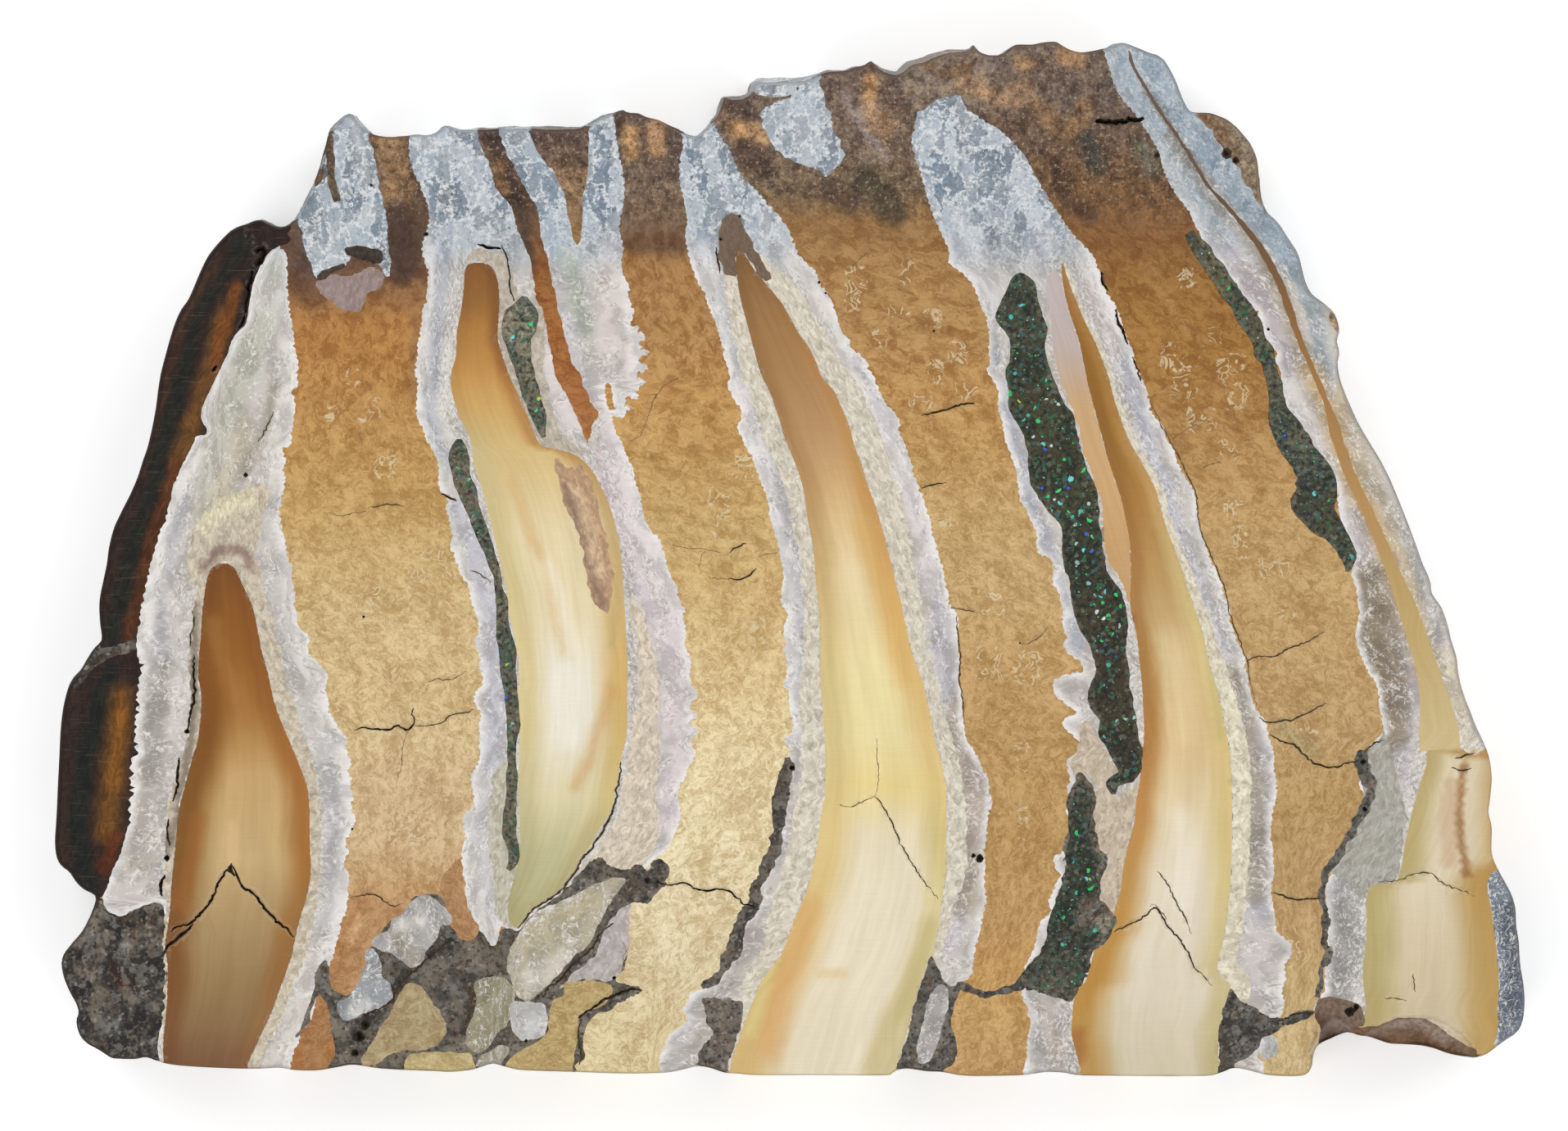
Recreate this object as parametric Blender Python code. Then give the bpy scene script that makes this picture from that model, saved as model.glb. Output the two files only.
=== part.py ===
"""A cut and polished slice of a mammoth's cheek tooth, lying flat on its back face.

The slice is one grown piece: plates of enamel round dentine, with cementum between
them. Five dark resin fills are poured into the open clefts that run between the
plates. Outlines are set out on a drawing grid: GRID metres a step, x to the right
and y down from above the crown's edge, with the origin under (GRID_X, GRID_Y).
"""

import math

import bmesh
import bpy
from mathutils import Vector, noise

# ---------------------------------------------------------------- sizes
GRID = 0.03404e-3  # one step of the drawing grid
GRID_X, GRID_Y = 964.5, 680.5  # the grid point over the origin: the middle of the box
THICKNESS = 0.0065  # back face to polished face
EDGE_ROUND = 0.00035  # worn edge round the polished face
BACK_ROUND = 0.00025  # broken edge round the back face
WALL_WAVE = 0.00022  # how far the side wall wanders in from the outline
POINT_PITCH = 0.0009  # spacing of the points round the outline
FIT_GAP = 0.0003  # room between a fill and the wall of its cleft
LEAST_HALF = 0.00025  # thinnest half width of a fill
CHIP_DEPTH = 0.0030  # how deep the broken corner reaches below the polished face

# Outline, clockwise from the hump at the upper left, seen from above.
OUTLINE = [
    (253, 312), (270, 290), (290, 274), (308, 266), (322, 265), (340, 273), (350, 270),
    (362, 254), (374, 230), (386, 200), (393, 175), (400, 153), (418, 137), (427, 134),
    (434, 137), (440, 146), (455, 159), (480, 163), (508, 160), (530, 158), (545, 148),
    (565, 152), (600, 150), (640, 148), (700, 148), (735, 134), (760, 129), (780, 135),
    (805, 142), (830, 153), (848, 161), (860, 150), (870, 137), (878, 114), (900, 111),
    (912, 97), (925, 89), (950, 88), (985, 85), (1010, 77), (1040, 74), (1063, 67),
    (1090, 80), (1110, 66), (1130, 60), (1155, 54), (1175, 54), (1189, 47), (1203, 60),
    (1220, 61), (1240, 49), (1285, 46), (1310, 57), (1330, 58), (1365, 48), (1385, 52),
    (1415, 63), (1433, 84), (1446, 115), (1457, 133), (1480, 135), (1500, 144),
    (1518, 161), (1532, 182), (1538, 210), (1542, 243), (1558, 268), (1572, 288),
    (1586, 311), (1595, 356), (1616, 372), (1632, 388), (1636, 408), (1635, 456),
    (1648, 492), (1664, 525), (1688, 565), (1705, 602), (1721, 642), (1737, 686),
    (1748, 718), (1761, 747), (1773, 783), (1781, 820), (1794, 864), (1816, 920),
    (1822, 948), (1818, 997), (1822, 1041), (1834, 1070), (1846, 1098), (1852, 1130),
    (1856, 1171), (1862, 1211), (1858, 1252), (1842, 1268), (1826, 1280), (1802, 1292),
    (1769, 1288), (1737, 1280), (1700, 1279), (1672, 1268), (1648, 1263), (1628, 1272),
    (1612, 1280), (1603, 1300), (1595, 1313), (1567, 1315), (1539, 1312), (1506, 1305),
    (1486, 1312), (1458, 1315), (1400, 1315), (1320, 1315), (1252, 1314), (1162, 1314),
    (1130, 1309), (1100, 1306), (1080, 1314), (1000, 1314), (926, 1314), (885, 1311),
    (856, 1303), (811, 1311), (762, 1312), (701, 1310), (640, 1308), (600, 1300),
    (571, 1308), (531, 1309), (469, 1305), (429, 1302), (388, 1308), (335, 1305),
    (294, 1306), (245, 1304), (204, 1300), (178, 1292), (151, 1294), (131, 1291),
    (106, 1275), (93, 1259), (94, 1236), (80, 1202), (74, 1177), (80, 1161), (96, 1140),
    (110, 1118), (116, 1096), (102, 1087), (86, 1071), (68, 1047), (67, 1014), (71, 920),
    (75, 885), (88, 835), (106, 807), (122, 782), (121, 738), (129, 689), (135, 652),
    (147, 623), (167, 582), (180, 542), (194, 460), (202, 429), (212, 396), (229, 365),
    (243, 330),
]

# The polished face stops short of the outline along the crown: x, then how far in.
CROWN_LEAN = [(250, 0), (330, 5), (420, 4), (520, 3), (600, 8), (700, 10), (780, 3), (860, 5),
              (940, 12), (1000, 12), (1060, 8), (1115, 14), (1200, 6), (1300, 4), (1430, 4), (1560, 0)]

# Each cleft's fill as a line down its middle: x, y, half width, all on the grid.
FILLS = {
    "resin_fill_centre": [
        (1250, 337, 10), (1246, 360, 20), (1243, 385, 27), (1252, 412, 23), (1255, 440, 24),
        (1259, 470, 29), (1269, 500, 33), (1281, 530, 34), (1288, 560, 34), (1297, 590, 37),
        (1310, 620, 32), (1320, 650, 24), (1323, 680, 26), (1333, 710, 28), (1341, 740, 32),
        (1348, 770, 28), (1355, 800, 21), (1354, 830, 25), (1357, 860, 26), (1366, 890, 23),
        (1373, 920, 20), (1375, 945, 14),
    ],
    "resin_fill_lower": [
        (1320, 958, 8), (1319, 980, 13), (1316, 1010, 13), (1318, 1040, 18), (1318, 1070, 20),
        (1312, 1100, 25), (1308, 1130, 30), (1300, 1160, 33), (1288, 1185, 33), (1282, 1203, 22),
    ],
    "resin_fill_right": [
        (1457, 292, 8), (1478, 322, 10), (1497, 350, 11), (1515, 378, 12), (1528, 402, 13),
        (1542, 428, 12), (1551, 455, 10), (1556, 480, 10), (1562, 505, 14), (1572, 528, 18),
        (1586, 552, 20), (1600, 575, 23), (1607, 600, 25), (1606, 622, 25), (1622, 645, 18),
        (1638, 665, 13), (1645, 688, 9),
    ],
    "resin_fill_left_long": [
        (560, 542, 9), (562, 560, 13), (567, 580, 12), (574, 600, 12), (581, 620, 10),
        (588, 640, 10), (596, 662, 9), (603, 685, 9), (609, 708, 9), (613, 730, 9),
        (616, 755, 9), (619, 780, 10), (620, 805, 11), (621, 830, 10), (625, 855, 9),
        (626, 880, 9), (626, 905, 8), (625, 930, 8), (625, 955, 8), (624, 980, 8),
        (624, 1005, 8), (625, 1030, 8), (625, 1050, 7),
    ],
    "resin_fill_left_short": [
        (636, 368, 12), (637, 385, 20), (633, 405, 18), (634, 425, 14), (638, 445, 12),
        (643, 465, 11), (650, 485, 10), (655, 505, 9), (659, 524, 8),
    ],
}

# Broken corner at the lower right: middle, half length and half breadth of each scoop.
SCOOPS = [((1724, 1306), 78, 62, 1.0), ((1632, 1296), 30, 50, 1.0)]


# ---------------------------------------------------------------- drawing
def at(x, y, z=0.0):
    """A grid point in metres."""
    return Vector(((x - GRID_X) * GRID, (GRID_Y - y) * GRID, z))


def spline(points, steps, loop):
    """Catmull-Rom curve through the points, with that many steps between each two."""
    n = len(points)
    found = []
    for i in range(n if loop else n - 1):
        if loop:
            p = [points[(i + k) % n] for k in (-1, 0, 1, 2)]
        else:
            p = [points[min(max(i + k, 0), n - 1)] for k in (-1, 0, 1, 2)]
        for s in range(steps):
            t = s / steps
            found.append(
                0.5 * (2 * p[1] + (p[2] - p[0]) * t
                       + (2 * p[0] - 5 * p[1] + 4 * p[2] - p[3]) * t * t
                       + (3 * p[1] - p[0] - 3 * p[2] + p[3]) * t ** 3)
            )
    if not loop:
        found.append(points[-1].copy())
    return found


def even(points, pitch, loop=True):
    """The line resampled at an even spacing close to pitch."""
    line = points + [points[0]] if loop else points
    lengths = [0.0]
    for a, b in zip(line, line[1:]):
        lengths.append(lengths[-1] + (b - a).length)
    count = max(3, round(lengths[-1] / pitch))
    found, i = [], 0
    for k in range(count if loop else count + 1):
        want = lengths[-1] * k / count
        while i < len(line) - 2 and lengths[i + 1] < want:
            i += 1
        span = lengths[i + 1] - lengths[i] or 1.0
        found.append(line[i].lerp(line[i + 1], (want - lengths[i]) / span))
    return found


def anticlockwise(loop):
    area = sum(a.x * b.y - b.x * a.y for a, b in zip(loop, loop[1:] + loop[:1]))
    return loop if area > 0 else loop[::-1]


def inwards(loop):
    """Unit vectors that point into an anticlockwise loop, smoothed over the neighbours."""
    n = len(loop)
    raw = []
    for i in range(n):
        along = loop[(i + 2) % n] - loop[(i - 2) % n]
        raw.append(Vector((-along.y, along.x, 0)).normalized())
    return [(raw[i - 1] + raw[i] * 2 + raw[(i + 1) % n]).normalized() for i in range(n)]


def along_table(table, x):
    for (x0, v0), (x1, v1) in zip(table, table[1:]):
        if x0 <= x <= x1:
            return v0 + (v1 - v0) * (x - x0) / (x1 - x0)
    return 0.0


# ---------------------------------------------------------------- mesh
def material(name, colour, roughness, coat=0.0):
    made = bpy.data.materials.new(name)
    made.use_nodes = True
    shader = made.node_tree.nodes["Principled BSDF"]
    shader.inputs["Base Color"].default_value = (*colour, 1.0)
    shader.inputs["Roughness"].default_value = roughness
    shader.inputs["Metallic"].default_value = 0.0
    shader.inputs["Coat Weight"].default_value = coat
    return made


def stack(name, rings, finish):
    """A closed body from rings of the same count, lowest first, capped at both ends."""
    mesh = bpy.data.meshes.new(name)
    work = bmesh.new()
    rows = [[work.verts.new(p) for p in ring] for ring in rings]
    n = len(rings[0])
    for low, high in zip(rows, rows[1:]):
        for i in range(n):
            j = (i + 1) % n
            work.faces.new((low[i], low[j], high[j], high[i]))
    work.faces.new(rows[0][::-1])
    work.faces.new(rows[-1])
    bmesh.ops.recalc_face_normals(work, faces=work.faces)
    work.to_mesh(mesh)
    work.free()
    made = bpy.data.objects.new(name, mesh)
    bpy.context.scene.collection.objects.link(made)
    if finish:
        made.data.materials.append(finish)
    return made


def round_off(made, angle=40):
    made.data.shade_smooth()
    made.data.set_sharp_from_angle(angle=math.radians(angle))


def cleft_loop(line, change):
    """The outline round a cleft's middle line, with its half width changed by that much."""
    knots = [Vector((*at(x, y).xy, w * GRID)) for x, y, w in line]
    middle = even(spline(knots, 6, False), 0.0008, False)
    left, right = [], []
    for i, p in enumerate(middle):
        run = (middle[min(i + 1, len(middle) - 1)] - middle[max(i - 1, 0)]).xy.normalized()
        side = Vector((-run.y, run.x, 0))
        half = max(p.z - FIT_GAP / 2, LEAST_HALF) + change
        flat = Vector((p.x, p.y, 0))
        left.append(flat + side * half)
        right.append(flat - side * half)
        if i in (0, len(middle) - 1):
            out = Vector((run.x, run.y, 0)) * (-1 if i == 0 else 1)
            nose = [flat + side * half * math.cos(a) + out * half * math.sin(a)
                    for a in (math.pi * k / 4 for k in (1, 2, 3))]
            (left if i else right).extend([])
            if i == 0:
                start = nose[::-1]
            else:
                end = nose
    return anticlockwise(start + left + end + right[::-1])


def slab(finish):
    knots = [at(x, y) for x, y in OUTLINE]
    loop = anticlockwise(even(spline(knots, 8, True), POINT_PITCH))
    into = inwards(loop)
    rings = []
    # height, then how far the wall stands in from the outline there
    for part, inset in ((0.0, BACK_ROUND), (0.04, 0.05e-3), (0.30, 0.04e-3), (0.62, 0.0),
                        (0.945, 0.02e-3), (1.0, EDGE_ROUND)):
        z = part * THICKNESS
        ring = []
        for p, n in zip(loop, into):
            x = p.x / GRID + GRID_X
            crown = along_table(CROWN_LEAN, x) if p.y > 0 and n.y < -0.2 else 0.0
            wave = max(0.0, noise.noise(Vector((p.x * 420, p.y * 420, z * 500)))) * WALL_WAVE
            if part in (0.0, 1.0) or 0.6 < part < 0.63:
                wave = 0.0
            ring.append(p + n * (inset + wave + crown * GRID * max(0.0, part - 0.62) / 0.38)
                        + Vector((0, 0, z)))
        rings.append(ring)
    return stack("tooth_slice", rings, finish)


def scoop(index, middle, half_x, half_y, deep):
    """A smooth hollow that takes the polished edge off a broken corner."""
    mesh = bpy.data.meshes.new(f"scoop_{index}")
    work = bmesh.new()
    bmesh.ops.create_uvsphere(work, u_segments=24, v_segments=12, radius=1.0)
    for vert in work.verts:
        vert.co = Vector((vert.co.x * half_x * GRID, vert.co.y * half_y * GRID,
                          vert.co.z * CHIP_DEPTH * deep))
    bmesh.ops.recalc_face_normals(work, faces=work.faces)
    work.to_mesh(mesh)
    work.free()
    made = bpy.data.objects.new(f"scoop_{index}", mesh)
    made.location = at(*middle, THICKNESS)
    bpy.context.scene.collection.objects.link(made)
    return made


def cut(body, tool):
    tool.hide_render = True
    tool.hide_viewport = True
    tool.display_type = "WIRE"
    step = body.modifiers.new(tool.name, "BOOLEAN")
    step.operation = "DIFFERENCE"
    step.solver = "EXACT"
    step.object = tool


def build():
    for old in list(bpy.data.objects):
        bpy.data.objects.remove(old, do_unlink=True)
    tooth = material("fossil_tooth", (0.62, 0.42, 0.20), 0.30, 0.25)
    resin = material("dark_resin", (0.030, 0.032, 0.022), 0.22, 0.4)

    body = slab(tooth)
    for name, line in FILLS.items():
        deep = 0.5e-3
        wide = cleft_loop(line, FIT_GAP)
        tool = stack(f"{name}_cleft",
                     [[p + Vector((0, 0, z)) for p in wide] for z in (-deep, THICKNESS + deep)],
                     None)
        cut(body, tool)
        tight = cleft_loop(line, 0.0)
        fill = stack(name, [[p + Vector((0, 0, z)) for p in tight] for z in (0.0, THICKNESS)],
                     resin)
        round_off(fill)
    for index, (middle, half_x, half_y, deep) in enumerate(SCOOPS):
        cut(body, scoop(index, middle, half_x, half_y, deep))
    round_off(body)


build()
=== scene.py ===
"""The looks of a cut and polished mammoth tooth slice.

Everything is set out on the same drawing grid as the solids: one step is STEP metres,
x to the right and y down, with the origin under (MID_X, MID_Y). The polished face is one
fine triangulation whose edges follow the borders of enamel, dentine and cementum.
"""

import math

import bpy
import numpy as np
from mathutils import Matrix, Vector
from mathutils.geometry import delaunay_2d_cdt
from mathutils.kdtree import KDTree


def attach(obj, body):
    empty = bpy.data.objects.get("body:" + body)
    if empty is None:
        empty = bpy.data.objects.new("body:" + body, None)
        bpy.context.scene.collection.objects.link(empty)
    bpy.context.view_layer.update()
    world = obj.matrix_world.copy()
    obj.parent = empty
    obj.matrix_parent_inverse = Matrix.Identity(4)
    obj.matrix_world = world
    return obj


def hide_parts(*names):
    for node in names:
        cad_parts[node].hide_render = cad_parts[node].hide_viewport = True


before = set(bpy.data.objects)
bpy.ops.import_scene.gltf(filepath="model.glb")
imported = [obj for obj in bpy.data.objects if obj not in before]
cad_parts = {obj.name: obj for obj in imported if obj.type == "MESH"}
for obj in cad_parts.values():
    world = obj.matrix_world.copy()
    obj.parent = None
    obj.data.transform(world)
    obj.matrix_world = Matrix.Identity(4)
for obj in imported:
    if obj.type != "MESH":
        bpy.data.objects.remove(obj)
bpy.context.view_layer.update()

STEP = 0.03404e-3
MID_X, MID_Y = 964.5, 680.5
THICK = 0.0065
MM = STEP * 1000  # millimetres a step
rng = np.random.default_rng(7411)

# ------------------------------------------------------------------ outlines
OUTLINE = [
    (253, 312), (260, 302), (270, 290), (280, 280), (290, 274), (300, 270), (308, 266),
    (316, 264), (322, 265), (330, 269), (340, 273), (346, 272), (350, 270), (356, 264),
    (362, 254), (368, 241), (374, 230), (380, 217), (386, 200), (390, 185), (393, 175),
    (396, 162), (400, 153), (408, 145), (418, 137), (427, 134), (434, 137), (440, 146),
    (448, 153), (455, 159), (465, 162), (480, 163), (495, 162), (508, 160), (520, 161),
    (530, 158), (537, 151), (545, 148), (555, 151), (565, 152), (590, 151), (600, 150),
    (640, 148), (670, 149), (700, 148), (710, 146), (720, 141), (735, 134), (750, 131),
    (760, 129), (768, 133), (780, 135), (790, 139), (805, 142), (820, 149), (830, 153),
    (838, 158), (848, 161), (853, 158), (860, 150), (870, 137), (875, 124), (879, 113),
    (890, 112), (902, 111), (910, 106), (912, 97), (918, 91), (925, 89), (950, 88),
    (975, 87), (985, 85), (995, 81), (1010, 77), (1030, 77), (1040, 74), (1053, 72),
    (1063, 67), (1070, 70), (1080, 76), (1090, 80), (1095, 78), (1102, 71), (1110, 66),
    (1125, 63), (1130, 60), (1140, 57), (1155, 54), (1175, 54), (1185, 51), (1189, 47),
    (1195, 54), (1203, 60), (1215, 62), (1222, 60), (1230, 54), (1240, 49), (1260, 49),
    (1270, 47), (1285, 46), (1292, 47), (1300, 52), (1310, 57), (1320, 59), (1330, 58),
    (1345, 55), (1355, 52), (1365, 48), (1375, 48), (1385, 52), (1405, 60), (1415, 63),
    (1425, 71), (1433, 84), (1440, 99), (1446, 115), (1453, 130), (1457, 133), (1470, 134),
    (1480, 135), (1490, 139), (1500, 144), (1510, 152), (1518, 161), (1526, 171),
    (1532, 182), (1536, 194), (1538, 210), (1540, 230), (1542, 243), (1548, 258),
    (1558, 268), (1565, 277), (1572, 288), (1580, 300), (1586, 311), (1591, 330),
    (1595, 345), (1602, 358), (1612, 366), (1621, 373), (1629, 381), (1634, 393),
    (1636, 405), (1633, 416), (1636, 430), (1634, 442), (1635, 456), (1640, 472),
    (1648, 492), (1656, 510), (1664, 525), (1676, 545), (1688, 565), (1697, 583),
    (1705, 602), (1714, 624), (1721, 642), (1729, 663), (1737, 686), (1744, 702),
    (1748, 714), (1748, 722), (1754, 732), (1761, 742), (1768, 762), (1773, 783),
    (1779, 803), (1781, 820), (1786, 842), (1794, 864), (1802, 885), (1810, 902),
    (1818, 922), (1822, 948), (1820, 975), (1818, 992), (1822, 1010), (1822, 1041),
    (1828, 1058), (1836, 1073), (1846, 1092), (1851, 1110), (1852, 1130), (1855, 1150),
    (1857, 1180), (1861, 1205), (1862, 1230), (1858, 1252), (1850, 1263), (1838, 1271),
    (1826, 1280), (1815, 1288), (1802, 1292), (1785, 1292), (1769, 1289), (1752, 1283),
    (1737, 1280), (1718, 1279), (1700, 1278), (1685, 1273), (1672, 1268), (1658, 1265),
    (1648, 1263), (1638, 1267), (1628, 1272), (1618, 1276), (1610, 1281), (1606, 1290),
    (1603, 1300), (1599, 1309), (1592, 1314), (1580, 1315), (1567, 1315), (1550, 1314),
    (1539, 1312), (1520, 1307), (1506, 1305), (1495, 1309), (1480, 1314), (1458, 1315),
    (1400, 1315), (1320, 1314), (1300, 1311), (1280, 1310), (1262, 1312), (1245, 1314),
    (1200, 1315), (1172, 1314), (1150, 1310), (1130, 1309), (1110, 1306), (1098, 1307),
    (1090, 1311), (1080, 1314), (1000, 1314), (926, 1314), (900, 1312), (885, 1311),
    (870, 1306), (856, 1303), (846, 1304), (830, 1308), (811, 1311), (762, 1312),
    (701, 1310), (640, 1308), (622, 1305), (608, 1301), (600, 1300), (592, 1302),
    (580, 1306), (571, 1308), (550, 1310), (531, 1309), (469, 1306), (445, 1303),
    (429, 1301), (412, 1304), (388, 1308), (362, 1308), (340, 1305), (320, 1306),
    (294, 1306), (245, 1304), (220, 1302), (204, 1300), (190, 1296), (178, 1292),
    (166, 1294), (151, 1294), (137, 1293), (128, 1288), (117, 1281), (106, 1275),
    (98, 1267), (94, 1258), (92, 1246), (95, 1236), (92, 1226), (86, 1215), (80, 1202),
    (76, 1190), (74, 1177), (76, 1167), (80, 1160), (88, 1150), (96, 1141), (102, 1132),
    (110, 1116), (116, 1098), (112, 1092), (102, 1087), (92, 1078), (84, 1066),
    (74, 1058), (68, 1047), (66, 1030), (67, 1010), (69, 970), (71, 930), (73, 890),
    (76, 865), (81, 843), (88, 828), (98, 817), (106, 803), (114, 791), (122, 783),
    (123, 776), (121, 760), (120, 742), (121, 728), (125, 708), (129, 689), (132, 668),
    (138, 645), (147, 625), (158, 603), (167, 582), (174, 560), (180, 542), (188, 505),
    (194, 462), (202, 429), (212, 396), (220, 378), (229, 365), (237, 347), (245, 328),
]

# How far the polished face stands in from the outline along the crown: x, steps.
CROWN_LEAN = [(250, 0), (330, 5), (420, 4), (520, 3), (600, 8), (700, 10), (780, 3),
              (860, 5), (905, 12), (1000, 12), (1060, 7), (1095, 14), (1130, 14), (1200, 6),
              (1300, 4), (1430, 4), (1560, 0)]

# Border of each plate's enamel, crown to base.
P1_LEFT = [
    (338, 302), (330, 307), (321, 319), (313, 335), (308, 350), (304, 372), (302, 386),
    (299, 397), (291, 404), (285, 412), (281, 420), (278, 432), (273, 441), (268, 452),
    (263, 462), (258, 473), (252, 485), (247, 497), (245, 506), (247, 515), (252, 524),
    (251, 530), (239, 533), (236, 541), (230, 553), (222, 568), (217, 580), (211, 593),
    (208, 610), (203, 625), (200, 638), (194, 648), (192, 658), (189, 668), (186, 680),
    (182, 692), (180, 700), (177, 715), (174, 728), (171, 742), (169, 760), (167, 775),
    (166, 790), (168, 805), (171, 818), (168, 832), (166, 850), (164, 872), (163, 893),
    (163, 912), (159, 930), (157, 950), (157, 975), (156, 990), (157, 1002), (154, 1016),
    (150, 1030), (146, 1044), (138, 1060), (133, 1074), (130, 1085), (125, 1096),
    (129, 1110), (139, 1117), (150, 1119), (160, 1113), (172, 1108), (186, 1103),
    (197, 1104), (201, 1118), (201, 1140), (199, 1160), (203, 1180), (203, 1215),
    (199, 1245), (194, 1262), (192, 1280), (194, 1296), (194, 1325),
]
P1_RIGHT = [
    (342, 300), (350, 310), (352, 325), (352, 345), (353, 362), (355, 375), (357, 390),
    (359, 405), (361, 420), (363, 432), (366, 445), (364, 458), (365, 470), (362, 475),
    (357, 477), (361, 488), (361, 500), (360, 512), (358, 525), (357, 538), (354, 546),
    (347, 549), (349, 557), (350, 563), (347, 572), (350, 585), (348, 598), (346, 610),
    (343, 622), (344, 636), (346, 650), (350, 662), (352, 675), (354, 685), (358, 692),
    (357, 700), (358, 712), (361, 722), (362, 730), (361, 742), (365, 750), (363, 760),
    (370, 768), (380, 778), (377, 786), (378, 795), (386, 806), (394, 815), (400, 822),
    (401, 832), (398, 842), (402, 855), (403, 868), (410, 880), (415, 890), (421, 897),
    (425, 904), (424, 912), (427, 922), (430, 932), (426, 942), (431, 952), (428, 962),
    (433, 972), (430, 985), (435, 1000), (431, 1010), (428, 1020), (423, 1030),
    (427, 1040), (422, 1050), (423, 1060), (428, 1072), (425, 1085), (428, 1100),
    (424, 1115), (418, 1125), (416, 1140), (412, 1155), (408, 1170), (400, 1185),
    (393, 1195), (389, 1210), (386, 1222), (384, 1235), (380, 1248), (372, 1258),
    (366, 1272), (360, 1285), (356, 1300), (352, 1325),
]
P2_LEFT = [
    (494, 130), (497, 165), (500, 200), (508, 220), (517, 240), (523, 260), (520, 280),
    (514, 300), (515, 315), (521, 330), (521, 350), (519, 365), (515, 378), (514, 390),
    (512, 405), (509, 420), (508, 435), (506, 445), (505, 455), (508, 468), (508, 480),
    (507, 492), (507, 502), (510, 515), (516, 528), (520, 540), (527, 550), (532, 562),
    (535, 575), (534, 590), (537, 600), (545, 612), (543, 622), (546, 632), (549, 645),
    (551, 655), (548, 668), (553, 678), (557, 690), (560, 698), (566, 710), (573, 720),
    (572, 728), (576, 740), (580, 750), (583, 762), (582, 772), (579, 780), (580, 790),
    (583, 800), (584, 812), (586, 822), (588, 832), (582, 842), (577, 850), (579, 862),
    (586, 872), (584, 885), (585, 900), (583, 912), (586, 918), (582, 930), (578, 940),
    (573, 952), (576, 965), (577, 975), (575, 985), (568, 990), (564, 1000), (565, 1012),
    (566, 1025), (563, 1038), (562, 1050), (563, 1065), (567, 1080), (566, 1095),
    (570, 1108), (577, 1122), (582, 1130), (585, 1140), (592, 1150), (599, 1162),
]
P2_FOOT = [(606, 1150), (612, 1130), (622, 1136), (634, 1136), (648, 1120), (668, 1106),
           (690, 1092), (706, 1074), (720, 1064), (745, 1060), (768, 1066), (786, 1062)]
V_RIGHT = [
    (748, 110), (750, 140), (753, 165), (757, 190), (762, 215), (764, 232), (760, 260),
    (757, 280), (762, 300), (760, 315), (760, 330), (764, 340), (770, 350), (768, 362),
    (772, 372), (775, 382), (771, 395), (767, 405), (774, 406), (784, 404), (786, 411),
    (780, 420), (784, 430), (783, 437), (776, 445), (782, 452), (778, 460), (782, 468),
    (780, 478), (774, 481), (772, 490), (766, 484), (763, 492), (765, 502), (761, 511),
    (755, 511), (750, 500), (747, 486), (745, 470), (740, 470), (740, 483), (743, 495),
    (747, 507), (750, 515), (752, 525), (758, 535), (762, 545), (766, 555), (772, 568),
    (775, 580), (778, 592), (783, 603), (784, 615), (786, 628), (790, 638), (796, 648),
    (803, 653), (808, 662), (811, 672), (814, 685), (817, 697), (822, 708), (828, 716),
    (829, 728), (833, 738), (838, 745), (834, 755), (838, 765), (838, 778), (836, 786),
    (841, 795), (845, 805), (844, 815), (843, 828), (846, 838), (852, 845), (851, 853),
    (843, 860), (845, 868), (852, 872), (850, 878), (843, 881), (847, 886), (854, 893),
    (848, 900), (844, 908), (849, 915), (850, 922), (847, 930), (840, 938), (838, 950),
    (831, 960), (829, 975), (832, 990), (831, 1002), (826, 1015), (820, 1028),
    (812, 1040), (802, 1048), (792, 1056),
]
STRIP = [  # brown cementum between the second plate and the forked one
    (576, 120), (584, 165), (590, 185), (597, 200), (601, 215), (606, 230), (616, 244),
    (624, 256), (629, 270), (634, 285), (641, 300), (646, 315), (650, 335), (653, 350),
    (655, 365), (660, 378), (665, 392), (668, 405), (669, 418), (672, 430), (675, 445),
    (679, 458), (684, 470), (692, 482), (698, 495), (703, 508), (708, 520), (713, 532),
    (717, 542), (721, 530), (724, 517), (730, 507), (727, 499), (722, 492), (718, 481),
    (712, 472), (709, 460), (703, 450), (697, 440), (694, 428), (691, 418), (688, 405),
    (685, 390), (681, 378), (679, 365), (676, 352), (673, 338), (671, 325), (667, 312),
    (663, 298), (660, 284), (658, 268), (654, 252), (642, 232), (630, 208), (619, 187),
    (610, 165), (606, 120),
]
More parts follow.
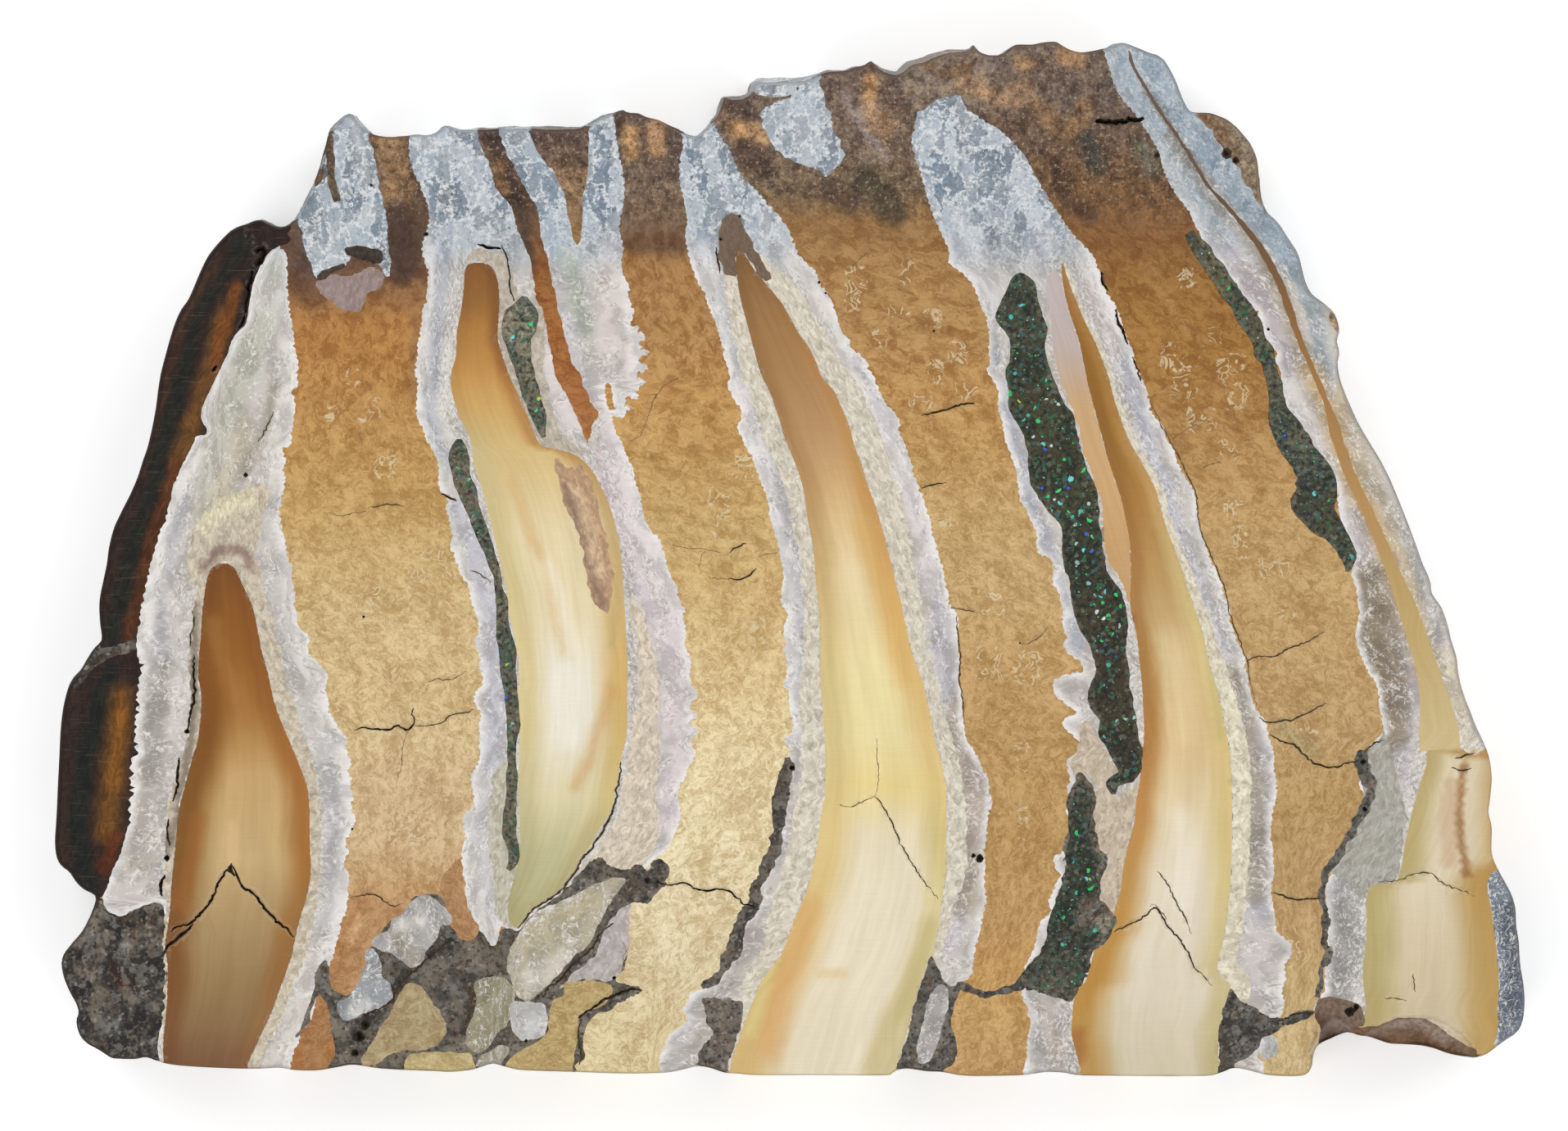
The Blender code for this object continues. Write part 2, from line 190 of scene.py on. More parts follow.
P3_LEFT = [
    (828, 120), (830, 155), (832, 180), (828, 200), (829, 225), (834, 245), (838, 268),
    (836, 285), (837, 300), (839, 312), (842, 322), (846, 332), (850, 345), (857, 355),
    (862, 368), (866, 380), (871, 390), (875, 402), (878, 412), (881, 425), (883, 438),
    (888, 450), (889, 462), (887, 472), (892, 482), (897, 492), (904, 500), (903, 512),
    (899, 522), (903, 532), (907, 540), (911, 550), (917, 558), (921, 570), (926, 585),
    (931, 597), (935, 608), (938, 620), (938, 630), (942, 640), (944, 650), (947, 660),
    (950, 672), (953, 685), (955, 697), (956, 705), (953, 720), (952, 735), (955, 742),
    (961, 750), (957, 762), (956, 775), (959, 785), (955, 792), (958, 800), (959, 810),
    (959, 825), (955, 838), (962, 843), (962, 855), (964, 870), (967, 882), (965, 895),
    (957, 899), (958, 908), (963, 915), (962, 925), (960, 940), (956, 955), (955, 970),
    (951, 985), (949, 1000), (952, 1015), (948, 1025), (945, 1040), (938, 1055),
    (931, 1070), (922, 1085), (920, 1095), (926, 1104), (920, 1115), (912, 1125),
    (900, 1131), (895, 1145), (890, 1160), (884, 1175), (880, 1190), (868, 1200),
    (858, 1207), (842, 1212), (838, 1225), (832, 1233), (838, 1245), (828, 1255),
    (818, 1262), (812, 1275), (806, 1285), (804, 1298), (806, 1330),
]
P3_RIGHT = [
    (866, 120), (873, 150), (890, 180), (905, 213), (922, 229), (936, 245), (950, 261),
    (962, 278), (970, 295), (975, 308), (983, 318), (990, 325), (996, 330), (1001, 342),
    (1007, 352), (1013, 362), (1018, 372), (1022, 385), (1026, 398), (1030, 408),
    (1037, 413), (1040, 425), (1048, 429), (1052, 435), (1060, 442), (1062, 450),
    (1068, 460), (1073, 472), (1077, 482), (1082, 492), (1090, 500), (1096, 508),
    (1100, 516), (1099, 526), (1102, 535), (1107, 545), (1110, 558), (1115, 568),
    (1117, 580), (1122, 592), (1126, 602), (1130, 615), (1134, 628), (1138, 640),
    (1140, 655), (1145, 668), (1147, 680), (1152, 690), (1153, 700), (1155, 712),
    (1158, 722), (1159, 735), (1164, 742), (1169, 750), (1171, 765), (1170, 785),
    (1172, 805), (1172, 820), (1173, 835), (1175, 855), (1176, 875), (1178, 890),
    (1181, 905), (1190, 915), (1196, 928), (1200, 938), (1205, 945), (1208, 955),
    (1210, 968), (1212, 980), (1209, 992), (1206, 1005), (1207, 1015), (1204, 1030),
    (1203, 1045), (1204, 1060), (1203, 1075), (1204, 1090), (1206, 1100), (1203, 1112),
    (1200, 1125), (1197, 1140), (1193, 1155), (1190, 1170), (1189, 1185), (1186, 1192),
    (1180, 1198), (1172, 1205), (1168, 1218), (1163, 1232), (1161, 1245), (1160, 1262),
    (1165, 1278), (1168, 1290), (1164, 1297), (1152, 1302), (1146, 1330),
]
P4_LEFT = [
    (1120, 90), (1118, 140), (1112, 170), (1115, 190), (1122, 210), (1128, 230),
    (1134, 252), (1142, 272), (1150, 290), (1158, 308), (1157, 321), (1165, 328),
    (1178, 338), (1187, 350), (1192, 362), (1197, 375), (1203, 388), (1205, 400),
    (1207, 415), (1205, 428), (1208, 440), (1203, 452), (1210, 462), (1215, 472),
    (1218, 485), (1217, 498), (1221, 510), (1224, 525), (1226, 538), (1230, 548),
    (1234, 560), (1240, 575), (1241, 590), (1243, 605), (1245, 616), (1252, 621),
    (1255, 632), (1262, 645), (1265, 655), (1264, 665), (1268, 678), (1280, 682),
    (1284, 690), (1285, 700), (1283, 712), (1290, 722), (1294, 735), (1297, 745),
    (1295, 757), (1297, 768), (1300, 778), (1297, 788), (1303, 798), (1312, 805),
    (1320, 812), (1321, 819), (1312, 820), (1297, 824), (1285, 831), (1286, 845),
    (1293, 855), (1305, 864), (1314, 871), (1302, 875), (1296, 883), (1302, 893),
    (1310, 900), (1319, 910), (1312, 920), (1302, 928), (1302, 940), (1305, 950),
    (1302, 960), (1303, 975), (1300, 990), (1303, 1000), (1302, 1015), (1301, 1030),
    (1296, 1040), (1286, 1046), (1287, 1060), (1294, 1068), (1288, 1078), (1283, 1090),
    (1278, 1102), (1282, 1113), (1269, 1125), (1266, 1136), (1263, 1150), (1258, 1165),
    (1250, 1180), (1245, 1192), (1246, 1205), (1247, 1220), (1255, 1231), (1260, 1240),
    (1256, 1255), (1253, 1270), (1252, 1290), (1250, 1330),
]
P4_RIGHT = [
    (1160, 90), (1180, 130), (1200, 145), (1220, 158), (1240, 175), (1255, 195),
    (1265, 215), (1280, 240), (1300, 270), (1315, 290), (1330, 305), (1338, 318),
    (1343, 332), (1347, 345), (1352, 357), (1360, 368), (1366, 380), (1370, 393),
    (1374, 405), (1379, 418), (1384, 430), (1388, 445), (1393, 458), (1398, 470),
    (1403, 485), (1406, 500), (1411, 510), (1421, 520), (1424, 535), (1433, 548),
    (1437, 560), (1444, 575), (1450, 587), (1458, 597), (1461, 610), (1462, 625),
    (1465, 640), (1469, 655), (1474, 670), (1480, 685), (1486, 697), (1492, 710),
    (1494, 722), (1499, 735), (1502, 747), (1503, 760), (1508, 772), (1512, 785),
    (1517, 795), (1522, 805), (1521, 815), (1525, 830), (1527, 845), (1531, 858),
    (1538, 870), (1546, 880), (1548, 892), (1552, 905), (1556, 920), (1556, 935),
    (1558, 950), (1560, 965), (1557, 980), (1554, 1000), (1552, 1020), (1555, 1035),
    (1555, 1050), (1556, 1065), (1553, 1080), (1553, 1095), (1556, 1110), (1558, 1125),
    (1560, 1138), (1570, 1144), (1577, 1155), (1576, 1168), (1569, 1180), (1571, 1195),
    (1566, 1210), (1569, 1225), (1566, 1237), (1556, 1247), (1545, 1252), (1530, 1262),
    (1540, 1275), (1535, 1290), (1544, 1300), (1540, 1330),
]
P5_LEFT = [
    (1340, 30), (1346, 60), (1352, 80), (1360, 105), (1372, 125), (1385, 140),
    (1395, 155), (1405, 170), (1415, 190), (1420, 210), (1430, 230), (1440, 245),
    (1450, 258), (1458, 275), (1466, 290), (1478, 305), (1488, 320), (1497, 335),
    (1506, 348), (1512, 360), (1522, 370), (1532, 380), (1538, 392), (1540, 405),
    (1545, 415), (1555, 425), (1558, 440), (1561, 452), (1563, 465), (1566, 480),
    (1567, 495), (1572, 503), (1579, 511), (1585, 525), (1592, 538), (1602, 550),
    (1610, 562), (1618, 575), (1627, 590), (1632, 605), (1633, 620), (1637, 635),
    (1643, 650), (1650, 660), (1654, 672), (1655, 684), (1649, 696), (1650, 706),
    (1654, 718), (1656, 732), (1658, 745), (1657, 758), (1654, 772), (1655, 786),
    (1660, 800), (1665, 812), (1671, 824), (1679, 835), (1682, 850), (1683, 865),
    (1686, 880), (1688, 893), (1680, 902), (1670, 912), (1663, 922), (1667, 932),
    (1662, 945), (1658, 958), (1663, 970), (1662, 985), (1657, 1000), (1652, 1015),
    (1645, 1025), (1640, 1038), (1632, 1050), (1625, 1062), (1620, 1075), (1617, 1090),
    (1618, 1105), (1620, 1120), (1617, 1135), (1618, 1150), (1618, 1170), (1616, 1190),
    (1616, 1208), (1608, 1220), (1603, 1232), (1606, 1245), (1613, 1257), (1614, 1268),
    (1606, 1284), (1600, 1330),
]

# Dentine: left and right border of each band, top to bottom.
D1_LEFT = [
    (268, 688), (259, 693), (254, 702), (251, 715), (249, 728), (247, 742), (246, 757),
    (245, 775), (243, 795), (242, 812), (242, 830), (245, 845), (245, 870), (243, 890),
    (241, 905), (236, 920), (232, 935), (228, 950), (224, 965), (220, 980), (217, 1000),
    (215, 1020), (213, 1040), (211, 1060), (209, 1080), (208, 1100), (206, 1120),
    (203, 1140), (201, 1155), (204, 1175), (204, 1200), (203, 1230), (201, 1250),
    (199, 1275), (200, 1330),
]
D1_RIGHT = [
    (278, 688), (286, 693), (291, 702), (297, 715), (303, 728), (309, 742), (313, 760),
    (317, 780), (321, 800), (327, 820), (331, 840), (336, 860), (343, 880), (350, 896),
    (355, 908), (360, 920), (366, 935), (372, 950), (376, 965), (378, 985), (378, 1010),
    (379, 1040), (380, 1060), (377, 1085), (372, 1105), (367, 1120), (363, 1135),
    (360, 1150), (357, 1165), (352, 1180), (347, 1195), (341, 1210), (337, 1222),
    (331, 1238), (323, 1255), (316, 1270), (309, 1285), (303, 1300), (300, 1330),
]
D2_LEFT = [
    (578, 321), (571, 323), (567, 333), (566, 350), (564, 370), (561, 388), (558, 402),
    (557, 420), (556, 437), (551, 452), (550, 468), (552, 482), (556, 495), (560, 508),
    (566, 520), (572, 532), (576, 545), (577, 560), (581, 576), (587, 594), (592, 612),
    (597, 630), (601, 648), (606, 668), (611, 690), (615, 708), (619, 724), (621, 742),
    (623, 758), (627, 774), (631, 790), (633, 810), (633, 835), (633, 860), (635, 885),
    (634, 910), (633, 940), (633, 970), (634, 1000), (635, 1030), (634, 1050),
    (630, 1062), (626, 1076), (622, 1092), (620, 1108), (621, 1122), (626, 1131),
]
D2_RIGHT = [
    (590, 321), (600, 325), (606, 336), (609, 350), (610, 368), (609, 385), (608, 400),
    (608, 415), (612, 428), (616, 442), (621, 456), (626, 468), (632, 480), (637, 492),
    (643, 505), (648, 518), (653, 530), (660, 543), (676, 548), (695, 552), (712, 562),
    (724, 576), (732, 590), (739, 604), (746, 622), (751, 640), (755, 657), (758, 676),
    (760, 700), (762, 725), (763, 745), (764, 765), (765, 785), (766, 810), (766, 840),
    (766, 865), (766, 885), (764, 905), (760, 920), (757, 935), (755, 950), (751, 970),
    (748, 985), (743, 997), (735, 1008), (728, 1020), (722, 1032), (714, 1042),
    (708, 1055), (700, 1068), (690, 1080), (680, 1092), (668, 1100), (655, 1106),
    (648, 1115), (640, 1126), (632, 1133),
]
D3_LEFT = [
    (901, 303), (898, 315), (899, 335), (901, 350), (905, 370), (909, 385), (913, 400),
    (917, 415), (921, 430), (925, 445), (930, 460), (936, 472), (942, 485), (947, 500),
    (952, 515), (956, 530), (962, 545), (968, 560), (973, 572), (977, 585), (981, 600),
    (983, 615), (986, 635), (989, 650), (992, 668), (994, 690), (996, 715), (998, 735),
    (1000, 760), (1001, 785), (1001, 810), (1002, 840), (1004, 870), (1006, 895),
    (1007, 920), (1007, 945), (1007, 970), (1003, 990), (1000, 1010), (997, 1035),
    (993, 1055), (988, 1075), (984, 1090), (975, 1110), (965, 1135), (958, 1155),
    (950, 1170), (938, 1185), (928, 1200), (920, 1220), (912, 1240), (905, 1260),
    (900, 1275), (894, 1292), (886, 1330),
]
D3_RIGHT = [
    (905, 302), (912, 315), (920, 328), (930, 340), (940, 352), (948, 362), (956, 372),
    (963, 385), (970, 397), (976, 408), (985, 420), (992, 432), (998, 447), (1003, 460),
    (1012, 470), (1020, 480), (1025, 492), (1030, 503), (1035, 515), (1039, 528),
    (1042, 540), (1047, 555), (1052, 568), (1056, 582), (1062, 600), (1068, 615),
    (1074, 635), (1080, 655), (1085, 675), (1090, 695), (1094, 715), (1100, 735),
    (1104, 755), (1108, 775), (1113, 795), (1120, 815), (1127, 835), (1133, 860),
    (1137, 880), (1140, 895), (1145, 915), (1150, 935), (1154, 955), (1155, 975),
    (1156, 1000), (1155, 1030), (1155, 1060), (1153, 1080), (1150, 1100), (1147, 1125),
    (1143, 1150), (1137, 1170), (1130, 1185), (1123, 1205), (1117, 1222), (1113, 1240),
    (1108, 1258), (1103, 1275), (1099, 1290), (1096, 1300), (1090, 1330),
]
D4_LEFT = [
    (1295, 322), (1296, 336), (1298, 350), (1301, 365), (1305, 380), (1310, 395),
    (1315, 410), (1319, 425), (1322, 440), (1325, 455), (1328, 470), (1332, 485),
    (1336, 500), (1340, 515), (1344, 530), (1348, 545), (1352, 560), (1357, 575),
    (1362, 590), (1367, 605), (1371, 620), (1374, 635), (1377, 650), (1379, 665),
    (1380, 680), (1380, 695), (1380, 712), (1379, 730), (1381, 750), (1385, 765),
    (1388, 780), (1390, 800), (1392, 820), (1394, 840), (1395, 860), (1396, 880),
    (1396, 900), (1395, 920), (1392, 940), (1390, 960), (1387, 975), (1386, 990),
    (1384, 1005), (1380, 1020), (1376, 1035), (1373, 1050), (1370, 1065), (1368, 1085),
    (1362, 1105), (1358, 1120), (1354, 1135), (1345, 1145), (1338, 1155), (1333, 1170),
    (1329, 1185), (1325, 1198), (1318, 1204), (1312, 1212), (1310, 1225), (1308, 1245),
    (1308, 1265), (1312, 1280), (1316, 1300), (1318, 1330),
]
D4_RIGHT = [
    (1298, 322), (1304, 342), (1309, 356), (1315, 370), (1321, 385), (1328, 400),
    (1335, 414), (1341, 427), (1346, 440), (1350, 451), (1354, 463), (1357, 475),
    (1361, 490), (1366, 505), (1371, 520), (1377, 535), (1384, 548), (1391, 560),
    (1398, 572), (1405, 585), (1411, 598), (1415, 612), (1419, 628), (1424, 645),
    (1430, 660), (1436, 675), (1441, 690), (1446, 705), (1451, 720), (1456, 735),
    (1461, 750), (1466, 765), (1470, 780), (1474, 800), (1479, 820), (1485, 840),
    (1490, 860), (1494, 880), (1498, 900), (1501, 920), (1503, 945), (1504, 970),
    (1504, 1000), (1504, 1030), (1503, 1060), (1502, 1080), (1500, 1100), (1498, 1120),
    (1494, 1145), (1489, 1165), (1486, 1180), (1491, 1193), (1500, 1200), (1502, 1210),
    (1497, 1225), (1492, 1240), (1490, 1255), (1487, 1275), (1487, 1290), (1490, 1305),
    (1486, 1330),
]
D5_SLIVER = [  # x, y, half width
    (1378, 62, 3), (1384, 82, 4), (1396, 103, 4), (1409, 125, 4), (1430, 156, 4),
    (1450, 186, 4), (1474, 226, 4), (1498, 252, 5), (1520, 278, 6), (1540, 305, 8),
    (1554, 330, 9), (1566, 355, 9), (1573, 376, 9), (1582, 402, 8), (1592, 428, 7),
    (1601, 448, 6), (1610, 468, 7), (1620, 494, 8), (1628, 520, 9), (1637, 550, 9),
    (1648, 580, 9), (1662, 610, 9), (1676, 640, 9), (1688, 668, 10), (1699, 695, 10),
    (1710, 722, 11), (1721, 752, 12), (1731, 782, 13), (1741, 812, 14), (1748, 842, 17),
    (1753, 868, 21), (1756, 892, 26), (1758, 915, 26),
]
D5_LEFT = [
    (1745, 896), (1742, 915), (1740, 935), (1734, 955), (1728, 975), (1722, 998),
    (1717, 1020), (1713, 1042), (1710, 1060), (1706, 1074), (1690, 1079), (1674, 1081),
    (1668, 1095), (1668, 1130), (1666, 1160), (1663, 1185), (1665, 1210), (1667, 1232),
    (1660, 1250), (1652, 1262), (1650, 1330),
]
D5_RIGHT = [
    (1762, 880), (1770, 893), (1776, 905), (1787, 916), (1802, 922), (1818, 914),
    (1850, 930), (1850, 1050), (1823, 1066), (1816, 1082), (1820, 1108), (1825, 1140),
    (1828, 1170), (1830, 1200), (1828, 1230), (1829, 1258), (1822, 1282), (1812, 1330),
]

# Poured fills.
FILL_CENTRE = [
    (1245, 333), (1254, 336), (1262, 343), (1266, 355), (1268, 370), (1272, 385),
    (1277, 398), (1276, 412), (1275, 428), (1279, 444), (1286, 462), (1292, 480),
    (1299, 494), (1307, 504), (1312, 516), (1316, 530), (1319, 545), (1322, 560),
    (1329, 575), (1337, 590), (1340, 605), (1342, 620), (1341, 635), (1343, 650),
    (1345, 665), (1349, 683), (1353, 700), (1361, 711), (1369, 724), (1374, 742),
    (1376, 760), (1374, 782), (1375, 800), (1378, 815), (1380, 840), (1384, 860),
    (1388, 880), (1390, 900), (1393, 918), (1393, 932), (1390, 945), (1386, 955),
    (1374, 957), (1365, 960), (1360, 970), (1354, 964), (1350, 956), (1356, 949),
    (1366, 943), (1363, 935), (1357, 925), (1350, 912), (1343, 901), (1342, 891),
    (1342, 881), (1335, 872), (1329, 860), (1328, 845), (1331, 832), (1338, 821),
    (1337, 811), (1333, 799), (1328, 785), (1320, 770), (1312, 751), (1307, 736),
    (1308, 721), (1303, 705), (1299, 690), (1297, 672), (1298, 656), (1293, 641),
    (1282, 626), (1270, 612), (1260, 597), (1255, 580), (1255, 565), (1254, 550),
    (1250, 536), (1243, 521), (1236, 506), (1232, 490), (1230, 475), (1229, 462),
    (1228, 450), (1232, 440), (1234, 425), (1231, 412), (1223, 400), (1215, 388),
    (1217, 377), (1227, 360), (1235, 340),
]
FILL_LOWER = [
    (1321, 951), (1327, 960), (1333, 974), (1332, 990), (1329, 1010), (1331, 1028),
    (1337, 1040), (1345, 1048), (1340, 1057), (1338, 1070), (1338, 1085), (1334, 1094),
    (1322, 1097), (1315, 1106), (1314, 1120), (1318, 1132), (1330, 1130), (1336, 1119),
    (1350, 1116), (1358, 1122), (1357, 1135), (1350, 1144), (1340, 1150), (1334, 1162),
    (1329, 1175), (1325, 1190), (1322, 1202), (1312, 1204), (1304, 1211), (1304, 1221),
    (1296, 1214), (1280, 1211), (1265, 1208), (1252, 1203), (1245, 1194), (1250, 1184),
    (1259, 1178), (1268, 1168), (1276, 1158), (1280, 1147), (1278, 1135), (1281, 1120),
    (1286, 1107), (1291, 1095), (1294, 1084), (1299, 1074), (1303, 1062), (1300, 1048),
    (1303, 1036), (1306, 1022), (1303, 1005), (1305, 990), (1309, 975), (1312, 962),
]
FILL_LINES = {
    "glitter_fill_right": [
        (1452, 284, 5), (1458, 294, 8), (1468, 308, 10), (1478, 322, 10), (1488, 336, 11),
        (1497, 350, 12), (1507, 364, 11), (1516, 378, 13), (1524, 391, 12), (1530, 402, 12),
        (1536, 415, 9), (1543, 428, 12), (1549, 442, 8), (1552, 455, 8), (1556, 468, 10),
        (1558, 482, 9), (1560, 497, 11), (1564, 512, 16), (1572, 527, 19), (1580, 541, 20),
        (1588, 554, 19), (1600, 570, 20), (1606, 586, 24), (1606, 602, 26), (1605, 616, 27),
        (1612, 632, 21), (1624, 645, 15), (1633, 656, 12), (1641, 668, 11), (1645, 680, 11),
        (1645, 692, 6), (1645, 698, 3),
    ],
    "glitter_fill_left_long": [
        (560, 536, 3), (560, 546, 9), (561, 560, 13), (563, 580, 11), (570, 600, 12),
        (577, 620, 9), (583, 637, 8), (590, 655, 8), (597, 672, 6), (602, 688, 6),
        (607, 705, 5), (610, 722, 6), (613, 735, 8), (613, 755, 7), (615, 775, 9),
        (619, 792, 10), (620, 815, 10), (622, 835, 9), (625, 860, 8), (627, 885, 8),
        (625, 905, 6), (625, 930, 5), (625, 950, 7), (624, 975, 6), (622, 1000, 8),
        (622, 1020, 8), (627, 1038, 7), (626, 1052, 6), (620, 1062, 3),
    ],
    "glitter_fill_left_short": [
        (640, 362, 3), (639, 370, 10), (638, 382, 20), (634, 396, 22), (632, 410, 18),
        (634, 425, 14), (638, 440, 12), (642, 456, 11), (646, 472, 11), (651, 487, 10),
        (655, 500, 9), (659, 514, 8), (662, 526, 5), (664, 534, 3),
    ],
}


# ------------------------------------------------------------------ drawing helpers
def arr(points):
    return np.array(points, float)


def spline(points, steps, loop):
    """Centripetal-free Catmull-Rom curve through rows of any width."""
    p = arr(points)
    if loop:
        q = np.vstack([p[-1], p, p[0], p[1]])
    else:
        q = np.vstack([2 * p[0] - p[1], p, 2 * p[-1] - p[-2]])
    a, b, c, d = q[:-3], q[1:-2], q[2:-1], q[3:]
    t = (np.arange(steps) / steps)[None, :, None]
    a, b, c, d = (v[:, None, :] for v in (a, b, c, d))
    out = 0.5 * (2 * b + (c - a) * t + (2 * a - 5 * b + 4 * c - d) * t**2
                 + (3 * b - a - 3 * c + d) * t**3)
    out = out.reshape(-1, p.shape[1])
    return out if loop else np.vstack([out, p[-1]])


def even(line, pitch, loop):
    """Resampled at an even spacing close to pitch, measured over x and y."""
    q = np.vstack([line, line[0]]) if loop else line
    run = np.concatenate([[0], np.cumsum(np.hypot(*(q[1:, :2] - q[:-1, :2]).T))])
    count = max(3, int(round(run[-1] / pitch)))
    want = np.linspace(0, run[-1], count + 1)
    if loop:
        want = want[:-1]
    return np.stack([np.interp(want, run, q[:, k]) for k in range(q.shape[1])], 1)


def left_normals(line, loop, reach=1):
    """Unit normals to the left of the way the line runs, with y down."""
    if loop:
        d = np.roll(line, -reach, 0) - np.roll(line, reach, 0)
    else:
        n = len(line)
        d = line[np.minimum(np.arange(n) + reach, n - 1)] - line[np.maximum(np.arange(n) - reach, 0)]
    d = d[:, :2] / np.maximum(np.hypot(d[:, 0], d[:, 1]), 1e-9)[:, None]
    return np.stack([d[:, 1], -d[:, 0]], 1)


def saw(line, depth, pitch, side, seed, bite=None):
    """Small pointed teeth along an open line, out to its left (side 1) or right (-1)."""
    r = np.random.default_rng(seed)
    run = np.concatenate([[0], np.cumsum(np.hypot(*(line[1:, :2] - line[:-1, :2]).T))])
    marks, high = [0.0], []
    while marks[-1] < run[-1]:
        marks.append(marks[-1] + pitch * r.uniform(0.6, 1.45))
        high.append(depth * 1.4 * r.uniform(0.3, 1.25))
    marks, high = np.array(marks), np.array(high)
    k = np.clip(np.searchsorted(marks, run, "right") - 1, 0, len(high) - 1)
    f = (run - marks[k]) / (marks[k + 1] - marks[k])
    lean = 0.35 + 0.3 * ((k * 7919) % 13) / 13
    tooth = np.where(f < lean, f / lean, (1 - f) / (1 - lean)) ** 1.25
    grow = high[k] * tooth
    if bite is not None:
        grow *= np.interp(line[:, 1], [b[0] for b in bite], [b[1] for b in bite])
    out = line.copy()
    out[:, :2] += side * left_normals(line, False) * grow[:, None]
    return out


def edge(points, pitch=3.0, teeth=0.0, gap=10.0, side=1, seed=1, bite=None):
    line = even(spline(points, 6, False), pitch, False)
    return saw(line, teeth, gap, side, seed, bite) if teeth else line


def band(line, pitch=3.0, rough=0.0, seed=3, shape=1.0):
    """The closed outline round a middle line of x, y and half width."""
    s = even(spline(line, 6, False), pitch, False)
    n = left_normals(s, False)
    r = np.random.default_rng(seed)
    wob = [np.convolve(r.normal(0, rough, len(s) + 8), np.ones(3) / 1.7, "same")[4:-4] for _ in (0, 1)]
    half = np.maximum(s[:, 2] * shape, 0.35)
    a = s[:, :2] + n * (half + np.clip(wob[0], -half * 0.4, half * 0.6))[:, None]
    b = s[:, :2] - n * (half + np.clip(wob[1], -half * 0.4, half * 0.6))[:, None]
    return np.vstack([a, b[::-1]])


def closed(points, pitch=3.0, rough=0.0, seed=5):
    line = even(spline(points, 6, True), pitch, True)
    if rough:
        r = np.random.default_rng(seed)
        wob = r.normal(0, rough, len(line))
        wob = (wob + np.roll(wob, 1) + np.roll(wob, -1)) / 1.7
        line[:, :2] += left_normals(line, True) * wob[:, None]
    return line


# ------------------------------------------------------------------ raster of kinds
FINE = 2  # cells a step
WIDE, TALL = 1914, 1381


def inside(poly):
    """(rows, columns, mask) of the cells whose centre lies in a closed outline."""
    q = poly[:, :2] * FINE
    x0, y0 = np.floor(q.min(0)).astype(int) - 1
    x1, y1 = np.ceil(q.max(0)).astype(int) + 2
    flip = np.zeros((y1 - y0, x1 - x0), np.uint8)
    nxt = np.roll(q, -1, 0)
    for (ax, ay), (bx, by) in zip(q, nxt):
        if ay == by:
            continue
        if ay > by:
            ax, ay, bx, by = bx, by, ax, ay
        first, last = math.ceil(ay - 0.5), math.ceil(by - 0.5)
        if last <= first:
            continue
        rows = np.arange(first, last)
        cols = np.ceil(ax + (rows + 0.5 - ay) * (bx - ax) / (by - ay) - 0.5).astype(int)
        np.bitwise_xor.at(flip, (rows - y0, cols - x0), 1)
    mask = np.bitwise_xor.accumulate(flip, axis=1).astype(bool)
    r0, c0 = max(0, -y0), max(0, -x0)
    r1, c1 = min(mask.shape[0], TALL * FINE - y0), min(mask.shape[1], WIDE * FINE - x0)
    return slice(y0 + r0, y0 + r1), slice(x0 + c0, x0 + c1), mask[r0:r1, c0:c1]


def paint(chart, poly, value):
    rows, cols, mask = inside(poly)
    chart[rows, cols][mask] = value


def look_up(chart, xy):
    c = np.clip((xy[:, 0] * FINE).astype(int), 0, WIDE * FINE - 1)
    r = np.clip((xy[:, 1] * FINE).astype(int), 0, TALL * FINE - 1)
    return chart[r, c]


def tree_of(points):
    t = KDTree(len(points))
    for i, p in enumerate(points):
        t.insert((p[0], p[1], 0.0), i)
    t.balance()
    return t


def distance(xy, points):
    """Distance of each point to the nearest of a set of closely spaced points."""
    t = tree_of(points)
    return np.array([t.find((x, y, 0.0))[2] for x, y in xy])


def smooth(x, lo, hi):
    t = np.clip((x - lo) / (hi - lo), 0, 1)
    return t * t * (3 - 2 * t)


def to_line(xy, line):
    """(distance, index as a fraction) of each point to a polyline."""
    best = np.full(len(xy), 1e9)
    where = np.zeros(len(xy))
    for i in range(len(line) - 1):
        a, b = line[i, :2], line[i + 1, :2]
        ab = b - a
        t = np.clip(((xy - a) @ ab) / max(ab @ ab, 1e-9), 0, 1)
        d = np.hypot(*(xy - a - t[:, None] * ab).T)
        near = d < best
        best[near] = d[near]
        where[near] = i + t[near]
    return best, where


# ------------------------------------------------------------------ kinds of tissue
KINDS = ("cementum", "enamel", "lining", "dentine", "rim", "matrix", "crack", "hole", "fill",
         "broken")

outline = even(spline(OUTLINE, 6, True), 5.2, True)
if np.sum(outline[:, 0] * np.roll(outline[:, 1], -1)
          - outline[:, 1] * np.roll(outline[:, 0], -1)) < 0:
    outline = outline[::-1]
out_way = left_normals(outline, True, 2)
out_way = (out_way + np.roll(out_way, 1, 0) + np.roll(out_way, -1, 0)) / 3
if np.mean(np.einsum("ij,ij->i", out_way, outline - outline.mean(0))) < 0:
    out_way = -out_way
crown = np.where((outline[:, 1] < 330) & (out_way[:, 1] < -0.1),
                 np.interp(outline[:, 0], *zip(*CROWN_LEAN)), 0.0)
FACE_IN = 3.5
face_edge = outline - out_way * (FACE_IN + crown)[:, None]

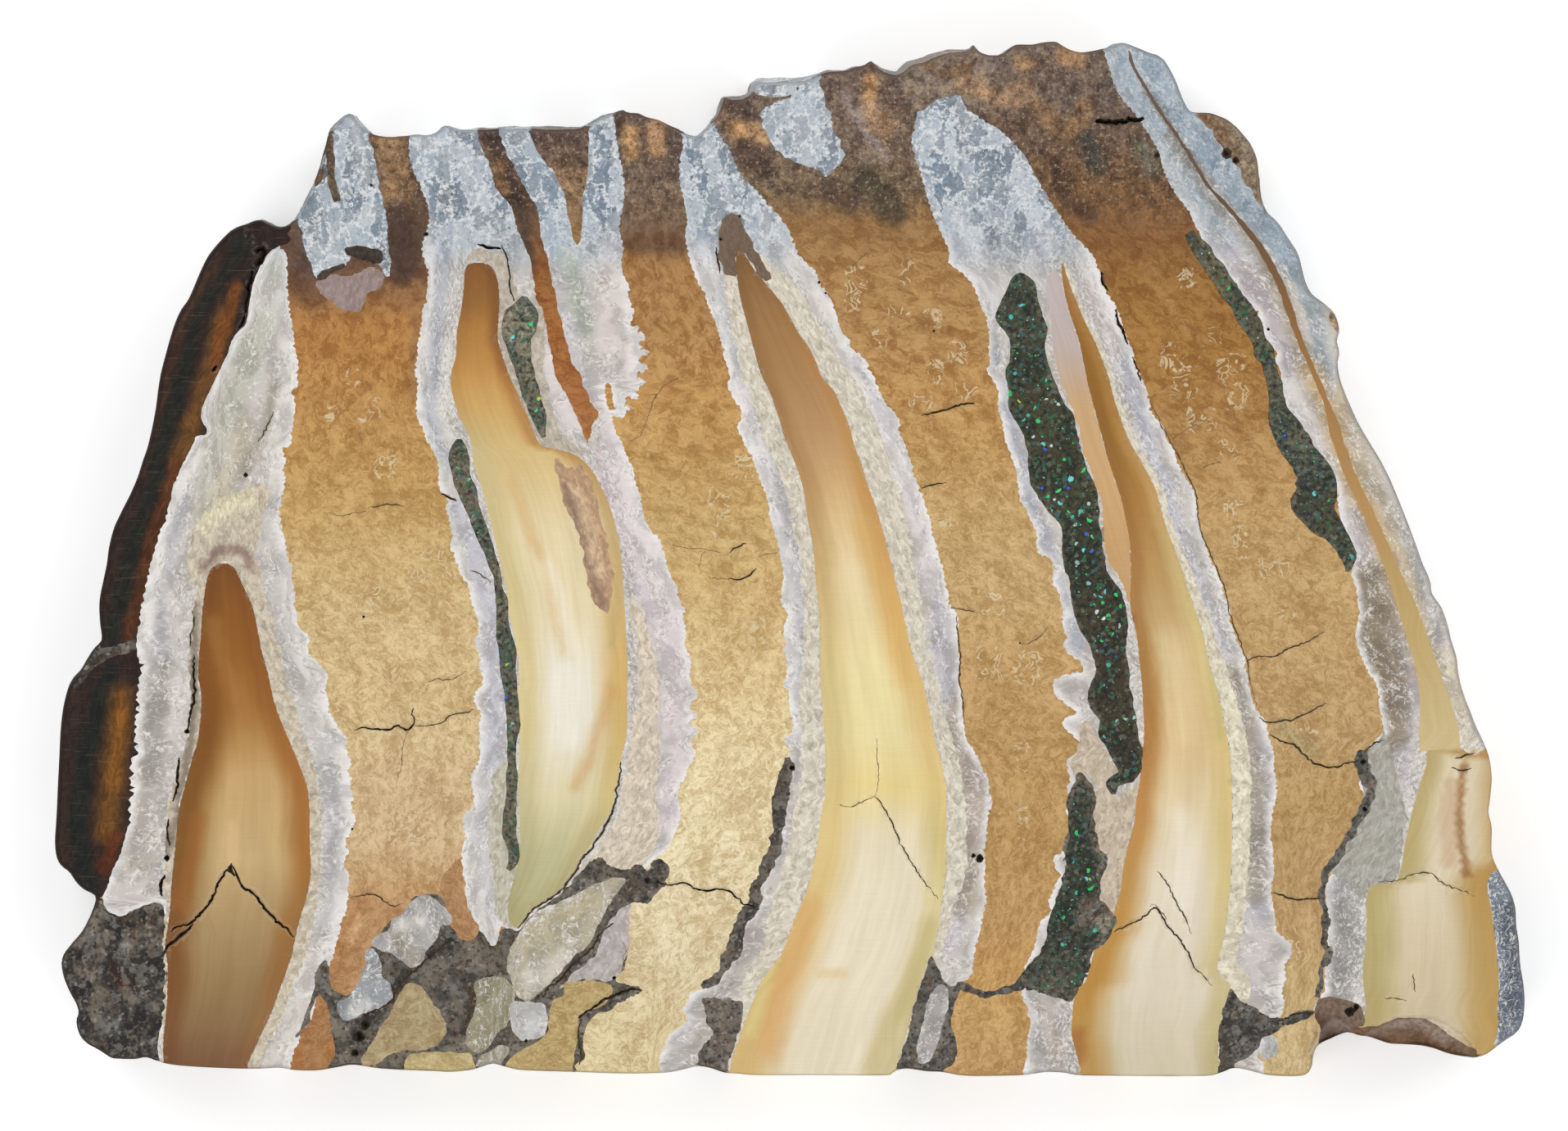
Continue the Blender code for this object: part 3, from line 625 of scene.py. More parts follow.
p1_left = edge(P1_LEFT, 3, 3.4, 10, 1, 11, [(280, 0.1), (560, 0.25), (620, 0.55), (800, 0.8),
                                            (826, 1.7), (1004, 1.7), (1012, 0.3), (1300, 0.2)])
p1_right = edge(P1_RIGHT, 3, 2.6, 7, -1, 12)
p2_left = edge(P2_LEFT, 3, 2.6, 7, 1, 13)
v_right = edge(V_RIGHT, 3, 2.2, 7, -1, 14)
p3_left = edge(P3_LEFT, 3, 2.0, 8, 1, 15)
p3_right = edge(P3_RIGHT, 3, 2.6, 8, -1, 16)
p4_left = edge(P4_LEFT, 3, 2.2, 8, 1, 17)
p4_right = edge(P4_RIGHT, 3, 2.4, 7, -1, 18)
p5_left = edge(P5_LEFT, 3, 1.8, 8, 1, 19)

chart = np.ones((TALL * FINE, WIDE * FINE), np.uint16)
areas = [("outside", "cementum"), ("cementum", "cementum")]
lines = []  # every border, for the triangulation


def area(name, kind, poly):
    areas.append((name, kind))
    paint(chart, poly, len(areas) - 1)
    lines.append((poly, True))


def same(name, poly):
    """More of an area that is there already."""
    paint(chart, poly, [a[0] for a in areas].index(name))
    lines.append((poly, True))


def halo(line, wide, side):
    """A strip along an open line, out to one side, from stops of y and width."""
    n = left_normals(line, False, 2) * -side
    w = np.interp(line[:, 1], [s[0] for s in wide], [s[1] for s in wide])
    return np.vstack([line[:, :2], (line[:, :2] + n * w[:, None])[::-1]])


def rough(poly, amount, seed):
    r = np.random.default_rng(seed)
    wob = r.normal(0, amount, len(poly))
    wob = (wob + np.roll(wob, 1)) / 1.4
    out = poly.copy()
    out += left_normals(poly, True) * wob[:, None]
    return out


# left corner of crumbly matrix, then the dark rim
area("matrix_left", "matrix", arr([(20, 1088), (128, 1098), (128, 1080), (205, 1098),
                                   (206, 1335), (20, 1335)]))
top = p1_left[p1_left[:, 1] < 1096][::-1]
area("rim", "rim", np.vstack([top, arr([(352, 297), (354, 268), (340, 240), (240, 220),
                                        (20, 600), (20, 1110), (116, 1098)])]))
same("matrix_left", closed([(84, 828), (96, 818), (106, 806), (118, 794), (134, 790),
                            (150, 786), (164, 781), (168, 792), (150, 799), (132, 804),
                            (120, 812), (108, 822), (98, 832), (88, 836)], 3, 0.5, 21))

area("p1", "enamel", np.vstack([p1_left, p1_right[::-1]]))
area("p2", "enamel", np.vstack([p2_left, edge(P2_FOOT, 3, 1.5, 8, -1, 20), v_right[::-1]]))
area("strip", "cementum", rough(closed(STRIP, 3), 0.7, 22))
area("wedge", "cementum", closed([
    (648, 118), (647, 158), (653, 178), (663, 196), (674, 208), (681, 220), (686, 232),
    (691, 246), (694, 262), (697, 278), (699, 290), (704, 301), (707, 290), (710, 275),
    (711, 260), (711, 246), (714, 230), (716, 214), (718, 196), (718, 176), (716, 118)],
    3, 0.6, 23))
area("p3", "enamel", np.vstack([p3_left, p3_right[::-1]]))
area("p4", "enamel", np.vstack([p4_left, p4_right[::-1]]))
area("p5", "enamel", np.vstack([p5_left, arr([(1600, 1345), (1900, 1345), (1900, 20)])]))

# worn lumps of enamel at the crown
area("cap", "enamel", closed([
    (402, 150), (414, 140), (428, 131), (438, 140), (446, 156), (452, 173), (457, 192),
    (461, 212), (464, 232), (469, 248), (473, 268), (473, 288), (475, 305), (478, 323),
    (476, 337), (470, 336), (464, 325), (455, 322), (445, 318), (436, 313), (428, 309),
    (427, 316), (422, 322), (410, 326), (400, 331), (392, 341), (386, 338), (380, 325),
    (374, 311), (370, 296), (366, 277), (362, 260), (371, 244), (381, 232), (391, 222),
    (396, 212), (393, 195), (394, 172)], 3, 0.8, 24))
# painted shadow: the two dark patches under the white lumps of the cap stand for the shade those lumps
# cast; they take the hole kind, so they sink a little and share the pit finish
area("cap_shadow", "hole", closed([(421, 303), (433, 300), (450, 303), (464, 306), (468, 317),
                                   (461, 322), (446, 319), (434, 314), (424, 311)], 3, 0.5, 25))
area("cap_shadow2", "hole", closed([(386, 337), (396, 330), (410, 325), (421, 322), (418, 329),
                                    (404, 334), (393, 343)], 3, 0.4, 26))
area("crystals", "lining", closed([
    (386, 346), (398, 340), (410, 333), (422, 336), (436, 333), (450, 326), (464, 328),
    (468, 342), (462, 352), (450, 358), (444, 368), (438, 380), (428, 379), (416, 378),
    (406, 368), (394, 362), (387, 354)], 3, 1.2, 27))
for k, (x, y, wide_, tall_) in enumerate([
        (771, 404, 10, 8), (782, 412, 7, 5), (774, 424, 11, 9), (786, 430, 6, 5),
        (770, 442, 12, 9), (784, 448, 7, 6), (768, 460, 12, 8), (782, 466, 6, 5),
        (764, 476, 10, 7), (775, 484, 6, 4), (756, 490, 9, 7), (766, 498, 5, 4),
        (748, 504, 8, 6)]):
    r = np.random.default_rng(1700 + k)
    turn = np.arange(14) * 2 * math.pi / 14
    wave = r.uniform(0.6, 1.25, 14)
    same("p2", np.stack([x + wide_ * wave * np.cos(turn), y + tall_ * wave * np.sin(turn)], 1))
area("patch", "enamel", closed([
    (926, 143), (934, 132), (950, 124), (966, 118), (978, 104), (999, 99), (1006, 118),
    (1013, 138), (1019, 158), (1025, 175), (1029, 192), (1020, 205), (1008, 215), (1000, 207),
    (986, 201), (966, 196), (955, 188), (945, 178), (935, 163)], 3, 1.4, 28))
area("patch_rim", "enamel", arr([(900, 60), (912, 104), (925, 116), (945, 119), (962, 117),
                                 (978, 104), (1004, 97), (1006, 60)]))

# brown crust of the crown over plates four and five
area("crown4", "cementum", rough(closed([
    (1094, 40), (1100, 90), (1108, 128), (1116, 142), (1124, 134), (1138, 126), (1152, 120),
    (1168, 119), (1184, 126), (1198, 138), (1204, 130), (1204, 40)], 4), 1.2, 101))
area("crust5", "cementum", rough(closed([
    (1456, 128), (1462, 142), (1470, 152), (1480, 162), (1486, 172), (1500, 190), (1510, 204),
    (1520, 222), (1530, 240), (1542, 256), (1552, 262), (1556, 240), (1550, 180), (1500, 120),
    (1460, 120)], 4), 1.0, 102))
area("crust6", "cementum", closed([(1614, 366), (1622, 378), (1624, 392), (1630, 402),
                                   (1644, 404), (1644, 380), (1622, 360)], 4, 0.6, 103))
area("cap_ridge", "enamel", band([(376, 300, 7), (392, 304, 9), (404, 292, 8), (414, 280, 9),
                                  (430, 272, 8), (446, 266, 8), (460, 258, 6)], 4, 1.4, 104))
area("cap_white", "enamel", band([(428, 146, 4), (434, 165, 5), (441, 190, 4), (447, 216, 4),
                                  (452, 240, 5)], 4, 0.9, 105))
area("cap_brown", "cementum", band([(402, 158, 3), (403, 178, 5), (404, 215, 5), (412, 246, 4)],
                                   4, 0.8, 106))

# dentine and the crumbly lining round it
d1_left, d1_right = edge(D1_LEFT, 3, 0.6, 9, 1, 31), edge(D1_RIGHT, 3, 0.6, 9, -1, 32)
d2_left, d2_right = edge(D2_LEFT, 3, 0.5, 9, 1, 33), edge(D2_RIGHT, 3, 0.5, 9, -1, 34)
d3_left, d3_right = edge(D3_LEFT, 3, 0.4, 9, 1, 35), edge(D3_RIGHT, 3, 0.4, 9, -1, 36)
d4_left, d4_right = edge(D4_LEFT, 3, 0.5, 9, 1, 37), edge(D4_RIGHT, 3, 0.4, 9, -1, 38)
d5_left, d5_right = edge(D5_LEFT, 3, 0.4, 9, 1, 39), edge(D5_RIGHT, 3, 0.4, 9, -1, 40)

area("l1", "lining", rough(halo(d1_left, [(680, 14), (720, 10), (760, 10), (900, 13), (1000, 14),
                                          (1080, 10), (1110, 4), (1330, 2)], 1), 1.2, 41))
same("l1", rough(halo(d1_right, [(680, 16), (760, 20), (880, 22), (960, 14), (1060, 12),
                                 (1130, 16), (1220, 14), (1330, 14)], -1), 1.4, 42))
same("l1", closed([(228, 676), (240, 640), (262, 612), (290, 598), (312, 590), (330, 600),
                   (322, 625), (318, 650), (312, 676), (322, 712), (300, 720), (286, 694),
                   (268, 688), (250, 712), (238, 716), (229, 700)], 3, 1.4, 43))
area("l2", "lining", rough(halo(d2_right[d2_right[:, 1] < 560], [(320, 14), (380, 8), (480, 6),
                                                                (560, 10)], -1), 1.0, 44))
same("l2", closed([(566, 322), (572, 312), (584, 303), (600, 306), (616, 312), (622, 326),
                   (614, 336), (606, 330), (598, 322), (580, 318)], 3, 1.0, 45))
same("l2", closed([(612, 318), (622, 322), (628, 345), (634, 362), (650, 368), (662, 380),
                   (664, 395), (664, 430), (668, 470), (676, 505), (690, 535), (706, 548),
                   (690, 551), (674, 546), (660, 542), (648, 516), (636, 488), (620, 452),
                   (610, 420), (610, 368), (607, 338)], 3, 1.2, 46))
area("wedge2", "lining", closed([
    (677, 560), (686, 562), (694, 572), (702, 568), (711, 568), (721, 584), (727, 605),
    (734, 634), (742, 658), (747, 684), (749, 710), (747, 732), (743, 750), (736, 748),
    (727, 740), (719, 718), (714, 693), (710, 668), (701, 640), (690, 618), (683, 590)],
    3, 1.3, 47))
area("l2v", "lining", rough(closed([
    (766, 730), (772, 760), (778, 800), (776, 850), (772, 890), (768, 925), (760, 955),
    (756, 990), (742, 1015), (726, 1040), (710, 1062), (722, 1064), (745, 1058), (768, 1062),
    (788, 1052), (800, 1030), (804, 1000), (800, 960), (806, 920), (802, 880), (806, 840),
    (798, 800), (792, 765), (780, 738)], 3), 1.6, 48))
area("l2l", "lining", rough(closed([
    (616, 930), (604, 945), (598, 970), (594, 1000), (596, 1030), (600, 1060), (604, 1090),
    (606, 1115), (618, 1130), (630, 1134), (624, 1115), (622, 1092), (628, 1070),
    (632, 1050), (632, 1000), (632, 950)], 3), 1.4, 49))
area("l3", "lining", rough(halo(d3_left, [(300, 12), (400, 20), (500, 25), (560, 24), (620, 20),
                                          (700, 16), (800, 22), (900, 28), (1000, 34),
                                          (1100, 36), (1200, 20), (1300, 12)], 1), 1.3, 50))
same("l3", rough(halo(d3_right, [(300, 14), (360, 26), (450, 28), (560, 34), (640, 30),
                                 (740, 24), (860, 18), (950, 22), (1060, 26), (1120, 12),
                                 (1200, 6), (1300, 6)], -1), 1.3, 51))
area("tip3", "lining", closed([(877, 300), (878, 282), (884, 266), (896, 260), (906, 272),
                               (914, 288), (922, 304), (932, 322), (940, 338), (930, 340),
                               (914, 316), (903, 302), (898, 316), (899, 338), (884, 334),
                               (879, 318)], 3, 1.0, 52))
area("l4", "lining", rough(halo(d4_right, [(300, 3), (500, 6), (700, 10), (850, 20), (900, 24),
                                           (1040, 22), (1150, 20), (1200, 26), (1300, 20)],
                                -1), 1.0, 53))
area("l4c", "lining", closed([(1378, 640), (1366, 638), (1350, 640), (1345, 655), (1352, 672),
                              (1358, 690), (1368, 704), (1376, 722), (1380, 700),
                              (1379, 664)], 3, 1.0, 54))
area("l4b", "lining", closed([
    (1393, 960), (1386, 990), (1378, 1025), (1372, 1060), (1366, 1090), (1356, 1122),
    (1346, 1112), (1338, 1100), (1342, 1070), (1350, 1045), (1340, 1040), (1332, 1020),
    (1332, 990), (1338, 960), (1324, 946), (1312, 948), (1306, 930), (1318, 910), (1316, 890),
    (1324, 880), (1340, 900), (1348, 915), (1358, 930), (1366, 944), (1352, 954), (1362, 972),
    (1378, 962)], 3, 1.4, 55))
area("l5", "lining", closed([
    (1690, 893), (1680, 903), (1668, 916), (1662, 930), (1660, 950), (1663, 970), (1658, 995),
    (1648, 1016), (1636, 1040), (1622, 1062), (1634, 1070), (1648, 1076), (1655, 1092),
    (1664, 1098), (1670, 1084), (1688, 1080), (1704, 1075), (1710, 1055), (1712, 1030),
    (1716, 1000), (1712, 970), (1706, 945), (1700, 920)], 3, 1.5, 56))

area("strip4", "dentine", closed([
    (1280, 336), (1290, 332), (1296, 345), (1300, 362), (1306, 382), (1312, 402), (1318, 425),
    (1325, 455), (1333, 488), (1342, 522), (1352, 560), (1364, 596), (1373, 628), (1379, 664),
    (1380, 700), (1378, 735), (1372, 716), (1362, 700), (1352, 684), (1348, 664), (1347, 646),
    (1345, 620), (1340, 596), (1330, 570), (1322, 548), (1316, 518), (1308, 498), (1296, 470),
    (1288, 440), (1284, 410), (1282, 380), (1276, 356)], 3, 0.6, 57))
area("d1", "dentine", np.vstack([d1_left, d1_right[::-1]]))
area("d2", "dentine", np.vstack([d2_left, d2_right[::-1]]))
area("d3", "dentine", np.vstack([d3_left, d3_right[::-1]]))
area("d4", "dentine", np.vstack([d4_left, d4_right[::-1]]))
area("d5", "dentine", np.vstack([d5_left, arr([(1830, 1345)]), d5_right[::-1]]))
area("sliver", "dentine", band([(x, y, h * (0.5 if y < 500 else 0.75 if y < 700 else 0.95))
                                for x, y, h in D5_SLIVER], 3, 0.4, 58))
paint(chart, closed([(677, 562), (686, 564), (694, 573), (702, 570), (711, 569), (721, 586),
                     (727, 607), (734, 636), (742, 660), (746, 686), (748, 710), (746, 732),
                     (742, 749), (736, 746), (728, 738), (719, 718), (714, 693), (710, 668),
                     (701, 640), (690, 618), (683, 591)], 3, 1.0, 59),
      [a[0] for a in areas].index("wedge2"))
lines.append((closed([(677, 562), (686, 564), (694, 573), (702, 570), (711, 569), (721, 586),
                      (727, 607), (734, 636), (742, 660), (746, 686), (748, 710), (746, 732),
                      (742, 749), (736, 746), (728, 738), (719, 718), (714, 693), (710, 668),
                      (701, 640), (690, 618), (683, 591)], 3, 1.0, 59), True))
area("slate", "enamel", rough(closed([
    (1817, 1074), (1826, 1062), (1842, 1070), (1890, 1090), (1890, 1262), (1840, 1296),
    (1826, 1282), (1829, 1258), (1828, 1230), (1830, 1200), (1828, 1170), (1825, 1140),
    (1820, 1108)], 3), 0.8, 60))

# crumbly matrix and the broken pieces in it
area("grit_low", "matrix", closed([
    (388, 1182), (398, 1172), (405, 1196), (425, 1214), (440, 1200), (447, 1176), (450, 1160),
    (466, 1140), (475, 1120), (497, 1114), (502, 1098), (520, 1092), (540, 1096), (550, 1115),
    (555, 1135), (562, 1148), (575, 1146), (586, 1135), (597, 1152), (606, 1152), (614, 1134),
    (632, 1136), (650, 1116), (668, 1102), (690, 1086), (708, 1064), (730, 1046), (748, 1058),
    (770, 1062), (795, 1066), (814, 1078), (802, 1090), (784, 1102), (768, 1106), (764, 1130),
    (766, 1150), (762, 1180), (752, 1197), (772, 1203), (785, 1209), (766, 1218), (745, 1232),
    (722, 1244), (712, 1268), (712, 1296), (700, 1302), (692, 1330), (398, 1330), (408, 1290),
    (403, 1252), (395, 1226), (386, 1216), (380, 1238), (372, 1254), (360, 1266), (372, 1242),
    (382, 1214)], 3, 1.0, 61))
area("tongue_a", "cementum", closed([
    (424, 1098), (440, 1095), (460, 1096), (478, 1104), (492, 1112), (478, 1124), (466, 1134),
    (456, 1146), (450, 1160), (447, 1176), (442, 1192), (434, 1206), (424, 1215), (406, 1208),
    (402, 1196), (406, 1176), (412, 1150), (418, 1132), (424, 1118)], 3, 0.8, 62))
area("tongue_b", "cementum", closed([
    (388, 1218), (396, 1222), (402, 1246), (404, 1264), (398, 1282), (396, 1330), (366, 1330),
    (372, 1284), (366, 1262), (376, 1250), (382, 1236)], 3, 0.8, 63))
area("tongue_c", "cementum", closed([
    (562, 1048), (565, 1070), (568, 1092), (574, 1114), (584, 1130), (586, 1136), (576, 1146),
    (564, 1147), (556, 1138), (550, 1122), (545, 1108), (540, 1096), (538, 1080),
    (546, 1064)], 3, 0.7, 64))
area("frag_a", "enamel", closed([
    (448, 1160), (458, 1160), (464, 1172), (466, 1190), (476, 1202), (478, 1218), (468, 1230),
    (452, 1233), (438, 1240), (426, 1247), (416, 1242), (412, 1228), (424, 1217), (436, 1202),
    (444, 1184)], 3, 0.8, 65))
area("frag_b", "enamel", closed([
    (497, 1106), (505, 1097), (520, 1093), (532, 1099), (544, 1110), (552, 1122), (549, 1131),
    (538, 1130), (534, 1145), (522, 1160), (515, 1174), (503, 1182), (490, 1172), (478, 1165),
    (463, 1160), (454, 1153), (462, 1141), (474, 1136), (478, 1122), (490, 1116)], 3, 0.7, 66))
area("frag_c", "cementum", closed([
    (500, 1200), (510, 1203), (520, 1212), (530, 1226), (540, 1240), (545, 1258), (540, 1270),
    (528, 1280), (512, 1283), (490, 1284), (472, 1290), (455, 1300), (440, 1296),
    (448, 1280), (460, 1262), (474, 1240), (483, 1222), (490, 1209)], 3, 0.8, 67))
area("frag_d", "enamel", closed([
    (580, 1202), (592, 1195), (605, 1192), (620, 1198), (628, 1212), (625, 1232), (620, 1250),
    (606, 1262), (598, 1276), (584, 1286), (572, 1280), (568, 1266), (574, 1248),
    (581, 1228)], 3, 0.8, 68))
area("frag_e", "cementum", closed([
    (499, 1290), (515, 1285), (540, 1285), (562, 1286), (576, 1290), (578, 1330), (500, 1330),
    (493, 1304)], 3, 0.7, 69))
area("frag_e2", "enamel", closed([(600, 1282), (612, 1276), (622, 1282), (612, 1298),
                                  (590, 1330), (580, 1330), (582, 1296)], 3, 0.6, 70))
area("frag_f", "enamel", closed([
    (658, 1112), (690, 1098), (712, 1087), (735, 1076), (752, 1072), (764, 1076), (750, 1095),
    (738, 1116), (728, 1136), (722, 1150), (712, 1160), (700, 1168), (690, 1179), (680, 1192),
    (668, 1204), (655, 1215), (645, 1224), (632, 1216), (625, 1200), (620, 1182), (622, 1160),
    (632, 1140), (644, 1124)], 3, 0.8, 71))
area("frag_i", "lining", closed([
    (742, 1126), (756, 1112), (770, 1104), (767, 1130), (768, 1152), (760, 1180), (746, 1198),
    (716, 1196), (692, 1203), (682, 1206), (702, 1186), (724, 1170), (734, 1148)], 3, 0.9, 72))
area("frag_g", "enamel", closed([(622, 1226), (640, 1222), (658, 1224), (668, 1236),
                                 (666, 1260), (650, 1270), (635, 1268), (624, 1250)], 3, 1.0, 73))
area("frag_h", "cementum", closed([
    (674, 1223), (688, 1214), (690, 1202), (712, 1197), (738, 1200), (748, 1206), (740, 1224),
    (722, 1234), (706, 1242), (706, 1265), (700, 1290), (692, 1330), (620, 1330), (618, 1302),
    (630, 1286), (650, 1276), (668, 1262), (670, 1242)], 3, 0.8, 74))
area("grit_top", "matrix", closed([
    (768, 1068), (776, 1056), (790, 1062), (800, 1048), (812, 1052), (816, 1070), (806, 1082),
    (800, 1094), (788, 1104), (776, 1100), (766, 1088)], 3, 1.2, 75))

area("grit_3l", "matrix", band([(960, 925, 4), (962, 942, 7), (956, 956, 8), (954, 975, 9),
                                (951, 992, 8), (950, 1005, 7), (948, 1022, 8), (944, 1040, 7),
                                (936, 1056, 8), (930, 1072, 7), (922, 1090, 6), (918, 1108, 9),
                                (908, 1122, 9), (900, 1140, 9), (896, 1156, 8), (886, 1174, 7),
                                (880, 1188, 6), (866, 1198, 5), (856, 1204, 3)], 3, 1.6, 76))
area("grit_3m", "matrix", closed([
    (856, 1222), (872, 1218), (890, 1220), (904, 1222), (909, 1232), (906, 1248), (900, 1262),
    (896, 1280), (890, 1300), (886, 1335), (850, 1335), (852, 1300), (856, 1278), (870, 1262),
    (860, 1240)], 3, 1.2, 77))
area("grit_3r", "matrix", closed([
    (1137, 1168), (1144, 1180), (1150, 1196), (1160, 1206), (1172, 1203), (1166, 1224),
    (1161, 1250), (1168, 1278), (1164, 1298), (1150, 1308), (1146, 1335), (1092, 1335),
    (1098, 1298), (1108, 1262), (1117, 1224), (1130, 1188)], 3, 0.8, 78))
area("frag_3r", "enamel", closed([
    (1132, 1224), (1140, 1208), (1150, 1202), (1158, 1212), (1157, 1232), (1150, 1252),
    (1144, 1276), (1134, 1296), (1122, 1296), (1120, 1276), (1126, 1250)], 3, 0.7, 79))
area("grit_c", "matrix", band([(1168, 1203, 4), (1182, 1206, 4), (1197, 1213, 4),
                               (1217, 1212, 4), (1231, 1209, 4), (1244, 1203, 6),
                               (1256, 1194, 9), (1264, 1184, 6)], 3, 1.2, 80))
area("grit_4", "matrix", closed([
    (1246, 1196), (1254, 1182), (1266, 1168), (1276, 1150), (1284, 1130), (1296, 1150),
    (1316, 1160), (1332, 1176), (1326, 1196), (1316, 1206), (1306, 1222), (1294, 1220),
    (1278, 1216), (1262, 1212), (1250, 1206)], 3, 1.2, 81))
area("grit_4m", "matrix", closed([
    (1316, 945), (1330, 952), (1338, 975), (1336, 1000), (1342, 1035), (1352, 1046),
    (1346, 1070), (1342, 1096), (1354, 1108), (1362, 1126), (1352, 1146), (1336, 1162),
    (1310, 1160), (1292, 1160), (1278, 1150), (1282, 1118), (1292, 1090), (1300, 1060),
    (1298, 1036), (1304, 1010), (1302, 980), (1310, 958)], 3, 1.0, 82))
area("frag_4", "enamel", closed([
    (1250, 1214), (1262, 1210), (1284, 1218), (1302, 1222), (1308, 1240), (1304, 1262),
    (1312, 1284), (1318, 1335), (1250, 1335), (1254, 1285), (1258, 1250)], 3, 0.8, 83))
area("grit_5", "matrix", closed([
    (1503, 1204), (1514, 1222), (1530, 1228), (1546, 1240), (1562, 1244), (1576, 1238),
    (1592, 1233), (1604, 1236), (1596, 1243), (1578, 1250), (1560, 1258), (1548, 1268),
    (1534, 1282), (1520, 1292), (1506, 1298), (1494, 1316), (1486, 1316), (1489, 1290),
    (1487, 1262), (1492, 1236), (1498, 1220)], 3, 0.9, 84))
area("frag_5", "enamel", closed([(1540, 1268), (1552, 1264), (1560, 1272), (1558, 1288),
                                 (1548, 1294), (1538, 1288)], 3, 0.6, 85))
area("grit_p5", "matrix", band([(1664, 916, 5), (1662, 930, 9), (1668, 950, 8), (1674, 966, 7),
                                (1664, 988, 7), (1658, 1000, 5), (1650, 1014, 5),
                                (1642, 1026, 4), (1636, 1040, 6), (1628, 1052, 5),
                                (1620, 1064, 4), (1616, 1080, 4), (1613, 1096, 4),
                                (1617, 1112, 3), (1618, 1130, 6), (1616, 1148, 4),
                                (1622, 1166, 5), (1614, 1182, 3), (1613, 1200, 3),
                                (1608, 1218, 3)], 3, 1.3, 86))

# poured resin: outlines of the clefts it fills
fill_loops = {
    "fill_centre": closed(FILL_CENTRE, 5, 0.9, 91),
    "fill_lower": closed(FILL_LOWER, 5, 0.8, 92),
    "fill_right": band(FILL_LINES["glitter_fill_right"], 5, 0.9, 93),
    "fill_left_long": band(FILL_LINES["glitter_fill_left_long"], 4, 0.5, 94),
    "fill_left_short": band(FILL_LINES["glitter_fill_left_short"], 4, 0.8, 95),
}

# the broken corner
area("broken_a", "broken", closed([
    (1604, 1236), (1608, 1222), (1622, 1217), (1640, 1221), (1656, 1225), (1664, 1238),
    (1664, 1252), (1654, 1262), (1650, 1330), (1600, 1330), (1612, 1284), (1612, 1258),
    (1606, 1246)], 3, 0.7, 96))
area("broken_b", "broken", closed([
    (1648, 1260), (1663, 1254), (1683, 1252), (1695, 1247), (1708, 1243), (1727, 1242),
    (1744, 1246), (1760, 1256), (1776, 1268), (1792, 1277), (1806, 1290), (1806, 1340),
    (1644, 1340)], 3, 0.5, 97))
SCOOPS = [((1724, 1306), 78, 62), ((1632, 1296), 30, 50)]

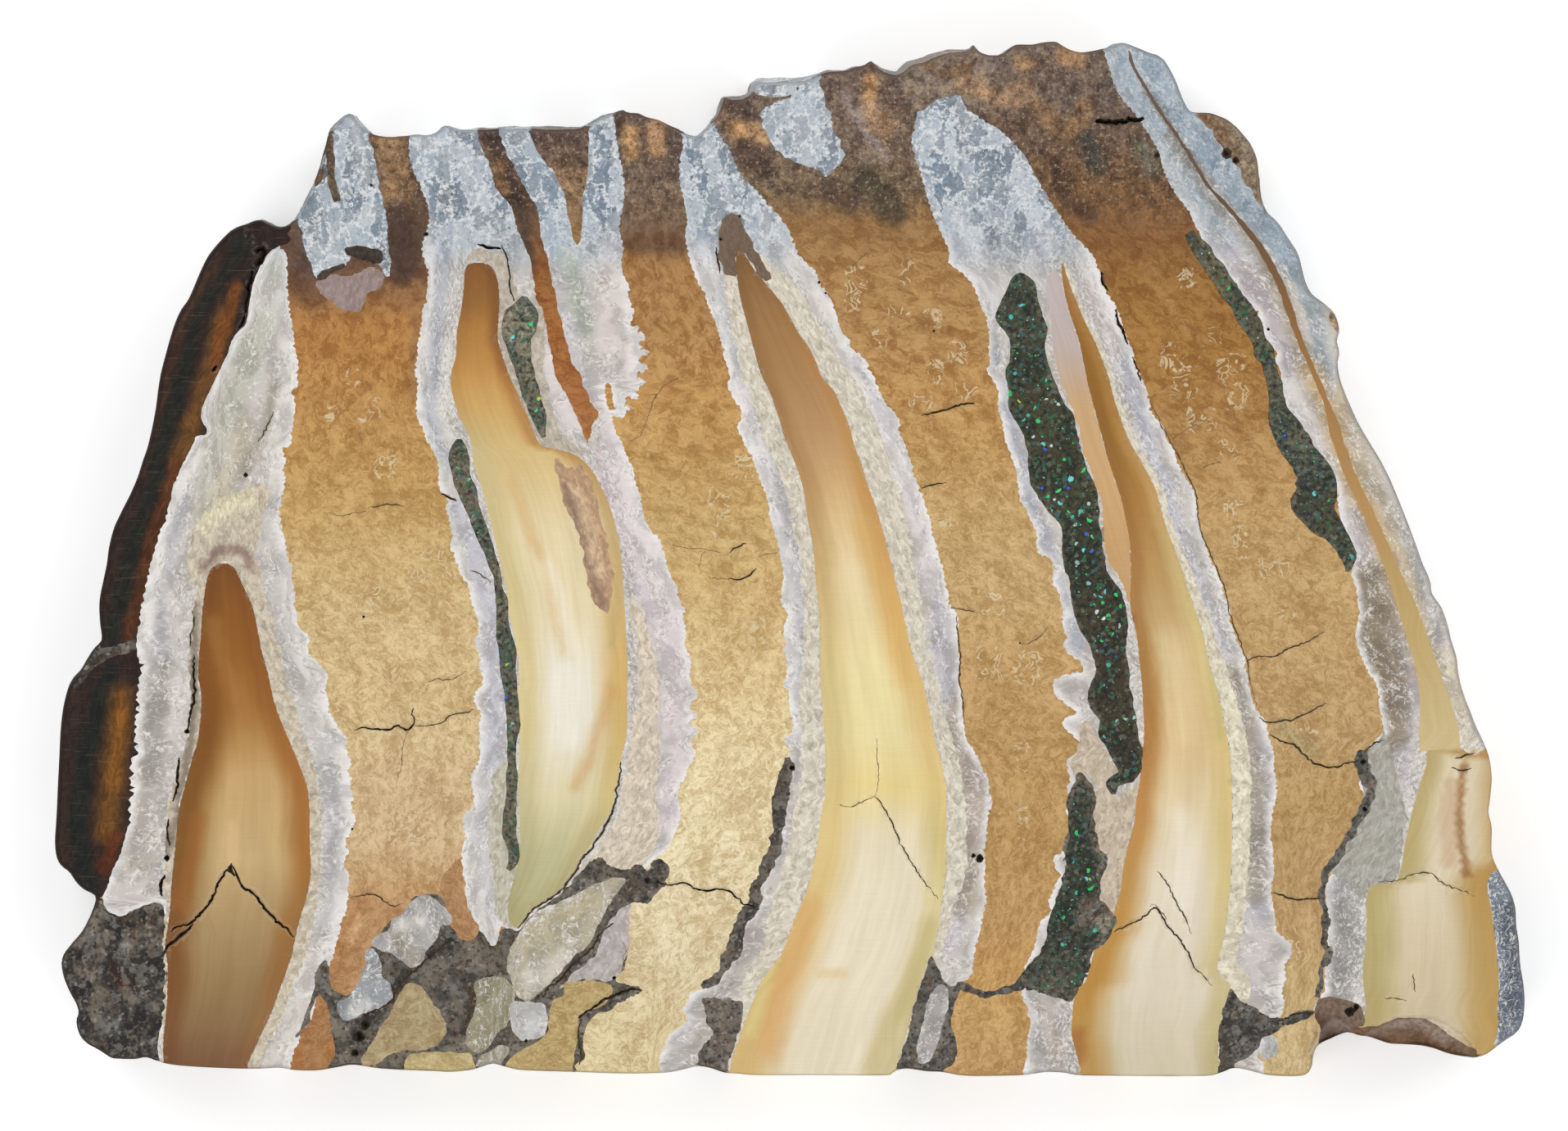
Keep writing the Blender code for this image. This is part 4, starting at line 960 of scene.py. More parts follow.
# ------------------------------------------------------------------ cracks and holes
# points, half width in steps, depth in millimetres
CRACKS = [
    ([(283, 1054), (276, 1064), (268, 1077), (259, 1096), (252, 1106), (245, 1115), (238, 1123),
      (230, 1129), (218, 1132), (209, 1137)], 2.5, 0.45),
    ([(236, 1128), (226, 1138), (214, 1148), (205, 1156), (199, 1166)], 3.2, 0.45),
    ([(283, 1056), (290, 1070), (297, 1084), (309, 1091), (320, 1105), (331, 1118),
      (340, 1127), (350, 1134), (358, 1144)], 2.4, 0.45),
    ([(283, 1056), (281, 1064), (286, 1068)], 4.5, 0.4),
    ([(402, 626), (415, 630), (425, 628), (436, 626), (447, 624)], 0.9, 0.12),
    ([(449, 620), (460, 619), (470, 617), (482, 616), (487, 616), (494, 620)], 1.1, 0.15),
    ([(523, 832), (536, 829), (551, 830), (563, 823), (569, 818)], 0.9, 0.12),
    ([(519, 843), (524, 834), (531, 829)], 0.7, 0.08),
    ([(432, 892), (440, 889), (452, 889), (463, 890), (474, 891), (481, 887), (487, 886),
      (493, 889), (499, 891), (504, 886), (506, 880), (503, 872), (504, 865)], 1.9, 0.4),
    ([(506, 886), (514, 887), (524, 885), (538, 883), (546, 877), (553, 873), (568, 870),
      (579, 866)], 1.2, 0.2),
    ([(499, 892), (494, 903), (491, 915), (491, 928), (489, 941), (485, 951),
      (484, 962)], 0.8, 0.12),
    ([(427, 1096), (438, 1094), (447, 1092), (460, 1093), (467, 1098), (474, 1104),
      (482, 1106), (492, 1102)], 1.4, 0.2),
    ([(829, 460), (818, 467), (807, 475), (798, 490), (792, 507), (787, 520), (782, 531),
      (768, 539)], 0.8, 0.12),
    ([(820, 665), (832, 668), (844, 670), (861, 671), (879, 675)], 0.7, 0.1),
    ([(861, 672), (856, 680), (854, 692)], 0.7, 0.1),
    ([(866, 706), (878, 707), (891, 708)], 0.8, 0.1),
    ([(925, 680), (936, 677), (948, 675)], 0.7, 0.1),
    ([(890, 675), (898, 669), (911, 664)], 1.6, 0.25),
    ([(889, 706), (900, 708), (908, 707), (918, 700), (923, 694)], 1.6, 0.25),
    ([(800, 1074), (807, 1079), (820, 1081), (832, 1078), (840, 1080), (847, 1084),
      (856, 1087), (864, 1088), (872, 1086), (882, 1086), (891, 1089), (901, 1097),
      (908, 1104), (918, 1105), (927, 1112)], 1.8, 0.45),
    ([(1070, 902), (1071, 927), (1072, 945), (1072, 959), (1068, 972)], 0.9, 0.12),
    ([(1025, 982), (1037, 985), (1049, 981), (1059, 976), (1070, 974), (1076, 982),
      (1083, 993), (1091, 1009), (1101, 1033), (1107, 1043), (1113, 1053), (1120, 1064),
      (1127, 1075), (1136, 1086), (1146, 1097)], 1.25, 0.22),
    ([(1040, 328), (1048, 318), (1056, 310), (1064, 302)], 0.7, 0.08),
    ([(1125, 508), (1136, 504), (1146, 502), (1160, 499), (1172, 494), (1190, 492)], 2.2, 0.28),
    ([(1125, 596), (1138, 592), (1155, 589)], 1.4, 0.2),
    ([(1160, 742), (1178, 745), (1197, 749)], 1.1, 0.1),
    ([(1244, 786), (1260, 784), (1281, 766)], 0.8, 0.1),
    ([(1413, 1064), (1424, 1078), (1434, 1097), (1446, 1120), (1455, 1141)], 1.3, 0.2),
    ([(1360, 1138), (1372, 1132), (1384, 1126), (1396, 1120), (1404, 1112), (1410, 1108),
      (1417, 1116), (1424, 1128), (1433, 1139), (1442, 1150), (1449, 1162), (1456, 1178),
      (1464, 1187), (1472, 1195), (1479, 1204)], 1.5, 0.3),
    ([(1404, 1107), (1408, 1104), (1418, 1114), (1424, 1122)], 1.0, 0.15),
    ([(1431, 536), (1442, 529), (1453, 522), (1476, 510)], 0.8, 0.1),
    ([(1468, 571), (1480, 566), (1490, 563)], 0.8, 0.1),
    ([(1520, 808), (1535, 801), (1548, 802), (1557, 801), (1572, 792), (1591, 786),
      (1606, 778), (1616, 771)], 1.4, 0.18),
    ([(1537, 876), (1547, 882), (1560, 881), (1567, 879), (1576, 880), (1586, 876),
      (1601, 868), (1619, 858)], 1.6, 0.2),
    ([(1550, 897), (1560, 903), (1569, 907), (1580, 910), (1590, 920), (1601, 930),
      (1612, 935), (1622, 937), (1636, 935), (1648, 930), (1658, 931)], 1.9, 0.25),
    ([(1665, 920), (1672, 912), (1680, 906), (1690, 904)], 1.5, 0.2),
    ([(1552, 1090), (1566, 1094), (1580, 1098), (1596, 1098), (1616, 1096)], 1.7, 0.22),
    ([(1559, 1248), (1574, 1241), (1588, 1237), (1603, 1237)], 1.8, 0.25),
    ([(1683, 1077), (1698, 1076), (1712, 1074), (1720, 1069), (1730, 1067), (1742, 1065),
      (1750, 1068), (1757, 1076), (1769, 1083), (1784, 1087), (1799, 1095)], 1.1, 0.16),
    ([(1725, 1189), (1727, 1211)], 1.2, 0.08),
    ([(1690, 1219), (1704, 1219), (1717, 1222)], 1.1, 0.08),
    ([(758, 930), (757, 945), (754, 960), (751, 979), (748, 992), (742, 1003), (735, 1016),
      (726, 1031), (718, 1040), (710, 1050), (704, 1062), (697, 1072), (686, 1086),
      (674, 1096), (660, 1104), (650, 1112), (642, 1122), (632, 1133)], 2.4, 0.25),
    ([(749, 1127), (740, 1134), (731, 1142), (726, 1152), (720, 1161), (710, 1168),
      (706, 1172), (698, 1178), (691, 1186), (684, 1196), (676, 1202), (668, 1208),
      (662, 1220)], 2.0, 0.3),
    ([(706, 1243), (716, 1236), (726, 1229), (736, 1222), (743, 1218), (754, 1214),
      (765, 1209), (776, 1207), (783, 1210)], 3.0, 0.4),
    ([(709, 1246), (706, 1260), (707, 1275), (710, 1290), (707, 1300)], 1.8, 0.25),
    ([(760, 1150), (764, 1158), (762, 1168), (765, 1180)], 0.9, 0.1),
    ([(553, 1147), (540, 1156), (526, 1168), (514, 1178), (502, 1188), (492, 1198),
      (484, 1208), (478, 1222), (466, 1230), (450, 1238), (436, 1246)], 1.8, 0.25),
    ([(577, 1200), (576, 1218), (573, 1236), (568, 1254), (562, 1270)], 1.4, 0.15),
    ([(538, 603), (544, 605), (550, 609), (557, 612)], 2.4, 0.3),
    ([(573, 696), (580, 699), (590, 704), (600, 712)], 1.2, 0.15),
    ([(1337, 149), (1346, 148), (1356, 149), (1370, 148), (1384, 146), (1395, 144)], 5.6, 0.9),
    ([(312, 309), (318, 303), (322, 307), (318, 316), (312, 326)], 7.0, 0.8),
    ([(308, 330), (306, 342), (304, 350), (302, 362), (301, 372), (299, 384)], 5.6, 0.8),
    ([(299, 384), (296, 393), (290, 402)], 2.2, 0.6),
    ([(265, 446), (262, 449), (259, 455)], 3.0, 0.5),
    ([(308, 298), (304, 289), (300, 281), (297, 273)], 1.0, 0.2),
    ([(122, 790), (114, 793), (106, 803), (98, 815), (88, 826)], 1.2, 0.2),
    ([(583, 298), (590, 300), (600, 303), (612, 303)], 2.6, 0.5),
    ([(612, 300), (618, 312), (621, 330), (622, 348), (625, 362), (628, 374)], 1.6, 0.3),
    ([(874, 302), (876, 318), (879, 334)], 1.8, 0.25),
    ([(1510, 361), (1516, 372), (1522, 386), (1528, 400)], 2.0, 0.3),
    ([(1587, 324), (1590, 336)], 1.4, 0.2),
    ([(1799, 920), (1786, 924), (1776, 926)], 1.6, 0.2),
    ([(1796, 938), (1784, 941), (1772, 937)], 1.6, 0.2),
    ([(1344, 332), (1346, 345), (1352, 355)], 2.6, 0.35),
    ([(1361, 378), (1364, 390), (1370, 404), (1376, 420)], 2.8, 0.35),
    ([(1382, 436), (1388, 450), (1392, 466)], 2.0, 0.3),
    ([(1404, 489), (1412, 506), (1424, 530), (1436, 552), (1450, 582), (1460, 604),
      (1464, 640), (1474, 668), (1486, 696), (1496, 724), (1502, 752), (1512, 780),
      (1522, 806), (1526, 832), (1534, 862)], 1.3, 0.15),
    ([(1168, 752), (1169, 775), (1172, 800), (1171, 825), (1174, 850), (1177, 880)], 1.6, 0.15),
    ([(237, 800), (236, 820), (238, 840), (236, 858), (231, 878), (229, 895)], 2.6, 0.4),
    ([(234, 745), (237, 760), (233, 776), (232, 792)], 1.5, 0.2),
    ([(219, 925), (217, 945), (216, 962), (211, 978)], 2.6, 0.4),
    ([(206, 1000), (204, 1018), (207, 1033)], 2.4, 0.35),
    ([(201, 1068), (196, 1082), (198, 1094)], 3.6, 0.5),
    ([(334, 502), (328, 516), (321, 531), (315, 539)], 1.6, 0.15),
]
HOLES = [
    (204, 1048, 5.2, 0.8), (228, 893, 4.0, 0.4), (430, 1012, 2.0, 0.2), (444, 753, 2.2, 0.25),
    (1497, 188, 9.0, 0.6), (1508, 196, 6.0, 0.5), (592, 152, 5.0, 0.5),
    (1648, 1235, 8.5, 0.5), (1655, 1230, 5.0, 0.4),
    (300, 580, 4.0, 0.2),
    (967, 938, 5.0, 0.5), (1196, 1048, 7.0, 0.4), (1188, 1045, 4.0, 0.3), (1000, 345, 2.6, 0.2),
    (1008, 358, 2.2, 0.2), (903, 264, 2.4, 0.2), (880, 292, 2.6, 0.3), (695, 300, 1.0, 0.1),
    (1381, 949, 5.0, 0.3), (438, 1266, 9.0, 0.6), (446, 1252, 7.0, 0.5), (434, 1286, 6.0, 0.5),
    (1664, 930, 5.0, 0.4), (1666, 988, 4.0, 0.4), (520, 286, 4.0, 0.4), (453, 226, 2.6, 0.25),
    (1548, 402, 3.0, 0.2), (642, 1271, 3.0, 0.2), (1245, 785, 1.6, 0.1), (790, 1075, 5.0, 0.3),
    (1140, 404, 2.0, 0.15), (382, 222, 4.0, 0.3), (1412, 190, 5.0, 0.3),
    (750, 1194, 3.4, 0.3),
]
deep = []  # x, y, depth in millimetres, half width
for n, (points, half, down) in enumerate(CRACKS):
    r = np.random.default_rng(500 + n)
    half *= 0.62
    line = even(spline(points, 5, False), 3.6, False)
    line = line + np.where((np.arange(len(line)) % len(line) == 0)[:, None], 0,
                           r.normal(0, 0.5 + 0.12 * half, line.shape))
    taper = np.sin(np.linspace(0.12, math.pi - 0.12, len(line))) ** 0.35
    wide = half * taper * r.uniform(0.7, 1.3, len(line))
    both = np.column_stack([line, np.maximum(wide, 0.42)])
    side = left_normals(both, False)
    poly = np.vstack([both[:, :2] + side * both[:, 2:], (both[:, :2] - side * both[:, 2:])[::-1]])
    area(f"crack_{n}", "crack", poly)
    deep += [(x, y, down * min(1.0, w / half), w) for x, y, w in both[1:-1]]
for n, (x, y, radius, down) in enumerate(HOLES):
    r = np.random.default_rng(900 + n)
    radius *= 0.78
    count = max(7, int(radius * 2.2))
    turn = np.arange(count) * 2 * math.pi / count
    size = radius * r.uniform(0.75, 1.2, count)
    area(f"hole_{n}", "hole", np.stack([x + size * np.cos(turn), y + size * np.sin(turn)], 1))
    deep.append((x, y, down, radius))
deep = np.array(deep)
print("areas", len(areas), "borders", len(lines))
# ------------------------------------------------------------------ the face, triangulated
TOP = THICK


def winding(xy, poly):
    """Which points lie inside a closed outline."""
    inside_ = np.zeros(len(xy), bool)
    a, b = poly[:, :2], np.roll(poly[:, :2], -1, 0)
    for (ax, ay), (bx, by) in zip(a, b):
        if ay == by:
            continue
        hit = (ay > xy[:, 1]) != (by > xy[:, 1])
        x = ax + (xy[:, 1] - ay) * (bx - ax) / (by - ay)
        inside_ ^= hit & (xy[:, 0] < x)
    return inside_


def mask_of(poly):
    m = np.zeros((TALL * FINE, WIDE * FINE), bool)
    rows, cols, mask = inside(poly)
    m[rows, cols] = mask
    return m


def hexes(low, high, pitch, jitter, r):
    rows = np.arange(low[1], high[1], pitch * 0.866)
    cols = np.arange(low[0], high[0], pitch)
    x, y = np.meshgrid(cols, rows)
    x = x + (np.arange(len(rows)) % 2)[:, None] * pitch / 2
    p = np.stack([x.ravel(), y.ravel()], 1)
    return p + r.uniform(-jitter, jitter, p.shape) * pitch


def plane(outer, holes, borders, free, pitch, clear, near_loop, seed):
    """Triangles of a face with holes.

    Returns points, triangles with what each belongs to (0 the face, k its kth hole), and
    the rows of the points that make the outer loop and each hole's loop."""
    r = np.random.default_rng(seed)
    loops = [outer] + holes
    ring = np.vstack([l[:, :2] for l in loops])
    starts = np.cumsum([0] + [len(l) for l in loops])
    points = [tuple(p) for p in ring]
    edges = []
    for s, l in zip(starts, loops):
        edges += [(s + i, s + (i + 1) % len(l)) for i in range(len(l))]
    fine_ring = np.vstack([np.vstack([l[:, :2] * (1 - t) + np.roll(l[:, :2], -1, 0) * t
                                      for t in (0.0, 0.34, 0.67)]) for l in loops])
    ring_tree = tree_of(fine_ring)
    body = mask_of(outer)
    in_hole = np.zeros(body.shape, np.uint8)
    for k, h in enumerate(holes):
        in_hole[mask_of(h)] = k + 1
    index = {}

    def far_from_ring(p):
        return ring_tree.find((p[0], p[1], 0.0))[2] > near_loop

    good = {}

    def usable(p):
        key = (round(p[0] * 16), round(p[1] * 16))
        if key not in good:
            q = arr([p])
            good[key] = bool(0 < p[0] < WIDE and 0 < p[1] < TALL and look_up(body, q)[0]
                             and not look_up(in_hole, q)[0] and far_from_ring(p))
        return good[key]

    def number(p):
        key = (round(p[0] * 16), round(p[1] * 16))
        if key not in index:
            index[key] = len(points)
            points.append((float(p[0]), float(p[1])))
        return index[key]

    for line, loop in borders:
        p = line[:, :2]
        q = np.roll(p, -1, 0) if loop else p[1:]
        p = p if loop else p[:-1]
        d = q - p
        size = np.maximum(np.hypot(d[:, 0], d[:, 1]), 1e-9)
        n = np.stack([d[:, 1], -d[:, 0]], 1) / size[:, None]
        mid = (p + q) / 2
        differ = look_up(chart, mid + n * 0.7) != look_up(chart, mid - n * 0.7)
        for a, b, keep in zip(p, q, differ):
            if keep and usable(a) and usable(b):
                i, j = number(a), number(b)
                if i != j:
                    edges.append((i, j))
    for p in free:
        if usable(p):
            number(p)
    made = tree_of(points)
    low, high = ring.min(0), ring.max(0)
    grid = hexes(low, high, pitch, 0.16, r)
    grid = grid[look_up(body, grid) & (look_up(in_hole, grid) == 0)]
    grid = [p for p in grid if made.find((p[0], p[1], 0.0))[2] > clear
            and ring_tree.find((p[0], p[1], 0.0))[2] > clear]
    first_hole_point = len(points) + len(grid)
    fill_grid = hexes(low, high, pitch, 0.16, r)
    fill_grid = fill_grid[look_up(in_hole, fill_grid) > 0]
    fill_grid = [p for p in fill_grid if ring_tree.find((p[0], p[1], 0.0))[2] > clear]
    points += [tuple(p) for p in grid] + [tuple(p) for p in fill_grid]
    out = delaunay_2d_cdt([Vector(p) for p in points], edges, [], 0, 0.005, True)
    xy = arr([(v.x, v.y) for v in out[0]])
    tris = np.array([f for f in out[2] if len(f) == 3], int)
    source = out[3]
    new_of = {}
    kind = np.full(len(xy), -1)
    for new, olds in enumerate(source):
        for old in olds:
            new_of[old] = new
            if old >= starts[-1]:
                kind[new] = 1 if old >= first_hole_point else 0
        if not olds:
            kind[new] = 0
    for old in range(starts[-1]):
        kind[new_of[old]] = -1
    rings = [np.array([new_of[i] for i in range(a, b)]) for a, b in zip(starts, starts[1:])]
    k = kind[tris]
    owner = np.full(len(tris), -1)
    owner[(k == 0).any(1)] = 0
    centre = xy[tris].mean(1)
    in_fill = (k == 1).any(1)
    owner[in_fill] = look_up(in_hole, centre[in_fill])
    lost = in_fill & (owner == 0)
    open_ = np.flatnonzero((owner < 0) | lost)
    c = centre[open_]
    side = np.where(winding(c, outer), 0, -1)
    for n, h in enumerate(holes):
        side[winding(c, h)] = n + 1
    owner[open_] = side
    tris, owner = tris[owner >= 0], owner[owner >= 0]
    area2 = ((xy[tris[:, 1], 0] - xy[tris[:, 0], 0]) * (xy[tris[:, 2], 1] - xy[tris[:, 0], 1])
             - (xy[tris[:, 2], 0] - xy[tris[:, 0], 0]) * (xy[tris[:, 1], 1] - xy[tris[:, 0], 1]))
    turn = area2 > 0  # y runs down, so this order faces away from the eye
    tris[turn] = tris[turn][:, ::-1]
    return xy, tris, owner, rings


def wander(xy, size, seed, octaves=1):
    """Smooth seeded noise from -1 to 1 over x and y."""
    total, weight = np.zeros(len(xy)), 0.0
    for o in range(octaves):
        r = np.random.default_rng(seed + 97 * o)
        table = r.uniform(-1, 1, (64, 64))
        p = xy / (size / 2**o) + 13.7 * (o + 1)
        i = np.floor(p).astype(int)
        f = p - i
        f = f * f * (3 - 2 * f)
        a, b = i[:, 0] % 64, i[:, 1] % 64
        a1, b1 = (a + 1) % 64, (b + 1) % 64
        v = (table[a, b] * (1 - f[:, 0]) + table[a1, b] * f[:, 0]) * (1 - f[:, 1]) + (
            table[a, b1] * (1 - f[:, 0]) + table[a1, b1] * f[:, 0]) * f[:, 1]
        total += v / 2**o
        weight += 1 / 2**o
    return total / weight


holes = [fill_loops[n] for n in fill_loops]
f_xy, f_tri, f_owner, f_rings = plane(face_edge, holes, lines, deep[:, :2], 6.7, 2.8, 2.0, 5)
print("front", len(f_xy), len(f_tri))

area_kind = np.array([KINDS.index(a[1]) for a in areas])


def kind_at(xy):
    return area_kind[look_up(chart, xy)]


loop_tree = tree_of(np.vstack([face_edge, (face_edge + np.roll(face_edge, -1, 0)) / 2]))
deep_tree = tree_of(deep[:, :2])


CAP_AREAS = [i for i, a in enumerate(areas) if a[0].startswith("cap")]


def front_height(xy):
    """How far the polished face stands below its plane, in metres."""
    kind = kind_at(xy)
    n1, n2, n3 = wander(xy, 26, 1, 2), wander(xy, 11, 2, 2), wander(xy, 60, 3)
    low = 0.004 + 0.003 * n3
    for name, base, swing in (("lining", 0.030, 0.040), ("matrix", 0.035, 0.060),
                              ("enamel", 0.004, 0.006), ("cementum", 0.004, 0.006),
                              ("dentine", 0.0, 0.001), ("rim", 0.0, 0.003),
                              ("crack", 0.01, 0.0), ("hole", 0.05, 0.03),
                              ("broken", 0.05, 0.10)):
        here = kind == KINDS.index(name)
        low = np.where(here, low + base + swing * (0.6 * n2 + 0.4 * n1), low)
    crust = smooth(-xy[:, 1], -235, -110) * (kind != KINDS.index("dentine"))
    low = low + crust * (0.035 + 0.05 * n2 + 0.03 * n1)
    on_cap = np.isin(look_up(chart, xy), CAP_AREAS)
    low = low + on_cap * np.clip(0.10 + 0.14 * n2 + 0.08 * n1, 0, 1)
    edge_near = np.array([loop_tree.find((x, y, 0.0))[2] for x, y in xy])
    low = low + 0.05 * np.clip(1 - edge_near / 9.0, 0, 1) ** 2
    for i, (x, y) in enumerate(xy):
        _, j, d = deep_tree.find((x, y, 0.0))
        if d < 0.6:
            low[i] = max(low[i], deep[j, 2])
    for (cx, cy), rx, ry in SCOOPS:
        q = 1 - ((xy[:, 0] - cx) / rx) ** 2 - ((xy[:, 1] - cy) / ry) ** 2
        low = low + 2.75 * np.sqrt(np.clip(q, 0, 1)) * (1 + 0.08 * n2)
    return np.maximum(low, 0.002) * 1e-3


# ------------------------------------------------------------------ one closed body
def to_world(xy, z):
    return np.column_stack([(xy[:, 0] - MID_X) * STEP, (MID_Y - xy[:, 1]) * STEP, z])


front = f_owner == 0
used = np.unique(f_tri[front])
new_row = np.full(len(f_xy), -1)
new_row[used] = np.arange(len(used))
v_pos = [to_world(f_xy[used], TOP - front_height(f_xy[used]))]
v_see = [f_xy[used]]  # where each vertex looks up its tissue
tri_parts = [new_row[f_tri[front]]]
v_zone = [np.zeros(len(used))]  # 0 face, 1 wall, 2 back
count = len(used)

centre_xy = outline.mean(0)
in_way = -out_way
PROFILE = [  # height, how far in from the outline (mm), swing of the rough wall (mm)
    (0.994, 0.060, 0.0), (0.975, 0.022, 0.03), (0.93, 0.0, 0.10), (0.85, 0.0, 0.18),
    (0.76, 0.0, 0.22), (0.66, 0.0, 0.24), (0.56, 0.0, 0.26), (0.46, 0.0, 0.26),
    (0.36, 0.0, 0.26), (0.26, 0.0, 0.24), (0.16, 0.0, 0.20), (0.07, 0.02, 0.12),
    (0.02, 0.07, 0.04)]
run = np.concatenate([[0], np.cumsum(np.hypot(*np.diff(np.vstack([outline, outline[0]]), axis=0).T))])[:-1]
crown_here = smooth(-outline[:, 1], -330, -150)
wall_rows = []
for level, inset, swing in PROFILE:
    z = level * THICK
    lift = max(0.0, level - 0.62) / 0.38
    at_z = np.column_stack([run, np.full(len(run), z / STEP)])
    n = 0.6 * wander(at_z, 34, 21, 2) + 0.4 * wander(at_z, 14, 22, 2)
    amount = inset + swing * np.clip(0.42 + 0.62 * n, 0, 1.2) * (0.6 + 0.7 * crown_here)
    move = amount / MM + crown * lift * (0.9 if level > 0.9 else 1.0)
    xy = outline + in_way * move[:, None]
    for (cx, cy), rx, ry in SCOOPS:
        q = 1 - ((xy[:, 0] - cx) / rx) ** 2 - ((xy[:, 1] - cy) / ry) ** 2
        z_top = TOP - 2.75e-3 * np.sqrt(np.clip(q, 0, 1))
        z = np.minimum(z, z_top * (0.9 + 0.1 * level))
    z = np.broadcast_to(z, len(xy)).astype(float)
    drift = wander(np.column_stack([run, np.full(len(run), 150 * level)]), 60, 23, 2) * 26 * (1 - level)
    along = np.stack([-out_way[:, 1], out_way[:, 0]], 1)
    see = outline + in_way * (FACE_IN + 4 + crown * lift)[:, None] + along * drift[:, None]
    v_pos.append(to_world(xy, z))
    v_see.append(see)
    v_zone.append(np.ones(len(xy)))
    wall_rows.append(np.arange(count, count + len(xy)))
    count += len(xy)

# back face: the same tissues as the face, looked up at the same x and y
back_edge = outline + in_way * (0.16 / MM)
back_lines = []
for line, loop in lines[:60]:
    step = 3
    back_lines.append((line[::step], loop))
back_holes = [h.copy() for h in holes]
b_xy, b_tri, b_owner, b_rings = plane(back_edge, back_holes, back_lines, [], 12.5, 5.5, 4.0, 6)
back = b_owner == 0
used_b = np.unique(b_tri[back])
row_b = np.full(len(b_xy), -1)
row_b[used_b] = np.arange(len(used_b)) + count
bx = b_xy[used_b]
saw_marks = 0.012 * np.sin((bx[:, 0] * 0.35 + bx[:, 1] * 0.94) / 7.0) + 0.02 * wander(bx, 30, 31, 2)
edge_b = np.isin(used_b, np.concatenate(b_rings))
v_pos.append(to_world(bx, np.where(edge_b, 0.0, np.clip(0.02 + saw_marks, 0, 0.06)) * 1e-3))
v_see.append(bx)
v_zone.append(np.full(len(bx), 2.0))
tri_parts.append(row_b[b_tri[back]][:, ::-1])
count += len(bx)
print("back", len(bx), back.sum())


def strips(upper, lower):
    """Triangles between two rings of the same count, upper ring first."""
    n = len(upper)
    i = np.arange(n)
    j = (i + 1) % n
    a, b, c, d = upper[i], upper[j], lower[j], lower[i]
    odd = (i % 2 == 0)[:, None]
    one = np.where(odd, np.stack([a, d, b], 1), np.stack([a, d, c], 1))
    two = np.where(odd, np.stack([b, d, c], 1), np.stack([a, c, b], 1))
    return np.vstack([one, two])


rows = [new_row[f_rings[0]]] + wall_rows + [row_b[b_rings[0]]]
wall_tri = np.vstack([strips(u, l) for u, l in zip(rows, rows[1:])])
hole_tri = np.vstack([strips(new_row[f_rings[k + 1]], row_b[b_rings[k + 1]])
                      for k in range(len(holes))])
tri_parts += [wall_tri, hole_tri]
pos = np.vstack(v_pos)
see = np.vstack(v_see)
zone = np.concatenate(v_zone)


def face_out(tri, at, way):
    """Turns triangles so that each faces the way given at its centre."""
    a, b, c = at[tri[:, 0]], at[tri[:, 1]], at[tri[:, 2]]
    n = np.cross(b - a, c - a)
    wrong = np.einsum("ij,ij->i", n, way) < 0
    tri = tri.copy()
    tri[wrong] = tri[wrong][:, ::-1]
    return tri


def consistent(tri):
    """Is each edge used once each way?"""
    e = np.concatenate([tri[:, [0, 1]], tri[:, [1, 2]], tri[:, [2, 0]]])
    key = e[:, 0] * 10_000_000 + e[:, 1]
    back_key = e[:, 1] * 10_000_000 + e[:, 0]
    return len(np.unique(key)) == len(key) and np.array_equal(np.sort(key), np.sort(back_key))


tri = np.vstack(tri_parts)
if not consistent(tri):
    for flip_wall in (False, True):
        for flip_hole in (False, True):
            trial = np.vstack([tri_parts[0], tri_parts[1],
                               wall_tri[:, ::-1] if flip_wall else wall_tri,
                               hole_tri[:, ::-1] if flip_hole else hole_tri])
            if consistent(trial):
                tri = trial
print("closed", consistent(tri), "triangles", len(tri), "points", len(pos))
a, b, c = pos[tri[:, 0]], pos[tri[:, 1]], pos[tri[:, 2]]
if np.einsum("ij,ij->i", a, np.cross(b, c)).sum() < 0:
    tri = tri[:, ::-1]
tri_area = look_up(chart, see[tri].mean(1))
tri_zone = zone[tri].max(1)
# ------------------------------------------------------------------ colour of each tissue
def ramp(y, stops):
    ys = [s[0] for s in stops]
    return np.stack([np.interp(y, ys, [s[1][k] for s in stops]) for k in range(3)], 1)


def x_at(line, y):
    s = line[np.argsort(line[:, 1], kind="stable")]
    return np.interp(y, s[:, 1], s[:, 0])


def blend(a, b, f):
    f = np.clip(f, 0, 1)[:, None]
    return a * (1 - f) + np.asarray(b, float) * f


CEM_A = [(300, (92, 68, 50)), (345, (124, 86, 56)), (368, (150, 106, 62)), (400, (176, 122, 62)),
         (450, (180, 130, 68)), (500, (186, 139, 78)), (560, (190, 149, 86)),
         (620, (196, 158, 96)), (700, (205, 174, 118)), (780, (210, 182, 130)),
         (850, (210, 182, 130)), (900, (212, 186, 136)), (960, (206, 176, 130)),
         (1020, (206, 176, 130)), (1080, (194, 156, 108)), (1130, (182, 136, 84)),
         (1200, (185, 125, 70)), (1290, (170, 115, 65))]
CEM_B = [(160, (100, 80, 66)), (220, (112, 92, 76)), (280, (122, 96, 72)), (296, (104, 76, 54)),
         (312, (156, 114, 66)), (330, (168, 124, 72)), (400, (174, 130, 76)),
         (480, (190, 144, 82)), (560, (194, 154, 92)), (640, (200, 166, 106)),
         (700, (204, 170, 110)), (760, (210, 180, 124)), (820, (218, 190, 136)),
         (900, (226, 204, 154)), (980, (228, 208, 162)), (1050, (226, 207, 162)),
         (1170, (220, 202, 160)), (1240, (214, 194, 148)), (1300, (218, 198, 150))]
